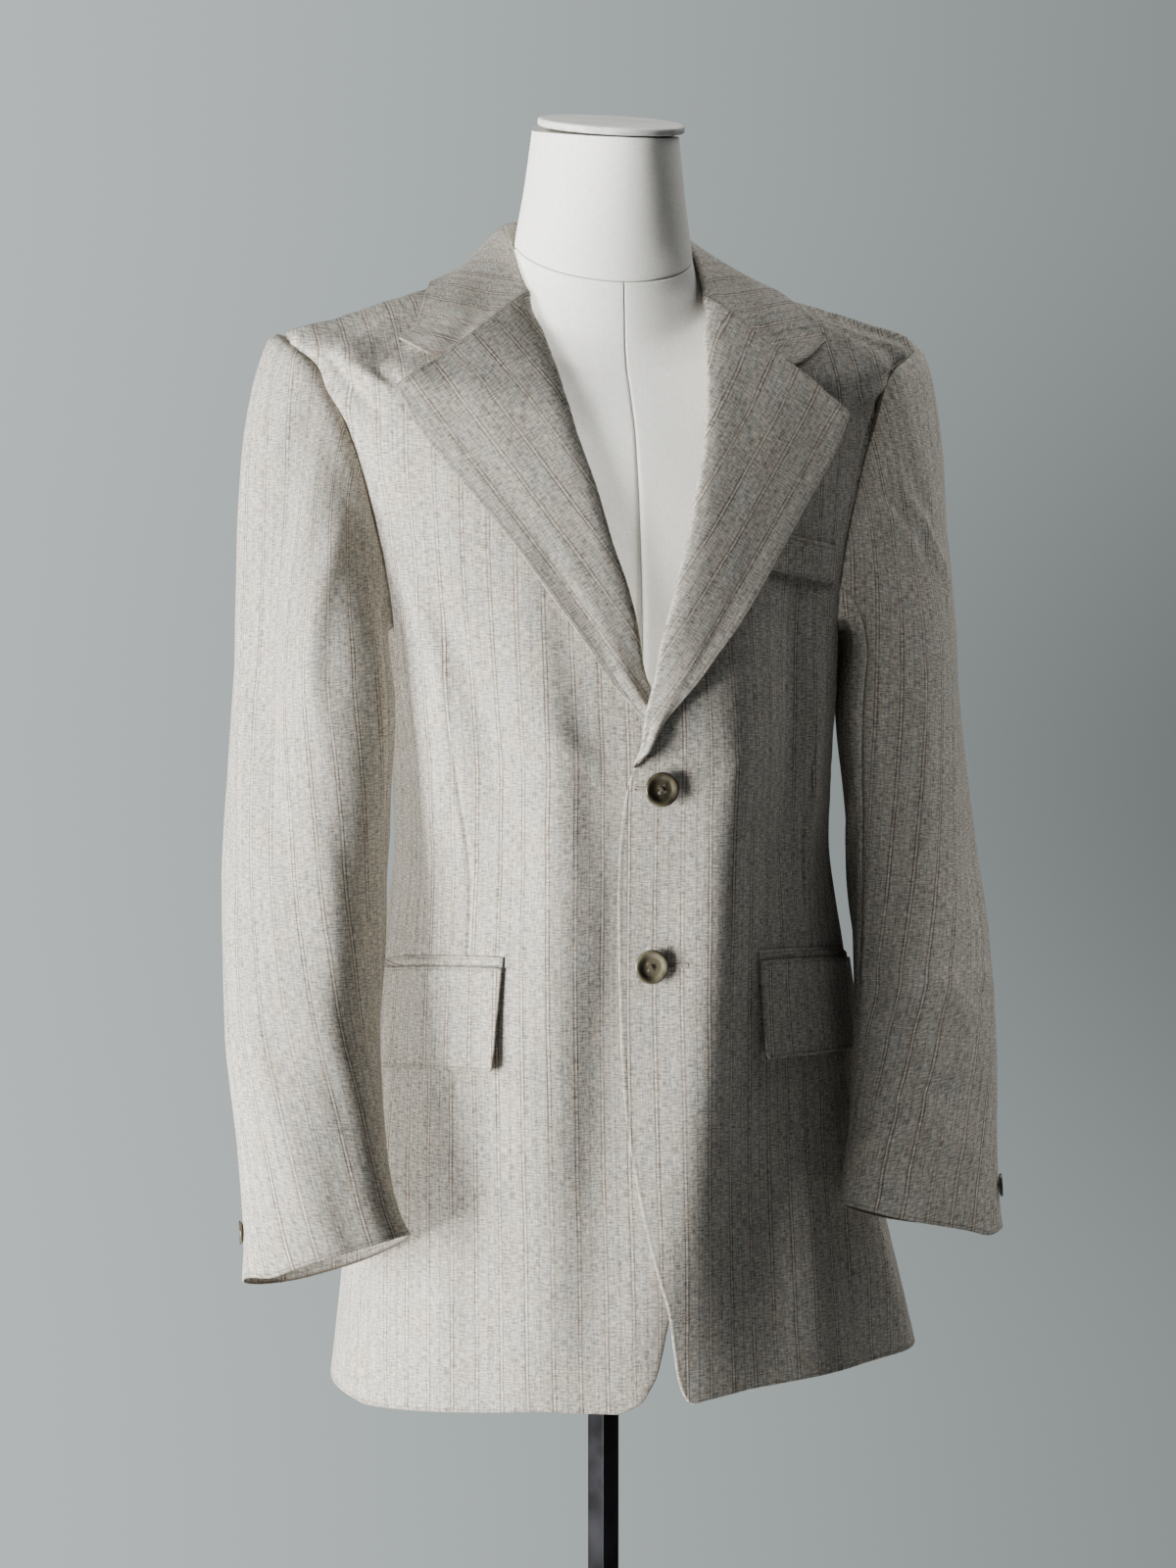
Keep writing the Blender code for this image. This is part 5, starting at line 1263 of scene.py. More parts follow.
# ---------------------------------------------------------------- body panels
@dataclass
class BodyPanels:
    """The two fronts, the two side bodies and the two backs."""

    spacing: float = 0.0052
    seam_depth: float = 0.0009
    seam_width: float = 0.0016
    pucker: float = 0.00045
    darts: dict[Side, tuple[tuple[float, float], ...]] = field(default_factory=lambda: {
        # level and angle, from the pocket up
        Side.RIGHT: ((0.0, -47.6), (2.0, -49.0), (3.28, -53.1), (4.6, -55.5), (6.0, -55.0), (8.0, -52.0),
                     (12.0, -58.0)),
        Side.LEFT: ((0.0, 44.0), (2.0, 46.0), (3.28, 48.0), (4.6, 50.0), (6.0, 48.0), (8.0, 50.0),
                    (12.0, 62.0)),
    })
    dart_span: tuple = ((1.85, 2.0), (3.6, 5.2))       # levels where it starts and where it ends
    dart_groove: tuple[float, float] = (0.0013, 0.0011)         # depth, half width
    dart_bead: tuple[float, float, float] = (0.0007, 0.0034, 0.0028)    # height, place, half width

    def width(self, rows: Array, inner: Array, outer: Array) -> Array:
        """Metres across a panel at each row."""
        share = np.linspace(0.0, 1.0, 50)
        line = BODY.point(inner[:, None] + (outer - inner)[:, None] * share, rows[:, None])
        return running_length(line, 1)[:, -1]

    def seams(self, distances: tuple[Array, ...], along: Array, edges: PanelEdges) -> Array:
        """How the seams sink and pucker the cloth beside them."""
        height = np.zeros(along.shape)
        wave = Ripple(31, (0.02, 0.0065))
        for distance, border in zip(distances, (edges.inner, edges.outer, edges.top)):
            if border is Border.SEAM:
                height -= self.seam_depth * bell(0.0, self.seam_width, distance)
                height += self.pucker * wave.at(distance * 0.3, along) * bell(0.004, 0.006, distance)
        return height

    def dart_share(self, side: Side, rows: Array, inner: Array, outer: Array) -> Array:
        """Where the front dart runs, as a share across the front."""
        table = np.array(self.darts[side])
        share = (smooth(table[:, 0], table[:, 1], rows) - inner) / (outer - inner)
        return np.clip(share, 0.10, 0.90)

    def panel(self, name: str, rows: Array, inner: Array, outer: Array, edges: PanelEdges,
              lift: object = None, dart: Array | None = None) -> tuple[Piece, Skin]:
        """Cut one panel from the body surface.

        Args:
            name: The piece's name.
            rows: Levels of its rows, one number or one row of numbers each.
            inner: Angle of its inner edge at each row.
            outer: Angle of its outer edge at each row.
            edges: How its borders end.
            lift: Height of the panel off the body surface, from angle and level.
            dart: Share across at which a dart is sewn, at each row.

        Returns:
            The piece and its outer face.
        """
        base = rows if rows.ndim == 1 else rows[:, 0]
        width = self.width(base, inner, outer)
        share = spaced_columns(width, self.spacing, () if dart is None else (dart,))
        angle = inner[:, None] + (outer - inner)[:, None] * share
        level = np.broadcast_to(base[:, None], angle.shape)
        if rows.ndim == 2:
            dip = (base - rows[:, rows.shape[1] // 2])[:, None]
            level = base[:, None] - dip * np.sin(math.pi * share)
        height = np.zeros(angle.shape) if lift is None else lift(angle, level)
        plain = BODY.point(angle, level)
        along = running_length(plain, 0)
        distances = (share * width[:, None], (1 - share) * width[:, None], along[-1] - along)
        height = height + self.seams(distances, plain[..., 2] + plain[..., 0] * 0.4, edges)
        if dart is not None:
            strength = between(*self.dart_span, base)
            distance = (share - dart[:, None]) * width[:, None]
            depth, half_width = self.dart_groove
            height -= depth * strength[:, None] * bell(0.0, half_width, distance)
            bead, *where = self.dart_bead
            height += bead * strength[:, None] * bell(*where, np.abs(distance))
        points = BODY.raised(angle, level, height)
        draw_in(points.swapaxes(0, 1), SEAM / 2)
        normal = BODY.normal(angle, level)
        facing = grid_normals(points)
        facing *= np.sign(np.sum(facing * normal, -1, keepdims=True))
        skin = Skin(points, unit(facing + normal), BODY.cut(angle, level, "back" in name),
                    (True, False, edges.inner is Border.EDGE, False))
        return cloth_shell(name, skin, CLOTH), skin

    def front(self, side: Side) -> None:
        """One front, from its closing edge and roll line to the side seam and armhole."""
        rows = body_rows()
        inner = inner_edge(side, rows)
        outer = side.value * outer_edge(rows, side.word)
        lift = closure_lift if side is Side.LEFT else None
        dart = self.dart_share(side, rows, inner, outer)
        piece, skin = self.panel(f"cloth_front_{side.word}", rows, inner, outer,
                                 PanelEdges(Border.EDGE), lift, dart)
        declare_cloth(piece, f"front_{side.word}")

    def back(self, side: Side) -> None:
        """One back, from the centre seam to the side seam, armhole and shoulder."""
        rows = body_rows()
        centre = np.full(len(rows), 180.0 * side.value)
        outer = side.value * outer_edge(rows, "back")
        piece, skin = self.panel(f"cloth_back_{side.word}", rows, outer, centre,
                                 PanelEdges())
        declare_cloth(piece, f"back_{side.word}")

    def side_body(self, side: Side) -> None:
        """The narrow side body under the arm."""
        base = body_rows(UNDERARM)
        dip = ARMHOLE_DIP * step_up(4.5, UNDERARM, base)
        rows = np.stack([base, base - dip, base], 1)
        inner = side.value * outer_edge(base, side.word)
        outer = side.value * outer_edge(base, "back")
        piece, skin = self.panel(f"cloth_side_{side.word}", rows, inner, outer,
                                 PanelEdges())
        declare_cloth(piece, f"side_{side.word}")

    def build(self) -> None:
        """Build all six."""
        for side in Side:
            self.front(side)
            self.side_body(side)
            self.back(side)


# ---------------------------------------------------------------- sleeves
@dataclass
class Sleeves:
    """The two sleeves, each a top sleeve over the arm and an under sleeve beneath it."""

    finer: int = 6
    rings: int = 78
    cap_rings: int = 16
    cap_start: tuple[float, ...] = (0.0, 0.008, 0.020, 0.036)
    cap_span: tuple[float, float] = (0.06, 0.96)
    # the cloth's heading off the armhole: less outwards below, fanned out, less so above, lifted below
    lean: tuple[float, float, float, float] = (0.35, 0.42, 0.10, 1.1)
    launch: tuple[float, float] = (0.46, 0.030)     # share of the reach above, metres under the arm
    land: tuple[float, float] = (0.90, 0.060)
    coarse_rings: int = 14      # the first gives the way that the head runs into
    hem_zone: float = 0.070     # above the hem, where the hem's wave is felt
    head_roll: tuple[float, float, float] = (0.0022, 0.0085, 0.0060)    # height, place, half width
    head_span: tuple = ((0.02, 0.10), (0.46, 0.56))     # shares round where the head is rolled
    inner_span: tuple = ((0.56, 0.66), (0.94, 1.0))     # shares round that face the body
    inner_calm: float = 0.35    # share of the creases lost there
    seam_groove: tuple[float, float] = (0.0007, 0.0024)     # depth, half width
    metres_round: float = 0.34
    hem_wave: dict[Side, tuple[float, float, float, float]] = field(default_factory=lambda: {
        # even drop, outer to inner end, front to back, and both ends against the middle
        Side.RIGHT: (-0.0052, 0.0062, -0.0007, 0.0025), Side.LEFT: (-0.0012, 0.0015, -0.0010, 0.0027)})
    hem_dip: float = 0.0035
    under_arm: float = 0.0060
    under_arm_at: tuple[float, float] = (1.180, 0.055)      # height, half width
    ripples: tuple[float, float] = (0.0006, 0.00020)        # broad, fine
    cuff_stitch: tuple[float, float, float] = (0.0004, 0.032, 0.0020)   # depth, above the hem, half width

    def armhole(self, side: Side) -> tuple[Array, Array]:
        """The armhole from the hind seam over the shoulder, down the front and back under."""
        k = self.finer
        steps = len(ARMHOLE_LEVELS) - 1
        arm = np.interp(np.linspace(0, steps, steps * k + 1), np.arange(steps + 1), ARMHOLE_LEVELS)
        hind, fore = outer_edge(arm, "back"), outer_edge(arm, side.word)
        below = np.linspace(0.0, 1.0, 4 * k + 1)
        under_angle = fore[0] + (hind[0] - fore[0]) * below
        under_level = UNDERARM - ARMHOLE_DIP * np.sin(math.pi * below)
        start = HIND_SEAM_ROW * k
        angle = np.concatenate([hind[start:], fore[-2::-1], under_angle[1:], hind[1:start]])
        level = np.concatenate([arm[start:], arm[-2::-1], under_level[1:], arm[1:start]])
        return angle * side.value, level

    def section(self, table: Array, depth: float) -> list[float]:
        """A sleeve's sizes at a depth below its first ring, read between the rows of its table."""
        knots = table[0][2] - table[:, 2]
        return [float(smooth(knots, column, depth)) for column in table.T]

    def ring(self, row: list[float], share: Array, sign: int) -> Array:
        """One ring of a sleeve at shares 0 to 1 round it, from the hind seam over the top."""
        x, y, z, long, out, inner, turn, rise_front, rise_inner = row
        phase = 2 * math.pi * share
        along, across = np.cos(phase), np.sin(phase)
        power = 2.0 / 2.3
        reach = long * np.sign(along) * np.abs(along) ** power
        sideways = np.where(across > 0, out, inner) * np.sign(across) * np.abs(across) ** power
        turn = math.radians(turn)
        dx = reach * math.sin(turn) + sideways * math.cos(turn)
        dy = reach * math.cos(turn) - sideways * math.sin(turn)
        dz = -dy * rise_front - dx * rise_inner
        return np.stack([sign * (x + dx), y + dy, z + dz], -1)

    def tube(self, side: Side) -> tuple[Array, Array, int, Array]:
        """The whole sleeve before its creases.

        Args:
            side: Which sleeve.

        Returns:
            Points, a row for each ring; the armhole's normals; the front seam's column;
            and the share round of each column.
        """
        sign = side.value
        angle, level = self.armhole(side)
        count = len(angle)
        steps = (len(ARMHOLE_LEVELS) - 1) * self.finer
        front_seam = steps - HIND_SEAM_ROW * self.finer + steps - FRONT_SEAM_ROW * self.finer
        split = 1.0 - UNDER_SPAN / 360.0
        share = np.interp(np.arange(count), (0, front_seam, count), (0.0, split, 1.0))
        start = BODY.point(angle, level)
        normal = BODY.normal(angle, level)
        edge = unit(np.roll(start, -1, 0) - np.roll(start, 1, 0))
        centre = start.mean(0)
        into_hole = unit(np.cross(edge, normal))
        into_hole *= np.sign(np.sum(into_hole * (centre - start), -1, keepdims=True))
        spread = unit((start - centre) * (0, 1, 1))
        low = np.clip(-spread[:, 2], 0.0, 1.0)[:, None]
        high = np.clip(spread[:, 2], 0.0, 1.0)[:, None]
        outward = np.array([sign, 0.0, 0.0])
        less_out, fan, less_fan, lift = self.lean
        heading = unit(outward * (1.0 - less_out * low) + spread * (fan - less_fan * high)
                       + (0, 0, 1.0) * low * lift)
        table = SLEEVES[side]
        knots = table[0][2] - table[:, 2]
        depths = np.concatenate([np.linspace(0.0, knots[-1] - 0.006, self.rings),
                                 knots[-1] - np.array((0.0025, 0.0010, 0.0))])
        rings = np.array([self.ring(self.section(table, d), share, sign) for d in depths])
        turn = 2 * math.pi * share
        even, along, across, twice = self.hem_wave[side]
        hem = even + along * np.cos(turn) + across * np.sin(turn) + twice * np.cos(2 * turn)
        hem -= self.hem_dip * bell(0.14, 0.05, share)
        rings[..., 2] += hem * step_up(knots[-1] - self.hem_zone, knots[-1], depths)[:, None]
        coarse = self.ring(self.section(table, knots[-1] / self.coarse_rings), share, sign)
        down = unit(coarse - rings[0])
        reach = np.linalg.norm(rings[0] - start, axis=-1, keepdims=True)
        launch, land = (way * (above * reach * (1 - low) + below * low)
                        for way, (above, below) in ((heading, self.launch), (down, self.land)))
        start = start + into_hole * SEAM
        cap = []
        for s in np.concatenate([self.cap_start, np.linspace(*self.cap_span, self.cap_rings)]):
            cap.append(start * (1 + 2 * s) * (1 - s) ** 2 + launch * s * (1 - s) ** 2
                       + rings[0] * s * s * (3 - 2 * s) + land * s * s * (s - 1))
        return np.concatenate([cap, rings]), normal, front_seam, share

    def relief(self, side: Side, share: Array, down: Array, length: Array) -> Array:
        """Creases, ripples, the rolled head and the hem of a sleeve.

        Args:
            side: Which sleeve.
            share: Places round it.
            down: Metres down from the armhole.
            length: The whole length of each column.

        Returns:
            Heights in metres.
        """
        height = crease_height(SLEEVE_CREASES[side], share, down, self.metres_round)
        broad, fine = Ripple(21 + side.value, (0.040, 0.060)), Ripple(25 + side.value, (0.013, 0.018))
        for swing, ripple in zip(self.ripples, (broad, fine)):
            height += swing * ripple.at(share * self.metres_round, down)
        roll, *where = self.head_roll
        height += roll * between(*self.head_span, share) * bell(*where, down)
        height *= 1.0 - self.inner_calm * between(*self.inner_span, share)
        depth, *where = self.cuff_stitch
        return height - depth * bell(*where, length - down)

    def sewn(self, side: Side) -> tuple[Array, Array, Array, int]:
        """The finished tube: points, normals, cut and the front seam's column.

        Args:
            side: Which sleeve.

        Returns:
            Points, their normals, the cut's places, all with the first column again at the
            end, and the front seam's column.
        """
        grid, first_normal, seam, share = self.tube(side)
        closed = np.concatenate([grid[:, -1:], grid, grid[:, :2]], 1)
        normal = grid_normals(closed)[:, 1:-2]
        normal *= np.sign(np.sum(normal[-3] * (grid[-3] - grid[-3].mean(0)), -1).mean())
        normal[0] = first_normal
        normal[1] = unit(normal[1] + 0.5 * first_normal)
        down = running_length(grid, 0)
        height = self.relief(side, share[None, :], down, down[-1:])
        toward_body = np.clip(-side.value * normal[..., 0], 0.0, 1.0) ** 2
        height += self.under_arm * toward_body * bell(*self.under_arm_at, grid[..., 2])
        height[0] = 0.0
        grid = grid + normal * height[..., None]
        grid, normal, down = (np.concatenate([a, a[:, :1]], 1) for a in (grid, normal, down))
        cut = self.grain(grid, normal, down, seam)
        return grid, normal, cut, seam

    def grain(self, grid: Array, normal: Array, down: Array, seam: int) -> Array:
        """Where the cloth's grain puts the points: along the rings of the arm, upright in the head.

        Args:
            grid: Points, a row for each ring.
            normal: Where they face.
            down: Metres down from the armhole.
            seam: The front seam's column.

        Returns:
            Metres across the stripes and along them.
        """
        first = self.cap_rings + 6
        around = running_length(grid, 1)
        middle = np.where(np.arange(grid.shape[1]) <= seam, seam // 2, (seam + grid.shape[1] - 1) // 2)
        across = around - around[:, middle]
        along = down[first] - down
        step = grid[:first] - grid[1:first + 1]
        facing = unit(normal[:first] + normal[1:first + 1])
        level = np.cross((0.0, 0.0, 1.0), facing)
        level = unit(level - facing * np.sum(level * facing, -1, keepdims=True))
        ring = np.gradient(grid[first], axis=0)
        level *= np.sign(np.sum(ring * level[-1]))
        upright = np.cross(facing, level)
        upright *= np.sign(upright[..., 2:].sum())
        for row in range(first - 1, -1, -1):
            across[row] = across[row + 1] + np.sum(step[row] * level[row], -1)
            along[row] = along[row + 1] + np.sum(step[row] * upright[row], -1)
        return np.stack([across, along], -1)

    def sink_seams(self, skin: Skin) -> None:
        """Draw the two long seams of a sleeve piece in a little."""
        width = running_length(skin.points, 1)
        depth, half_width = self.seam_groove
        for distance in (width, width[:, -1:] - width):
            skin.points -= skin.normals * (depth * bell(0.0, half_width, distance))[..., None]

    def piece(self, side: Side, name: str, first: int, last: int, parts: tuple) -> None:
        """One of the two pieces of a sleeve."""
        grid, normal, cut = (a[:, first:last + 1].copy() for a in parts)
        if name == "under":
            cut[:, 0] = cut[:, 1] - (cut[:, 2] - cut[:, 1])
        draw_in(grid.swapaxes(0, 1), SEAM / 2)
        skin = Skin(grid, normal, cut, (False, True, False, False))
        self.sink_seams(skin)
        made = cloth_shell(f"cloth_sleeve_{name}_{side.word}", skin, CLOTH)
        declare_cloth(made, f"sleeve_{name}_{side.word}")

    def build(self) -> None:
        """Build both sleeves."""
        for side in Side:
            grid, normal, cut, seam = self.sewn(side)
            self.piece(side, "top", 0, seam, (grid, normal, cut))
            self.piece(side, "under", seam, grid.shape[1] - 1, (grid, normal, cut))


# ---------------------------------------------------------------- lapels and collar
def along_table(table: tuple, share: Array) -> Array:
    """Points at even shares along an outline given as height and distance rows."""
    points = np.array(table)
    reach = np.concatenate([[0.0], np.cumsum(np.linalg.norm(np.diff(points, axis=0), axis=1))])
    return np.stack([smooth(reach / reach[-1], points[:, k], share) for k in (0, 1)], -1)


def rolled_over(foot: Array, over: Array, out: Array, press: Array) -> list:
    """Middle of the cloth where it turns over the roll line, from the front's rim up."""
    return [foot + over * beyond * press + out * above * (press if above > 0 else 1.0)
            for beyond, above in LAPEL_FOLD]


@dataclass
class Lapels:
    """The two notched lapels, folded back along the roll line onto the fronts."""

    spacing: float = 0.0048
    relief: float = 0.55
    edge_curl: dict[Side, float] = field(default_factory=lambda: {Side.RIGHT: 0.0016, Side.LEFT: 0.0010})
    stand_off: float = 0.0036
    stand_off_span: tuple = ((0.70, 1.02), (0.65, 0.92))    # starts across, ends down the lapel
    notch_reach: float = 0.45       # share down over which the notch shapes the edge
    foot_press: tuple[float, float, float] = (0.45, 0.70, 0.92)     # how much flatter, over what share
    fall: float = 1.3               # how fast the lapel comes down beside its roll
    curl_at: tuple[float, float] = (0.62, 0.22)     # share across, half width
    curl_start: float = 0.2         # share down that it takes to begin
    cut_margin: float = 0.0050      # of the cut, beyond the free edge's chord

    def columns(self) -> Array:
        """Shares across the lapel, finer by the roll and the free edge."""
        return np.concatenate([(0.0, 0.03, 0.06, 0.10, 0.13), np.linspace(0.16, 0.68, 12),
                               np.linspace(0.68, 0.955, 8)[1:], (0.972, 0.985, 0.993, 1.0)])

    def rows(self, side: Side) -> Array:
        """Levels of the rows from the gorge down to the lapel's foot."""
        rows = body_rows()
        foot = float(levels_of(LAPEL_FOOT[side] - LEVELS[0, 6]))
        rows = rows[rows > foot]
        return np.concatenate([rows[::-1], [foot]])

    def middle(self, side: Side) -> tuple[Array, Array]:
        """The lapel's middle surface and its cut.

        Args:
            side: Which lapel.

        Returns:
            Points in rows from the gorge down, columns from the roll outwards; and their cut.
        """
        roll_level = self.rows(side)
        roll_angle = inner_edge(side, roll_level)
        roll = BODY.point(roll_angle, roll_level)[:, (2, 0)]
        share = (roll[0, 0] - roll[:, 0]) / (roll[0, 0] - roll[-1, 0])
        edge = along_table(LAPEL_EDGE[side], share)
        notch = np.array(LAPEL_NOTCH[side])
        columns = self.columns()
        plan = roll[:, None] + (edge - roll)[:, None] * columns[:, None]
        straight = roll[0] + (edge[0] - roll[0]) * NOTCH_SHARE
        tent = np.interp(columns, (0.0, NOTCH_SHARE, 1.0), (0.0, 1.0, 0.0))
        fade = 1.0 - step_up(0.0, self.notch_reach, share)
        plan += (notch - straight) * tent[:, None] * fade[:, None, None]
        angle, level = BODY.place(plan[..., 1], plan[..., 0])
        angle[:, 0], level[:, 0] = roll_angle, roll_level
        base = closure_lift(angle, level) if side is Side.LEFT else np.zeros(angle.shape)
        pressed, *where = self.foot_press
        press = 1.0 - pressed * step_up(*where, share)[:, None]
        beyond = running_length(BODY.point(angle, level), 1)
        low, rise, run = LAPEL_ROLL
        rolled = (low + rise * (1.0 - np.exp(-beyond / run))) * press
        height = base + LAPEL_LIE + (rolled - LAPEL_LIE) * (1.0 - columns) ** self.fall
        curled = bell(*self.curl_at, columns) * step_up(0.0, self.curl_start, share)[:, None]
        start, end = self.stand_off_span
        lifted = step_up(*start, columns) * (1.0 - step_up(*end, share))[:, None]
        height = height + self.edge_curl[side] * curled + self.stand_off * lifted
        blade = BODY.raised(angle, level, height, 1.0 - (1.0 - self.relief) * step_up(0.0, 0.4, columns))
        roll_point = BODY.raised(angle[:, 0], level[:, 0], base[:, 0])
        out = BODY.normal(angle[:, 0], level[:, 0])
        over = unit(blade[:, 5] - blade[:, 0])
        over = unit(over - out * np.sum(over * out, -1, keepdims=True))
        fold = np.stack(rolled_over(roll_point, over, out, press), 1)
        knots = np.concatenate([fold, blade[:, :1], blade[:, 2:3], blade[:, 4:5]], 1).transpose(1, 0, 2)
        bend = smooth_rows(knots, np.linspace(0.0, 5.0, 21)).transpose(1, 0, 2)
        middle = np.concatenate([bend, blade[:, 3:]], 1)
        middle[0] += unit(middle[1] - middle[0]) * SEAM
        return middle, self.cut(plan, edge, bend)

    def cut(self, plan: Array, edge: Array, bend: Array) -> Array:
        """The lapel laid flat, its grain along the free edge.

        Args:
            plan: Height and distance of its points beyond the fold.
            edge: The same of the free edge.
            bend: Points of the cloth that turns over the roll line.

        Returns:
            Metres across the grain and along it.
        """
        chord = unit((edge[-1] - edge[0])[None, :])[0]
        signed = (plan[..., 0] - edge[0, 0]) * chord[1] - (plan[..., 1] - edge[0, 1]) * chord[0]
        signed *= np.sign(signed[len(signed) // 2, 0])
        along = (plan[..., 0] - edge[0, 0]) * chord[0] + (plan[..., 1] - edge[0, 1]) * chord[1]
        flat = np.stack([signed + self.cut_margin, along], -1)
        reach = running_length(bend, 1)
        first = flat[:, :1].repeat(bend.shape[1], 1)
        first[..., 0] += reach[:, 16:17] - reach
        return np.concatenate([first, flat[:, 3:]], 1)

    def build(self) -> None:
        """Build both lapels."""
        for side in Side:
            middle, cut = self.middle(side)
            normal = grid_normals(middle)
            normal *= np.sign(np.sum(normal[:, -6] * (0, -1, 0.3), -1).mean())
            skin = Skin(middle, normal, cut, (True, False, False, True))
            piece = cloth_shell(f"cloth_lapel_{side.word}", skin, LAPEL_CLOTH, True, "facing")
            declare_cloth(piece, f"lapel_{side.word}")


@dataclass
class Collar:
    """Stand and fall in one band, up from the neckline, over the crest and down on the back."""

    finer_rows: int = 7
    finer_columns: int = 5
    crest_inside: tuple[float, float] = (-0.0006, -0.0040)      # out from the crest, up from it
    crest_outside: tuple[float, float] = (0.0048, -0.0026)
    end_lies: tuple[float, ...] = (0.0016, 0.0004, 0.0)         # more than the fall's, at the front end

    def end(self, side: Side) -> list[Array]:
        """The collar's front end along the gorge seam and the notch."""
        gorge, notch, tip = (np.array(row) for row in
                             (ROLL_LINE[side][-1], LAPEL_NOTCH[side], COLLAR_TIP[side]))
        spots = [BODY.place(row[1], row[0]) for row in (gorge, (gorge + notch) / 2, notch, tip)]
        foot = BODY.raised(*spots[0], 0.0)
        out = BODY.normal(*spots[0])
        lying = [BODY.raised(*spot, lie, 0.8) for spot, lie in
                 zip(spots[1:], (COLLAR_LIE + more for more in self.end_lies))]
        over = unit(lying[1] - foot)
        over = unit(over - out * np.sum(over * out))
        fold = rolled_over(foot, over, out, 1.0)
        top = foot + over * 0.0040 + out * (LAPEL_ROLL[0] + 0.4 * LAPEL_ROLL[1])
        return [*fold, top, *lying]

    def section(self, angle: float, crest: Array, edge_angle: float, edge_level: float) -> list:
        """Points across the collar from the neckline over the crest to the fall's edge."""
        rise = unit(BODY.point(angle, NECK) - BODY.point(angle, NECK - 0.1))
        foot = BODY.raised(angle, NECK, -CLOTH / 2) + rise * (SEAM + 0.0001)
        radial = unit(BODY.point(angle, NECK) * (1, 1, 0))
        bend = min(1.0, float(np.linalg.norm(crest - foot)) / 0.0110)
        inside = foot + (crest - foot) * 0.55 - radial * 0.0010
        out, up = self.crest_inside
        turn_in = crest + radial * out + (0.0, 0.0, up * bend)
        out, up = self.crest_outside
        turn_out = crest + radial * out + (0.0, 0.0, up)
        edge = BODY.raised(edge_angle, edge_level, COLLAR_LIE, 0.9)
        low_angle = angle + (edge_angle - angle) * 0.66
        belly = BODY.raised(low_angle, NECK + (edge_level - NECK) * 0.60, COLLAR_LIE + 0.0012, 0.8)
        high = turn_out + (belly - turn_out) * 0.5 - (0.0, 0.0, 0.0004)
        return [foot, inside, turn_in, crest, turn_out, high, belly, edge]

    def build(self) -> None:
        """Build the collar."""
        halves = []
        for side in Side:
            sign = side.value
            half = [self.end(side)]
            for at in COLLAR_STATIONS if sign < 0 else COLLAR_STATIONS[:-1]:
                x, y, z, edge_angle, edge_level = (
                    float(smooth(COLLAR[:, 0], COLLAR[:, k], at)) for k in range(1, 6))
                crest = np.array((sign * x, y, z))
                half.append(self.section(sign * at, crest, sign * edge_angle, edge_level))
            halves.append(half)
        rough = np.array(halves[0] + halves[1][::-1])
        last = len(rough) - 1
        rows = np.concatenate([(0.0, 0.03, 0.08), np.linspace(0.14, last - 0.14, last * self.finer_rows),
                               (last - 0.08, last - 0.03, last)])
        columns = np.concatenate([np.linspace(0.0, 6.9, 7 * self.finer_columns), (6.94, 6.975, 7.0)])
        middle = smooth_rows(smooth_rows(rough, rows).transpose(1, 0, 2), columns).transpose(1, 0, 2)
        draw_in(middle, SEAM)
        normal = grid_normals(middle)
        normal *= np.sign(normal[len(middle) // 2, -4, 2])
        length = running_length(middle, 0)
        width = running_length(middle, 1)
        cut = np.stack([length - length[len(length) // 2], width], -1)
        skin = Skin(middle, normal, cut, (True, True, False, True))
        piece = cloth_shell("cloth_collar", skin, LAPEL_CLOTH, True, "facing")
        declare_cloth(piece, "collar")


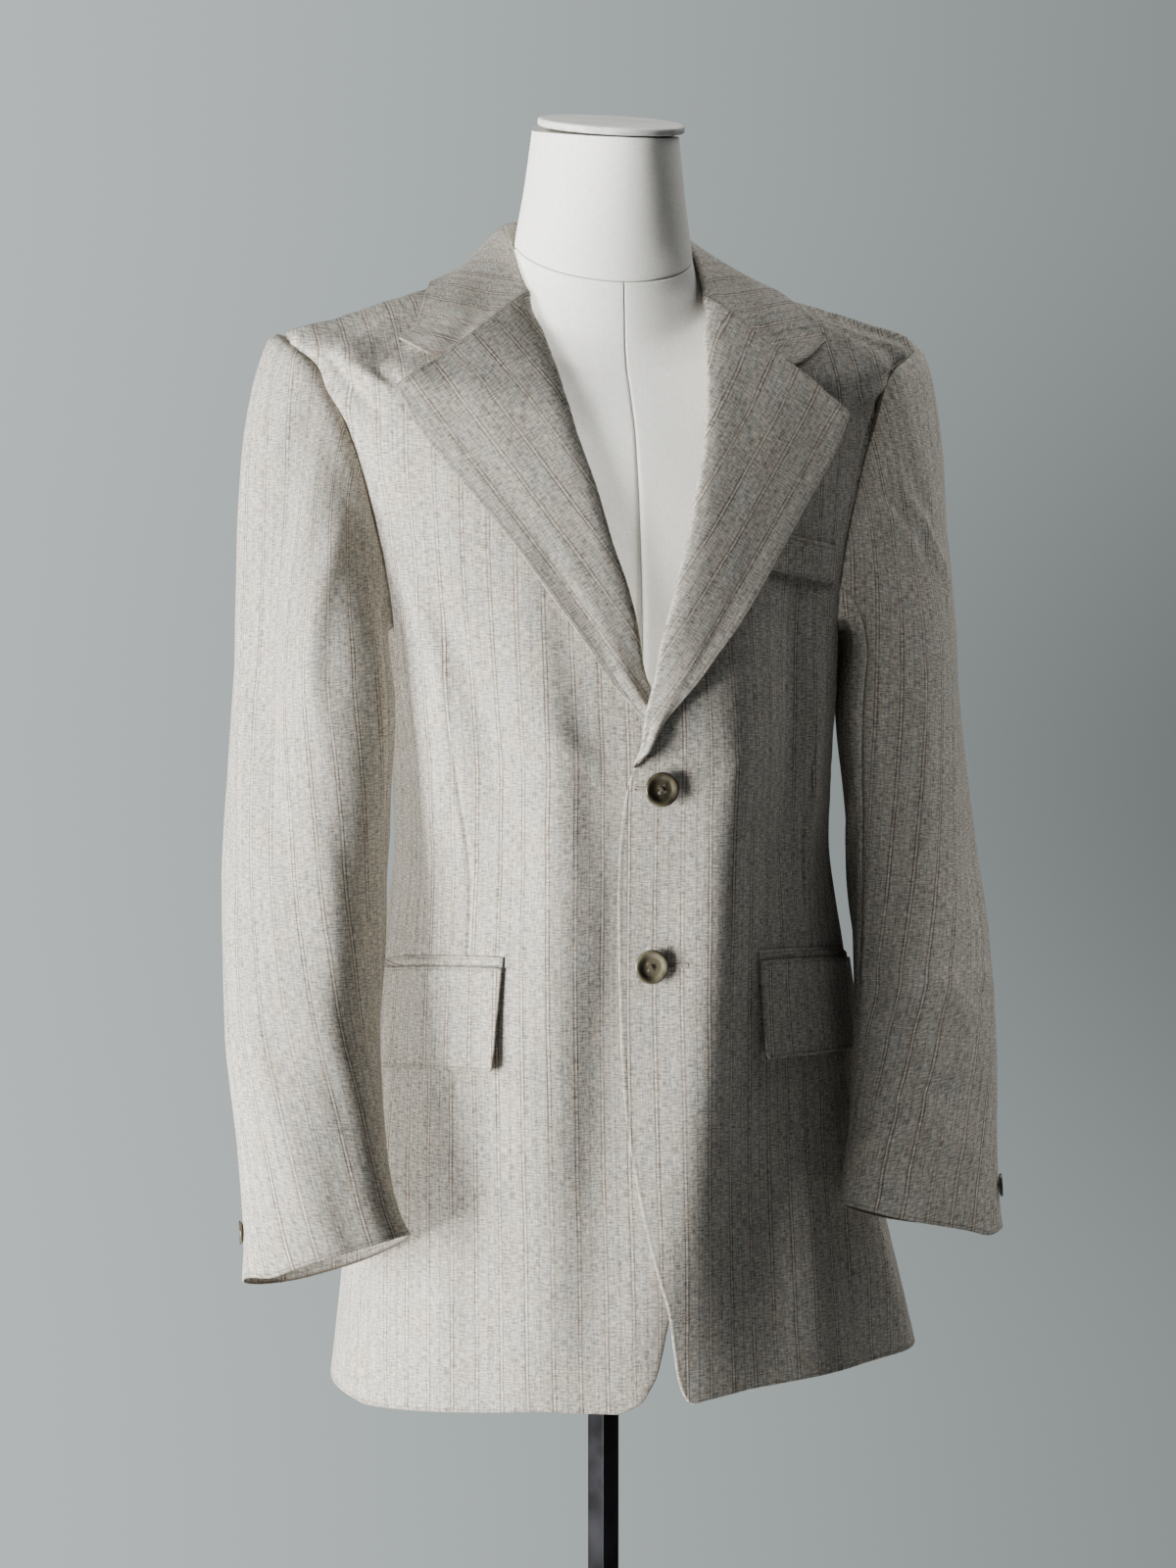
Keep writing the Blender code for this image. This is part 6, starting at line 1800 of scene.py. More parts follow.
# ---------------------------------------------------------------- pockets
@dataclass
class Pockets:
    """Two flaps with their jets, and the breast welt."""

    jet_cloth: float = 0.0010
    stand_off: dict[Side, float] = field(default_factory=lambda: {Side.RIGHT: 0.0042, Side.LEFT: 0.0030})
    welt_cloth: float = 0.0014
    flap_length: float = 0.155
    flap_swing: float = 0.0006      # of its wave
    stand_off_shape: tuple[float, float, float] = (1.6, 0.70, 2.2)  # down, share at the front, across
    jet_reach: tuple[float, ...] = (-0.0006, 0.0002, 0.0012, 0.0025, 0.0044, 0.0054, 0.0060)
    jet_lie: float = 0.0012
    jet_round: float = 0.0006
    welt_lie: float = 0.0008
    corner: float = 0.0035      # radius of a flap's lower corners

    def level_at(self, height: Array) -> Array:
        """Levels of heights below the waist."""
        return np.interp(height, LEVELS[:4, 5], np.arange(4.0))

    def skin_of(self, angle: Array, level: Array, low: Array) -> Skin:
        """A face lying that far out of the body."""
        points = BODY.raised(angle, level, low)
        facing = grid_normals(points)
        facing *= np.sign(np.sum(facing * BODY.normal(angle, level), -1).mean())
        return Skin(points, facing, BODY.cut(angle, level))

    def flap(self, side: Side) -> None:
        """A pocket flap hanging from its jet, its front lower corner standing off."""
        start, end, top, bottom, drop = POCKETS[side]
        across = np.concatenate([(0.0, 0.006, 0.014, 0.024), np.linspace(0.04, 0.96, 34),
                                 (0.976, 0.986, 0.994, 1.0)])
        down = np.concatenate([(0.0, 0.02, 0.05), np.linspace(0.1, 0.93, 12), (0.96, 0.985, 1.0)])[:, None]
        angle = start + (end - start) * across[None, :]
        from_end = np.minimum(across, 1.0 - across) * self.flap_length
        into_corner = np.maximum(self.corner - from_end, 0.0)
        corner = self.corner - np.sqrt(np.maximum(self.corner ** 2 - into_corner ** 2, 0.0))
        height = top + (bottom - top) * down + corner * down ** 2 - drop * across ** 2
        level = self.level_at(height)
        angle = np.broadcast_to(angle, height.shape)
        base = closure_lift(angle, level) if side is Side.LEFT else 0.0
        low, front, far = self.stand_off_shape
        proud = self.stand_off[side] * down ** low * (1 - front + front * (1 - across) ** far)
        wave = self.flap_swing * Ripple(41 + side.value, (0.030, 0.040)).at(across * self.flap_length, height)
        skin = self.skin_of(angle, level, base + FLAP_LIE + FLAP_CLOTH / 2 + proud + wave * down)
        piece = cloth_shell(f"cloth_pocket_flap_{side.word}", skin, FLAP_CLOTH)
        declare_cloth(piece, f"pocket_flap_{side.word}")
        self.jet(side, start, end, top, drop, across)

    def jet(self, side: Side, start: float, end: float, top: float, drop: float, across: Array) -> None:
        """The narrow jet above a flap."""
        reach = top + np.array(self.jet_reach)[:, None]
        height = reach - drop * across ** 2
        level = self.level_at(height)
        angle = np.broadcast_to(start + (end - start) * across, level.shape)
        base = closure_lift(angle, level) if side is Side.LEFT else np.zeros(angle.shape)
        round_off = self.jet_round * np.sin(math.pi * np.linspace(0, 1, len(self.jet_reach)))[:, None]
        skin = self.skin_of(angle, level, base + self.jet_lie + round_off)
        skin.cut = skin.cut[..., ::-1]
        piece = cloth_shell(f"cloth_pocket_jet_{side.word}", skin, self.jet_cloth)
        declare_cloth(piece, f"pocket_jet_{side.word}")

    def welt(self) -> None:
        """The slanted welt of the chest pocket on the wearer's left."""
        top_in, top_out, low_out, low_in = (np.array(corner) for corner in WELT_CORNERS)
        across = np.concatenate([(0.0, 0.015, 0.04), np.linspace(0.08, 0.92, 12),
                                 (0.96, 0.985, 1.0)])[None, :, None]
        down = np.concatenate([(0.0, 0.04, 0.10), np.linspace(0.2, 0.8, 5), (0.90, 0.96, 1.0)])[:, None, None]
        plan = (top_in * (1 - across) + top_out * across) * (1 - down)
        plan = plan + (low_in * (1 - across) + low_out * across) * down
        angle, level = BODY.place(plan[..., 1], plan[..., 0])
        skin = self.skin_of(angle, level, closure_lift(angle, level) + self.welt_lie + self.welt_cloth)
        piece = cloth_shell("cloth_breast_welt", skin, self.welt_cloth)
        declare_cloth(piece, "breast_welt")

    def build(self) -> None:
        """Build the flaps, jets and welt."""
        for side in Side:
            self.flap(side)
        self.welt()


# ---------------------------------------------------------------- buttons and their holes
def turned(made: bmesh.types.BMesh, loops: list[list[bmesh.types.BMVert]], sides: int) -> None:
    """Faces between loops of vertices round an axis, where a loop of one vertex is a pole."""
    for low, high in zip(loops, loops[1:]):
        for k in range(sides):
            n = (k + 1) % sides
            corners = (low[k % len(low)], high[k % len(high)], high[n % len(high)], low[n % len(low)])
            made.faces.new(tuple(dict.fromkeys(corners)))


@dataclass(frozen=True)
class ButtonSize:
    """A four-hole button: width, thickness and where its parts lie."""

    width: float
    thick: float
    sides: int = 56
    hole_ring: float = 0.115
    hole_radius: float = 0.050

    def outline(self) -> tuple[tuple[float, float], ...]:
        """Half outline from the middle of the face over the rim to the back."""
        r, t = self.width / 2, self.thick
        return ((0.0, t * 0.60), (r * 0.30, t * 0.60), (r * 0.50, t * 0.595), (r * 0.575, t * 0.63),
                (r * 0.635, t * 0.76), (r * 0.70, t * 0.88), (r * 0.78, t * 0.97), (r * 0.86, t * 1.00),
                (r * 0.93, t * 0.95), (r * 0.975, t * 0.82), (r, t * 0.62), (r * 0.985, t * 0.44),
                (r * 0.93, t * 0.26), (r * 0.80, t * 0.10), (r * 0.60, 0.0), (0.0, 0.0))


class Buttons:
    """The horn buttons, their thread and the worked buttonholes."""

    front = ButtonSize(BUTTON_WIDTH, 0.0042)
    cuff = ButtonSize(CUFF_BUTTON_WIDTH, 0.0024, sides=40)
    cuff_share = {Side.RIGHT: 0.008, Side.LEFT: 0.055}
    cuff_height = 0.030
    cuff_lift = 0.0002
    front_lift = 0.0022
    front_spin, cuff_spin = 0.12, 0.3
    strand_gap = 0.00034
    strand_radius = 0.00030
    strand_rise = 0.00025       # of the stitch that crosses over the other
    strand_levels = (0.66, 0.30)    # of the button's thickness: over its face, in its holes
    shank = (0.0011, 0.0009, 0.0022)    # radius below and above, and length
    shank_at = -0.0010

    def frame(self, centre: Array, out: Array, spin: float = 0.0) -> Array:
        """A place to put things: columns right, up, out and centre."""
        right = unit(np.cross((0.0, 0.0, 1.0), out))
        up = np.cross(out, right)
        turned = right * math.cos(spin) + up * math.sin(spin)
        made = np.eye(4)
        made[:3, 0], made[:3, 1], made[:3, 2], made[:3, 3] = turned, np.cross(out, turned), out, centre
        return made

    def turned_blank(self, size: ButtonSize) -> bmesh.types.BMesh:
        """The button's outline turned about its axis."""
        made = bmesh.new()
        loops = [[made.verts.new((radius * math.cos(a), radius * math.sin(a), height))
                  for a in np.linspace(0, 2 * math.pi, size.sides if radius else 1, endpoint=False)]
                 for radius, height in size.outline()]
        turned(made, loops, size.sides)
        bmesh.ops.recalc_face_normals(made, faces=made.faces)
        return made

    def holes(self, size: ButtonSize) -> Piece:
        """Four pins that cut the holes."""
        made = bmesh.new()
        for k in range(4):
            spin = math.radians(45 + 90 * k)
            radius, ring = size.width * size.hole_radius, size.width * size.hole_ring
            pin = bmesh.ops.create_cone(made, cap_ends=True, segments=14, radius1=radius, radius2=radius,
                                        depth=size.thick * 3)
            bmesh.ops.translate(made, verts=pin["verts"],
                                vec=(ring * math.cos(spin), ring * math.sin(spin), 0.0))
        return link_new("hole_pins", mesh_of("hole_pins", made))

    def button(self, name: str, size: ButtonSize, place: Array, finish: str) -> None:
        """One button at its place.

        Args:
            name: The node that it replaces.
            size: Its sizes.
            place: Its frame, out of the cloth.
            finish: Its horn.
        """
        body = link_new("button_blank", mesh_of(name, self.turned_blank(size)))
        pins = self.holes(size)
        cut = body.modifiers.new("holes", "BOOLEAN")
        cut.operation, cut.object, cut.solver = "DIFFERENCE", pins, "EXACT"
        mesh = applied(body)
        for scrap in (body, pins):
            bpy.data.objects.remove(scrap, do_unlink=True)
        points = np.empty(len(mesh.vertices) * 3)
        mesh.vertices.foreach_get("co", points)
        points = points.reshape(-1, 3) @ place[:3, :3].T + place[:3, 3]
        mesh.vertices.foreach_set("co", points.ravel())
        mesh.shade_smooth()
        mesh.set_sharp_from_angle(angle=math.radians(38))
        declare(put_in_scene(f"horn_{name}", mesh, finish), name)
        self.thread(name, size, place)

    def thread(self, name: str, size: ButtonSize, place: Array) -> None:
        """The crossed stitches over the holes and the shank below the button."""
        made = bmesh.new()
        ring = size.width * size.hole_ring
        top, bottom = (size.thick * share for share in self.strand_levels)
        for k, spin in enumerate((45.0, 135.0)):
            for beside in (-self.strand_gap, self.strand_gap):
                a = math.radians(spin)
                ends = [np.array((ring * math.cos(a) * s - beside * math.sin(a),
                                  ring * math.sin(a) * s + beside * math.cos(a), 0.0)) for s in (-1, 1)]
                self.strand(made, ends, top + self.strand_rise * k, bottom)
        low, high, length = self.shank
        shank = bmesh.ops.create_cone(made, cap_ends=True, segments=12, radius1=low, radius2=high,
                                      depth=length)
        bmesh.ops.translate(made, verts=shank["verts"], vec=(0.0, 0.0, self.shank_at))
        for vert in made.verts:
            vert.co = Vector(place[:3, :3] @ np.array(vert.co) + place[:3, 3])
        declare(solid_mesh(f"thread_{name}", made, "thread"))

    def strand(self, made: bmesh.types.BMesh, ends: list, top: float, bottom: float) -> None:
        """One bowed strand between two holes, added to a mesh."""
        radius = self.strand_radius
        first, last = ends
        side = unit(np.cross(last - first, (0.0, 0.0, 1.0)))
        rings = []
        for s in np.linspace(0.0, 1.0, 9):
            at = first * (1 - s) + last * s
            bow = 1.0 - abs(2 * s - 1) ** 5
            middle = at + (0.0, 0.0, bottom + (top - bottom) * bow)
            rings.append([made.verts.new(middle + side * radius * math.cos(a)
                                         + np.array((0, 0, radius * math.sin(a))))
                          for a in np.linspace(0, 2 * math.pi, 6, endpoint=False)])
        for low, high in zip(rings, rings[1:]):
            for k in range(6):
                made.faces.new((low[k], low[(k + 1) % 6], high[(k + 1) % 6], high[k]))
        made.faces.new(rings[0])
        made.faces.new(rings[-1])

    def cuff_place(self, side: Side, sleeves: Sleeves) -> Array:
        """Where a cuff button sits: on the top sleeve beside the hind seam."""
        grid, normal, _, _ = sleeves.sewn(side)
        column = int(round(self.cuff_share[side] * (grid.shape[1] - 1)))
        track = grid[:, column]
        reach = running_length(track, 0)
        row = int(np.argmin(np.abs(reach - (reach[-1] - self.cuff_height))))
        out = normal[row, column]
        return self.frame(track[row] + out * self.cuff_lift, out, self.cuff_spin)

    def build(self, sleeves: Sleeves) -> None:
        """Sew on the four buttons and work the two buttonholes.

        Args:
            sleeves: The sleeves that carry the cuff buttons.
        """
        for name, (x, z) in BUTTON_CENTRES.items():
            angle, level = BODY.place(x, z)
            height = float(closure_lift(angle, level)) + self.front_lift
            centre = BODY.raised(angle, level, height)
            place = self.frame(centre, BODY.normal(angle, level), self.front_spin)
            finish = "horn_dark" if name.endswith("upper") else "horn_light"
            self.button(name, self.front, place, finish)
        for side in Side:
            self.button(f"cuff_button_{side.word}", self.cuff, self.cuff_place(side, sleeves), "horn_dark")
        Buttonholes().build()


@dataclass
class Buttonholes:
    """Keyhole buttonholes worked in silk on the left front."""

    spans: tuple = (("upper", -0.0166, 0.0082, 1.1350, 1.1350), ("lower", -0.0131, 0.0170, 1.0186, 1.0206))
    half_slot: float = 0.0007
    stitch: tuple[float, float, float] = (0.00045, 0.00110, 0.00042)
    spacing: float = 0.00062
    eye: float = 0.0015
    slit_share: float = 0.96
    slit_levels: tuple[float, float] = (0.00012, -0.00025)

    def path(self, x_first: float, x_last: float, z_first: float, z_last: float) -> Array:
        """The line of the stitches round the slot, on the front's own face."""
        length = x_last - x_first
        t = np.linspace(0.0, 1.0, 15)
        top = np.stack([x_first + self.eye + (length - self.eye) * t, np.full(15, self.half_slot)], -1)
        turn = np.linspace(math.pi / 2, -math.pi / 2, 6)[1:-1]
        far = np.stack([x_last + self.half_slot * np.cos(turn), self.half_slot * np.sin(turn)], -1)
        low = top[::-1] * (1, -1)
        round_eye = np.linspace(-0.75 * math.pi + 0.3, -1.25 * math.pi - 0.3, 9)
        keyhole = np.stack([x_first + self.eye * np.cos(round_eye), self.eye * np.sin(round_eye)], -1)
        line = np.concatenate([top, far, low, keyhole])
        share = (line[:, 0] - x_first) / length
        x, z = line[:, 0], z_first + (z_last - z_first) * share + line[:, 1]
        angle, level = BODY.place(x, z)
        return BODY.raised(angle, level, closure_lift(angle, level) + 0.0001, 1.0)

    def stitch_mesh(self) -> Piece:
        """One purl: a small bead longer across the slot."""
        made = bmesh.new()
        bmesh.ops.create_icosphere(made, subdivisions=1, radius=1.0)
        for vert in made.verts:
            vert.co = Vector(a * b for a, b in zip(vert.co, self.stitch))
        return link_new("purl", mesh_of("purl", made))

    def stitch_tree(self, purl: Piece) -> bpy.types.NodeTree:
        """Geometry nodes that lay purls side by side along a closed path.

        Args:
            purl: The bead that is repeated.

        Returns:
            The tree, with inputs Spacing and Outward.
        """
        tree = bpy.data.node_groups.new("purl_row", "GeometryNodeTree")
        face = tree.interface
        face.new_socket(name="Geometry", in_out="INPUT", socket_type="NodeSocketGeometry")
        spacing = face.new_socket(name="Spacing", in_out="INPUT", socket_type="NodeSocketFloat")
        spacing.default_value = self.spacing
        face.new_socket(name="Outward", in_out="INPUT", socket_type="NodeSocketVector")
        face.new_socket(name="Geometry", in_out="OUTPUT", socket_type="NodeSocketGeometry")
        nodes = tree.nodes
        source, drain, curve, spread, points, tangent, stand, swing, bead, real, dress = (
            nodes.new(kind) for kind in (
                "NodeGroupInput", "NodeGroupOutput", "GeometryNodeMeshToCurve",
                "GeometryNodeResampleCurve", "GeometryNodeInstanceOnPoints", "GeometryNodeInputTangent",
                "FunctionNodeAlignRotationToVector", "FunctionNodeAlignRotationToVector",
                "GeometryNodeObjectInfo", "GeometryNodeRealizeInstances", "GeometryNodeSetMaterial"))
        spread.mode = "LENGTH"
        stand.axis, swing.axis, swing.pivot_axis = "Z", "X", "Z"
        bead.inputs["Object"].default_value = purl
        dress.inputs["Material"].default_value = Closet.get("silk")
        for giver, output, taker, entry in (
                (source, "Geometry", curve, "Mesh"), (curve, "Curve", spread, "Curve"),
                (source, "Spacing", spread, "Length"), (source, "Outward", stand, "Vector"),
                (stand, "Rotation", swing, "Rotation"), (tangent, "Tangent", swing, "Vector"),
                (spread, "Curve", points, "Points"), (bead, "Geometry", points, "Instance"),
                (swing, "Rotation", points, "Rotation"), (points, "Instances", real, "Geometry"),
                (real, "Geometry", dress, "Geometry"), (dress, "Geometry", drain, "Geometry")):
            tree.links.new(giver.outputs[output], taker.inputs[entry])
        return tree

    def slit(self, name: str, path: Array, out: Array) -> None:
        """The dark slot inside the purls, painted shade where the cut opens."""
        made = bmesh.new()
        centre = path.mean(0)
        rim, base = ([made.verts.new(centre + (point - centre) * self.slit_share + out * level)
                      for point in path] for level in self.slit_levels)
        made.faces.new(rim)
        made.faces.new(base[::-1])
        for k in range(len(rim)):
            n = (k + 1) % len(rim)
            made.faces.new((rim[k], base[k], base[n], rim[n]))
        declare(solid_mesh(f"buttonhole_slit_{name}", made, "slit"))

    def build(self) -> None:
        """Work both buttonholes."""
        purl = self.stitch_mesh()
        tree = self.stitch_tree(purl)
        for name, x_first, x_last, z_first, z_last in self.spans:
            path = self.path(x_first, x_last, z_first, z_last)
            spot = BODY.place((x_first + x_last) / 2, (z_first + z_last) / 2)
            out = BODY.normal(*spot)
            mesh = bpy.data.meshes.new("slot_line")
            count = len(path)
            mesh.from_pydata(path.tolist(), [(i, (i + 1) % count) for i in range(count)], [])
            line = link_new("slot_line", mesh)
            works = line.modifiers.new("purls", "NODES")
            works.node_group = tree
            sockets = {item.name: item.identifier for item in tree.interface.items_tree
                       if item.in_out == "INPUT"}
            works[sockets["Spacing"]] = self.spacing
            works[sockets["Outward"]] = tuple(float(v) for v in out)
            stitches = applied(line)
            bpy.data.objects.remove(line, do_unlink=True)
            stitches.shade_smooth()
            declare(put_in_scene(f"buttonhole_{name}", stitches, "silk"))
            self.slit(name, path, out)
        bpy.data.objects.remove(purl, do_unlink=True)


# ---------------------------------------------------------------- form and stand
@dataclass
class DressForm:
    """The linen-covered body and neck of the form, with its cap."""

    sides: int = 120
    body_rows: int = 66
    neck_rows: int = 8
    seam_row: float = 3.32
    seam_depth: float = 0.0008
    seam_columns: tuple[float, ...] = (-1.1, -0.6, -0.25, 0.25, 0.6, 1.1)
    front_seam_width: float = 0.35      # degrees
    neck_seam_width: float = 0.035      # rows of the neck
    cap_sides: int = 96

    def angles(self) -> Array:
        """Degrees of the columns, close together about the centre front seam."""
        even = np.arange(self.sides + 1) * 360.0 / self.sides - 180.0
        return np.sort(np.concatenate([even, self.seam_columns]))

    def rings(self) -> tuple[Array, Array]:
        """Rings of points from the form's bottom to the neck's top, and the neck seam's share.

        Returns:
            Rows of points; and for each row the distance in rows of FORM_NECK from its first.
        """
        angle = self.angles()
        across, ahead = np.sin(np.radians(angle)), np.cos(np.radians(angle))
        table = np.array(FORM_BODY)
        levels = np.concatenate([(1.08, 1.085, 1.10), np.linspace(1.12, 11.0, self.body_rows)])
        rings = []
        for level in levels:
            front, side, behind = (float(smooth(table[:, 0], table[:, k], level)) for k in (1, 2, 3))
            inset = side + (np.where(ahead > 0, front, behind) - side) * ahead ** 2
            ring = BODY.point(angle, level, folds=0.0)
            tilt = float(step_up(TIP - 1.6, TIP - 0.6, level))
            flat = unit(BODY.normal(angle, level) * (1, 1, tilt))
            rings.append(ring - flat * inset[:, None])
        neck = [rings[-1]]
        for half_width, front_depth, back_depth, z_front, z_side, z_back in FORM_NECK:
            deep = np.where(ahead > 0, front_depth, back_depth)
            height = z_side + (np.where(ahead > 0, z_front, z_back) - z_side) * np.abs(ahead)
            neck.append(np.stack([half_width * across, -deep * ahead, height], -1))
        at = np.linspace(0.0, len(FORM_NECK), len(FORM_NECK) * self.neck_rows + 1)[1:]
        beside_seam = self.seam_row + np.array((-0.10, -0.05, -0.02, 0.0, 0.02, 0.05, 0.10))
        at = np.sort(np.concatenate([at, beside_seam]))
        upper = smooth_rows(np.array(neck), at)
        marks = np.concatenate([np.full(len(rings), -9.0), at - 1.0])
        return np.concatenate([np.array(rings), upper]), marks

    def build(self) -> None:
        """Build the form and its cap."""
        points, marks = self.rings()
        normal = grid_normals(points)
        normal[:, 0] = unit(normal[:, 0] + normal[:, -1])
        normal[:, -1] = normal[:, 0]
        normal *= np.sign(np.sum(normal[20] * (points[20] - points[20].mean(0)), -1).mean())
        angle = self.angles()
        below_neck = marks[:, None] < self.seam_row - 1.0
        from_seam = marks - self.seam_row + 1.0
        groove = bell(0.0, self.neck_seam_width, from_seam)[:, None]
        groove = groove + bell(0.0, self.front_seam_width, angle)[None, :] * below_neck
        around = running_length(points, 1)
        up = running_length(points, 0)
        base = int(np.argmin(np.abs(from_seam)))
        cut = np.stack([around - around[:, len(angle) // 2, None], up - up[base]], -1)
        points = points - normal * (self.seam_depth * np.clip(groove, 0, 1))[..., None]
        rows, columns = points.shape[:2]
        made = bmesh.new()
        layer = made.loops.layers.uv.new("cut")
        loops = [[made.verts.new(point) for point in ring[:-1]] for ring in points]
        for i in range(rows - 1):
            for j in range(columns - 1):
                k = (j + 1) % (columns - 1)
                face = made.faces.new((loops[i][j], loops[i][k], loops[i + 1][k], loops[i + 1][j]))
                for corner, spot in zip(face.loops, ((i, j), (i, j + 1), (i + 1, j + 1), (i + 1, j))):
                    corner[layer].uv = cut[spot]
        made.faces.new(loops[0])
        made.faces.new(loops[-1])
        declare(solid_mesh("form_cover", made, "linen", 60.0), "form_torso")
        self.cap()

    def cap(self) -> None:
        """The turned disc that closes the neck."""
        half, thick = NECK_CAP["half_width"], NECK_CAP["thick"]
        outline = ((0.0, -0.5), (half - 0.0010, -0.5), (half - 0.0003, -0.42), (half, -0.28), (half, 0.24),
                   (half - 0.0004, 0.38), (half - 0.0014, 0.47), (half - 0.0030, 0.5), (0.0, 0.5))
        made = bmesh.new()
        tilt = math.radians(NECK_CAP["tilt"])
        loops = []
        for radius, height in outline:
            loop = []
            for a in np.linspace(0, 2 * math.pi, self.cap_sides if radius else 1, endpoint=False):
                x, y, z = radius * math.cos(a), radius * math.sin(a), height * thick
                loop.append(made.verts.new((x, NECK_CAP["y"] + y * math.cos(tilt) - z * math.sin(tilt),
                                            NECK_CAP["z"] + y * math.sin(tilt) + z * math.cos(tilt))))
            loops.append(loop)
        turned(made, loops, self.cap_sides)
        declare(solid_mesh("turned_cap", made, "wood"), "neck_cap")


class Stand:
    """The square pole and the round plate, kept as solids with a better finish."""

    nodes = ("stand_pole", "stand_base")

    def build(self, frame: dict) -> None:
        """Dress both.

        Args:
            frame: The loaded frame.
        """
        for node in self.nodes:
            found = frame["nodes"][node]
            for solid in found if isinstance(found, list) else [found]:
                for slot in solid.material_slots:
                    slot.material = Closet.get("steel")


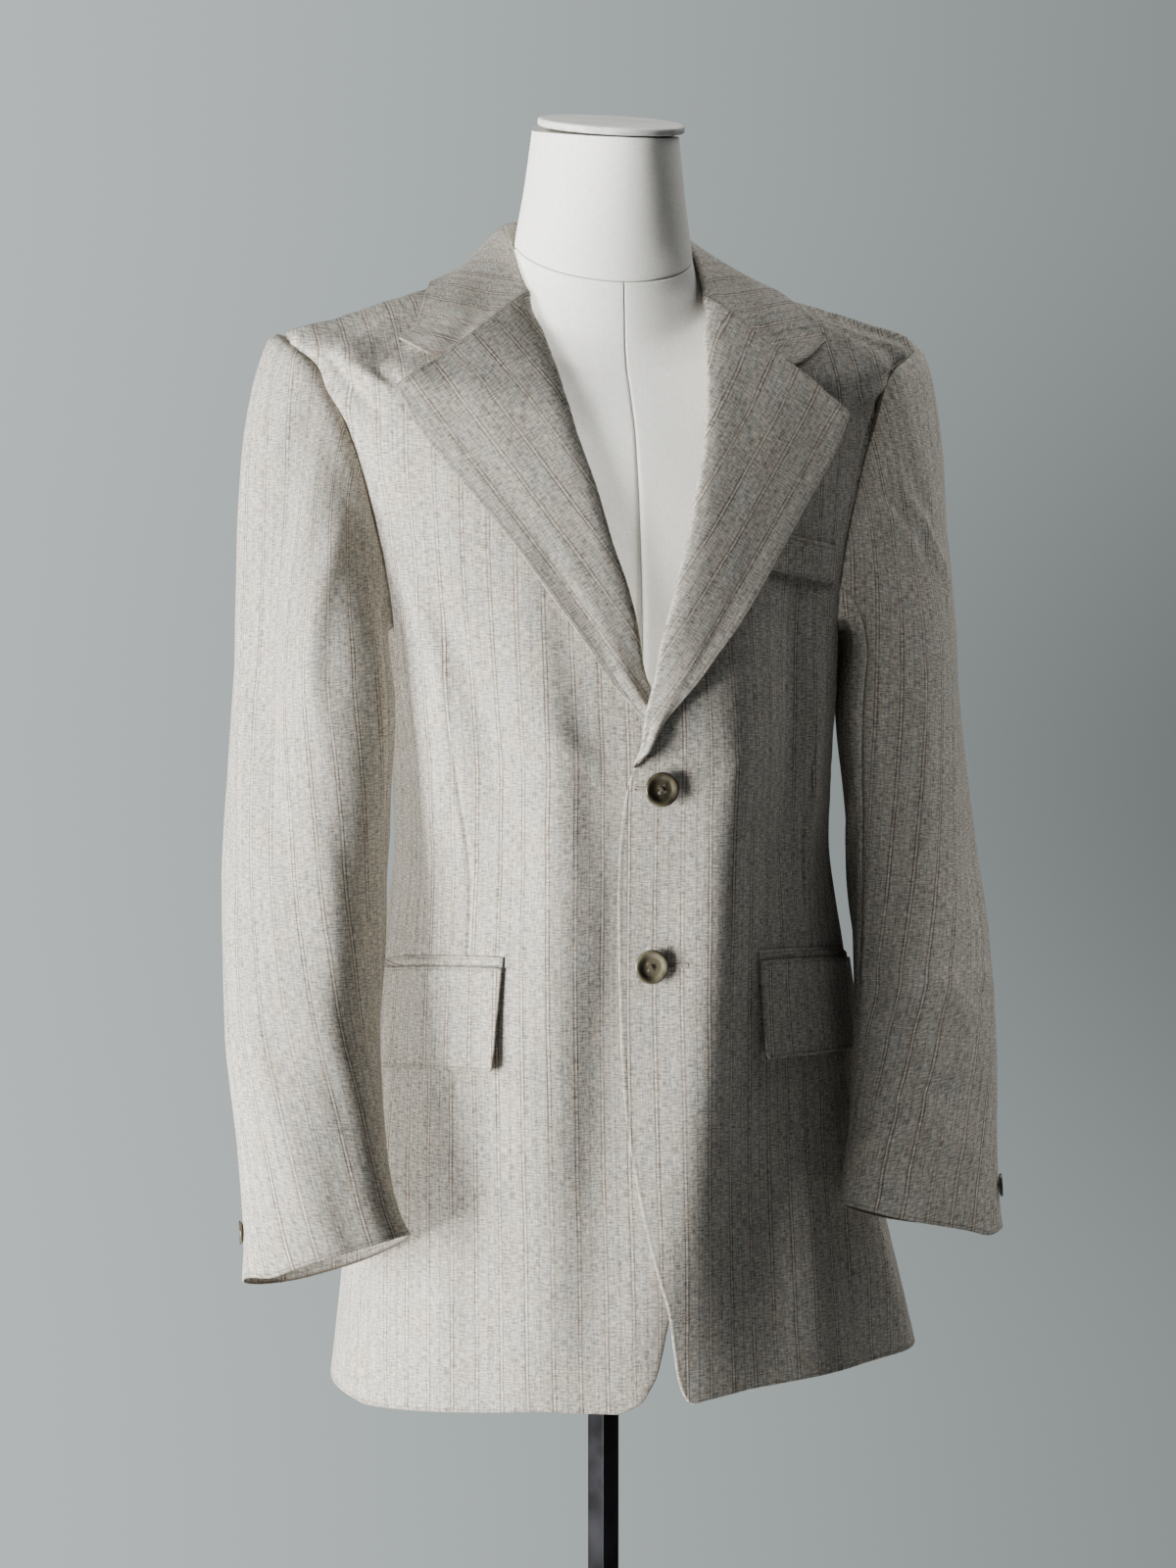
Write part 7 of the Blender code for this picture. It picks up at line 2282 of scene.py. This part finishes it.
# ---------------------------------------------------------------- studio
@dataclass
class Studio:
    """Floor, light and camera."""

    camera_at: Place = (-0.5538, -2.0257, 1.30)
    camera_tilt: float = 85.282
    camera_turn: float = -15.0
    lens: float = 70.875
    key_at: Place = (-2.51, -0.68, 0.70)
    key_size: tuple[float, float] = (1.1, 1.3)
    key_power: float = 228.0
    key_aim: Place = (0.0, 0.0, 1.15)
    wash_at: Place = (-2.2, -1.35, 2.6)
    wash_power: float = 150.0
    wash_size: tuple[float, float] = (0.8, 0.8)
    wash_aim: Place = (0.0, 0.0, 1.35)
    near_sleeve: tuple[str, ...] = ("cloth_sleeve_top_right", "cloth_sleeve_under_right")
    near_front: tuple[str, ...] = ("cloth_lapel_right", "cloth_front_right", "cloth_collar")
    far_sleeve: tuple[str, ...] = ("cloth_sleeve_top_left", "cloth_sleeve_under_left")
    form: tuple[str, ...] = ("form_cover", "turned_cap")
    far_front: tuple[str, ...] = ("cloth_lapel_left", "cloth_collar")
    fill_at: Place = (1.6, 0.6, 3.0)
    fill_power: float = 34.0
    fill_size: tuple[float, float] = (1.4, 1.4)
    fill_aim: Place = (0.0, 0.0, 1.1)
    near_at: Place = (0.7, -2.6, 2.2)
    near_power: float = 15.5
    near_size: tuple[float, float] = (0.6, 0.6)
    near_aim: Place = (0.2, 0.0, 1.15)
    wall_left: Colour = (0.660, 0.735, 0.735)
    wall_right: Colour = (0.170, 0.195, 0.190)
    wall_turn: tuple[float, float] = (-0.10, 0.62)      # directions from the lit colour to the shaded one
    wall_low: float = 0.08          # how far below the horizon the wall's painted shade is darkest
    wall_dim: tuple[float, ...] = (0.0, 0.20, 0.50, 1.15)   # heights from there, and shares of the colour
    ambient: float = 0.034
    ambient_colour: tuple[float, float, float, float] = (0.75, 0.86, 1.0, 1.0)
    floor_radius: float = 1.5
    sensor: float = 36.0
    key_shares: tuple[float, float] = (0.75, 0.25)      # past the front alone, past the sleeve too

    def lamp(self, name: str, at: tuple, size: tuple, power: float, aim: tuple) -> Piece:
        """An area light aimed at a point."""
        data = bpy.data.lights.new(name, "AREA")
        data.shape = "RECTANGLE"
        data.size, data.size_y = size
        data.energy = power
        lamp = link_new(name, data)
        lamp.location = at
        lamp.rotation_mode = "QUATERNION"
        lamp.rotation_quaternion = (Vector(aim) - Vector(at)).to_track_quat("-Z", "Y")
        return lamp

    def card(self, lamp: Piece, pieces: tuple[str, ...], state: str,
             kind: str = "receiver") -> None:
        """Keep a lamp off some pieces, or on them alone, as cards beside it would.

        Args:
            lamp: The lamp.
            pieces: Names of the pieces.
            state: EXCLUDE or INCLUDE.
            kind: Whether the pieces are its "receiver", which it lights, or its "blocker".
        """
        group = bpy.data.collections.new(f"{lamp.name}_{kind}")
        for name in pieces:
            group.objects.link(bpy.data.objects[name])
        setattr(lamp.light_linking, f"{kind}_collection", group)
        for item in group.collection_objects:
            item.light_linking.link_state = state

    def floor(self) -> None:
        """A round pale floor under the stand."""
        made = bmesh.new()
        bmesh.ops.create_circle(made, cap_ends=True, segments=96, radius=self.floor_radius)
        put_in_scene("floor", mesh_of("floor", made), "floor")

    def world(self) -> None:
        """A wall with painted light: its colour falls off from the light's side to the other, with painted
        shade darkest a little below the horizon.
        """
        world = bpy.data.worlds.new("studio")
        bpy.context.scene.world = world
        world.use_nodes = True
        wiring = Wiring(world.node_tree)
        way = wiring.add("ShaderNodeTexCoord").outputs["Generated"]
        parts = wiring.add("ShaderNodeSeparateXYZ", in_0=way)
        share = wiring.band(parts.outputs[0], *self.wall_turn)
        height = wiring.math("ABSOLUTE", wiring.math("ADD", parts.outputs[2], self.wall_low))
        shade_share = wiring.band(height, *self.wall_dim)
        grey = wiring.add("ShaderNodeCombineXYZ", in_0=shade_share, in_1=shade_share, in_2=shade_share).outputs[0]
        seen = wiring.blend(share, self.wall_left, wiring.blend(1.0, self.wall_right, grey, "MULTIPLY"))
        shown = world.node_tree.nodes["Background"]
        wiring.join(seen, shown.inputs["Color"])
        glow = wiring.add("ShaderNodeBackground")
        wiring.fill(glow, {"Color": self.ambient_colour, "Strength": self.ambient})
        ray = wiring.add("ShaderNodeLightPath")
        mix = wiring.add("ShaderNodeMixShader", in_0=ray.outputs["Is Camera Ray"], in_1=glow.outputs[0],
                         in_2=shown.outputs[0])
        wiring.join(mix.outputs[0], world.node_tree.nodes["World Output"].inputs["Surface"])

    def build(self) -> None:
        """Set up the studio and the camera."""
        self.floor()
        self.world()
        for name, share, passed in zip(("key", "soft_key"), self.key_shares,
                                       (self.near_front, self.near_front + self.near_sleeve)):
            key = self.lamp(name, self.key_at, self.key_size, share * self.key_power, self.key_aim)
            self.card(key, self.far_sleeve, "EXCLUDE")
            self.card(key, passed, "EXCLUDE", "blocker")
        wash = self.lamp("wash", self.wash_at, self.wash_size, self.wash_power, self.wash_aim)
        self.card(wash, self.form, "INCLUDE")
        near = self.lamp("near", self.near_at, self.near_size, self.near_power, self.near_aim)
        self.card(near, self.far_sleeve + self.far_front, "INCLUDE")
        self.lamp("fill", self.fill_at, self.fill_size, self.fill_power, self.fill_aim)
        data = bpy.data.cameras.new("camera")
        data.lens = self.lens
        data.sensor_width = self.sensor
        data.sensor_fit = "AUTO"
        camera = link_new("camera", data)
        camera.location = self.camera_at
        camera.rotation_euler = (math.radians(self.camera_tilt), 0.0, math.radians(self.camera_turn))
        bpy.context.scene.camera = camera


def main() -> None:
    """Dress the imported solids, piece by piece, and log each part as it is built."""
    logging.basicConfig(level=logging.INFO, format="%(name)s: %(message)s")
    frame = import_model()
    sleeves = Sleeves()
    for name, part in (("body panels", BodyPanels()), ("sleeves", sleeves), ("lapels", Lapels()),
                       ("collar", Collar()), ("pockets", Pockets()), ("dress form", DressForm())):
        part.build()
        LOG.info("built %s", name)
    Buttons().build(sleeves)
    LOG.info("built buttons")
    Stand().build(frame)
    Studio().build()


if __name__ == "__main__":
    main()
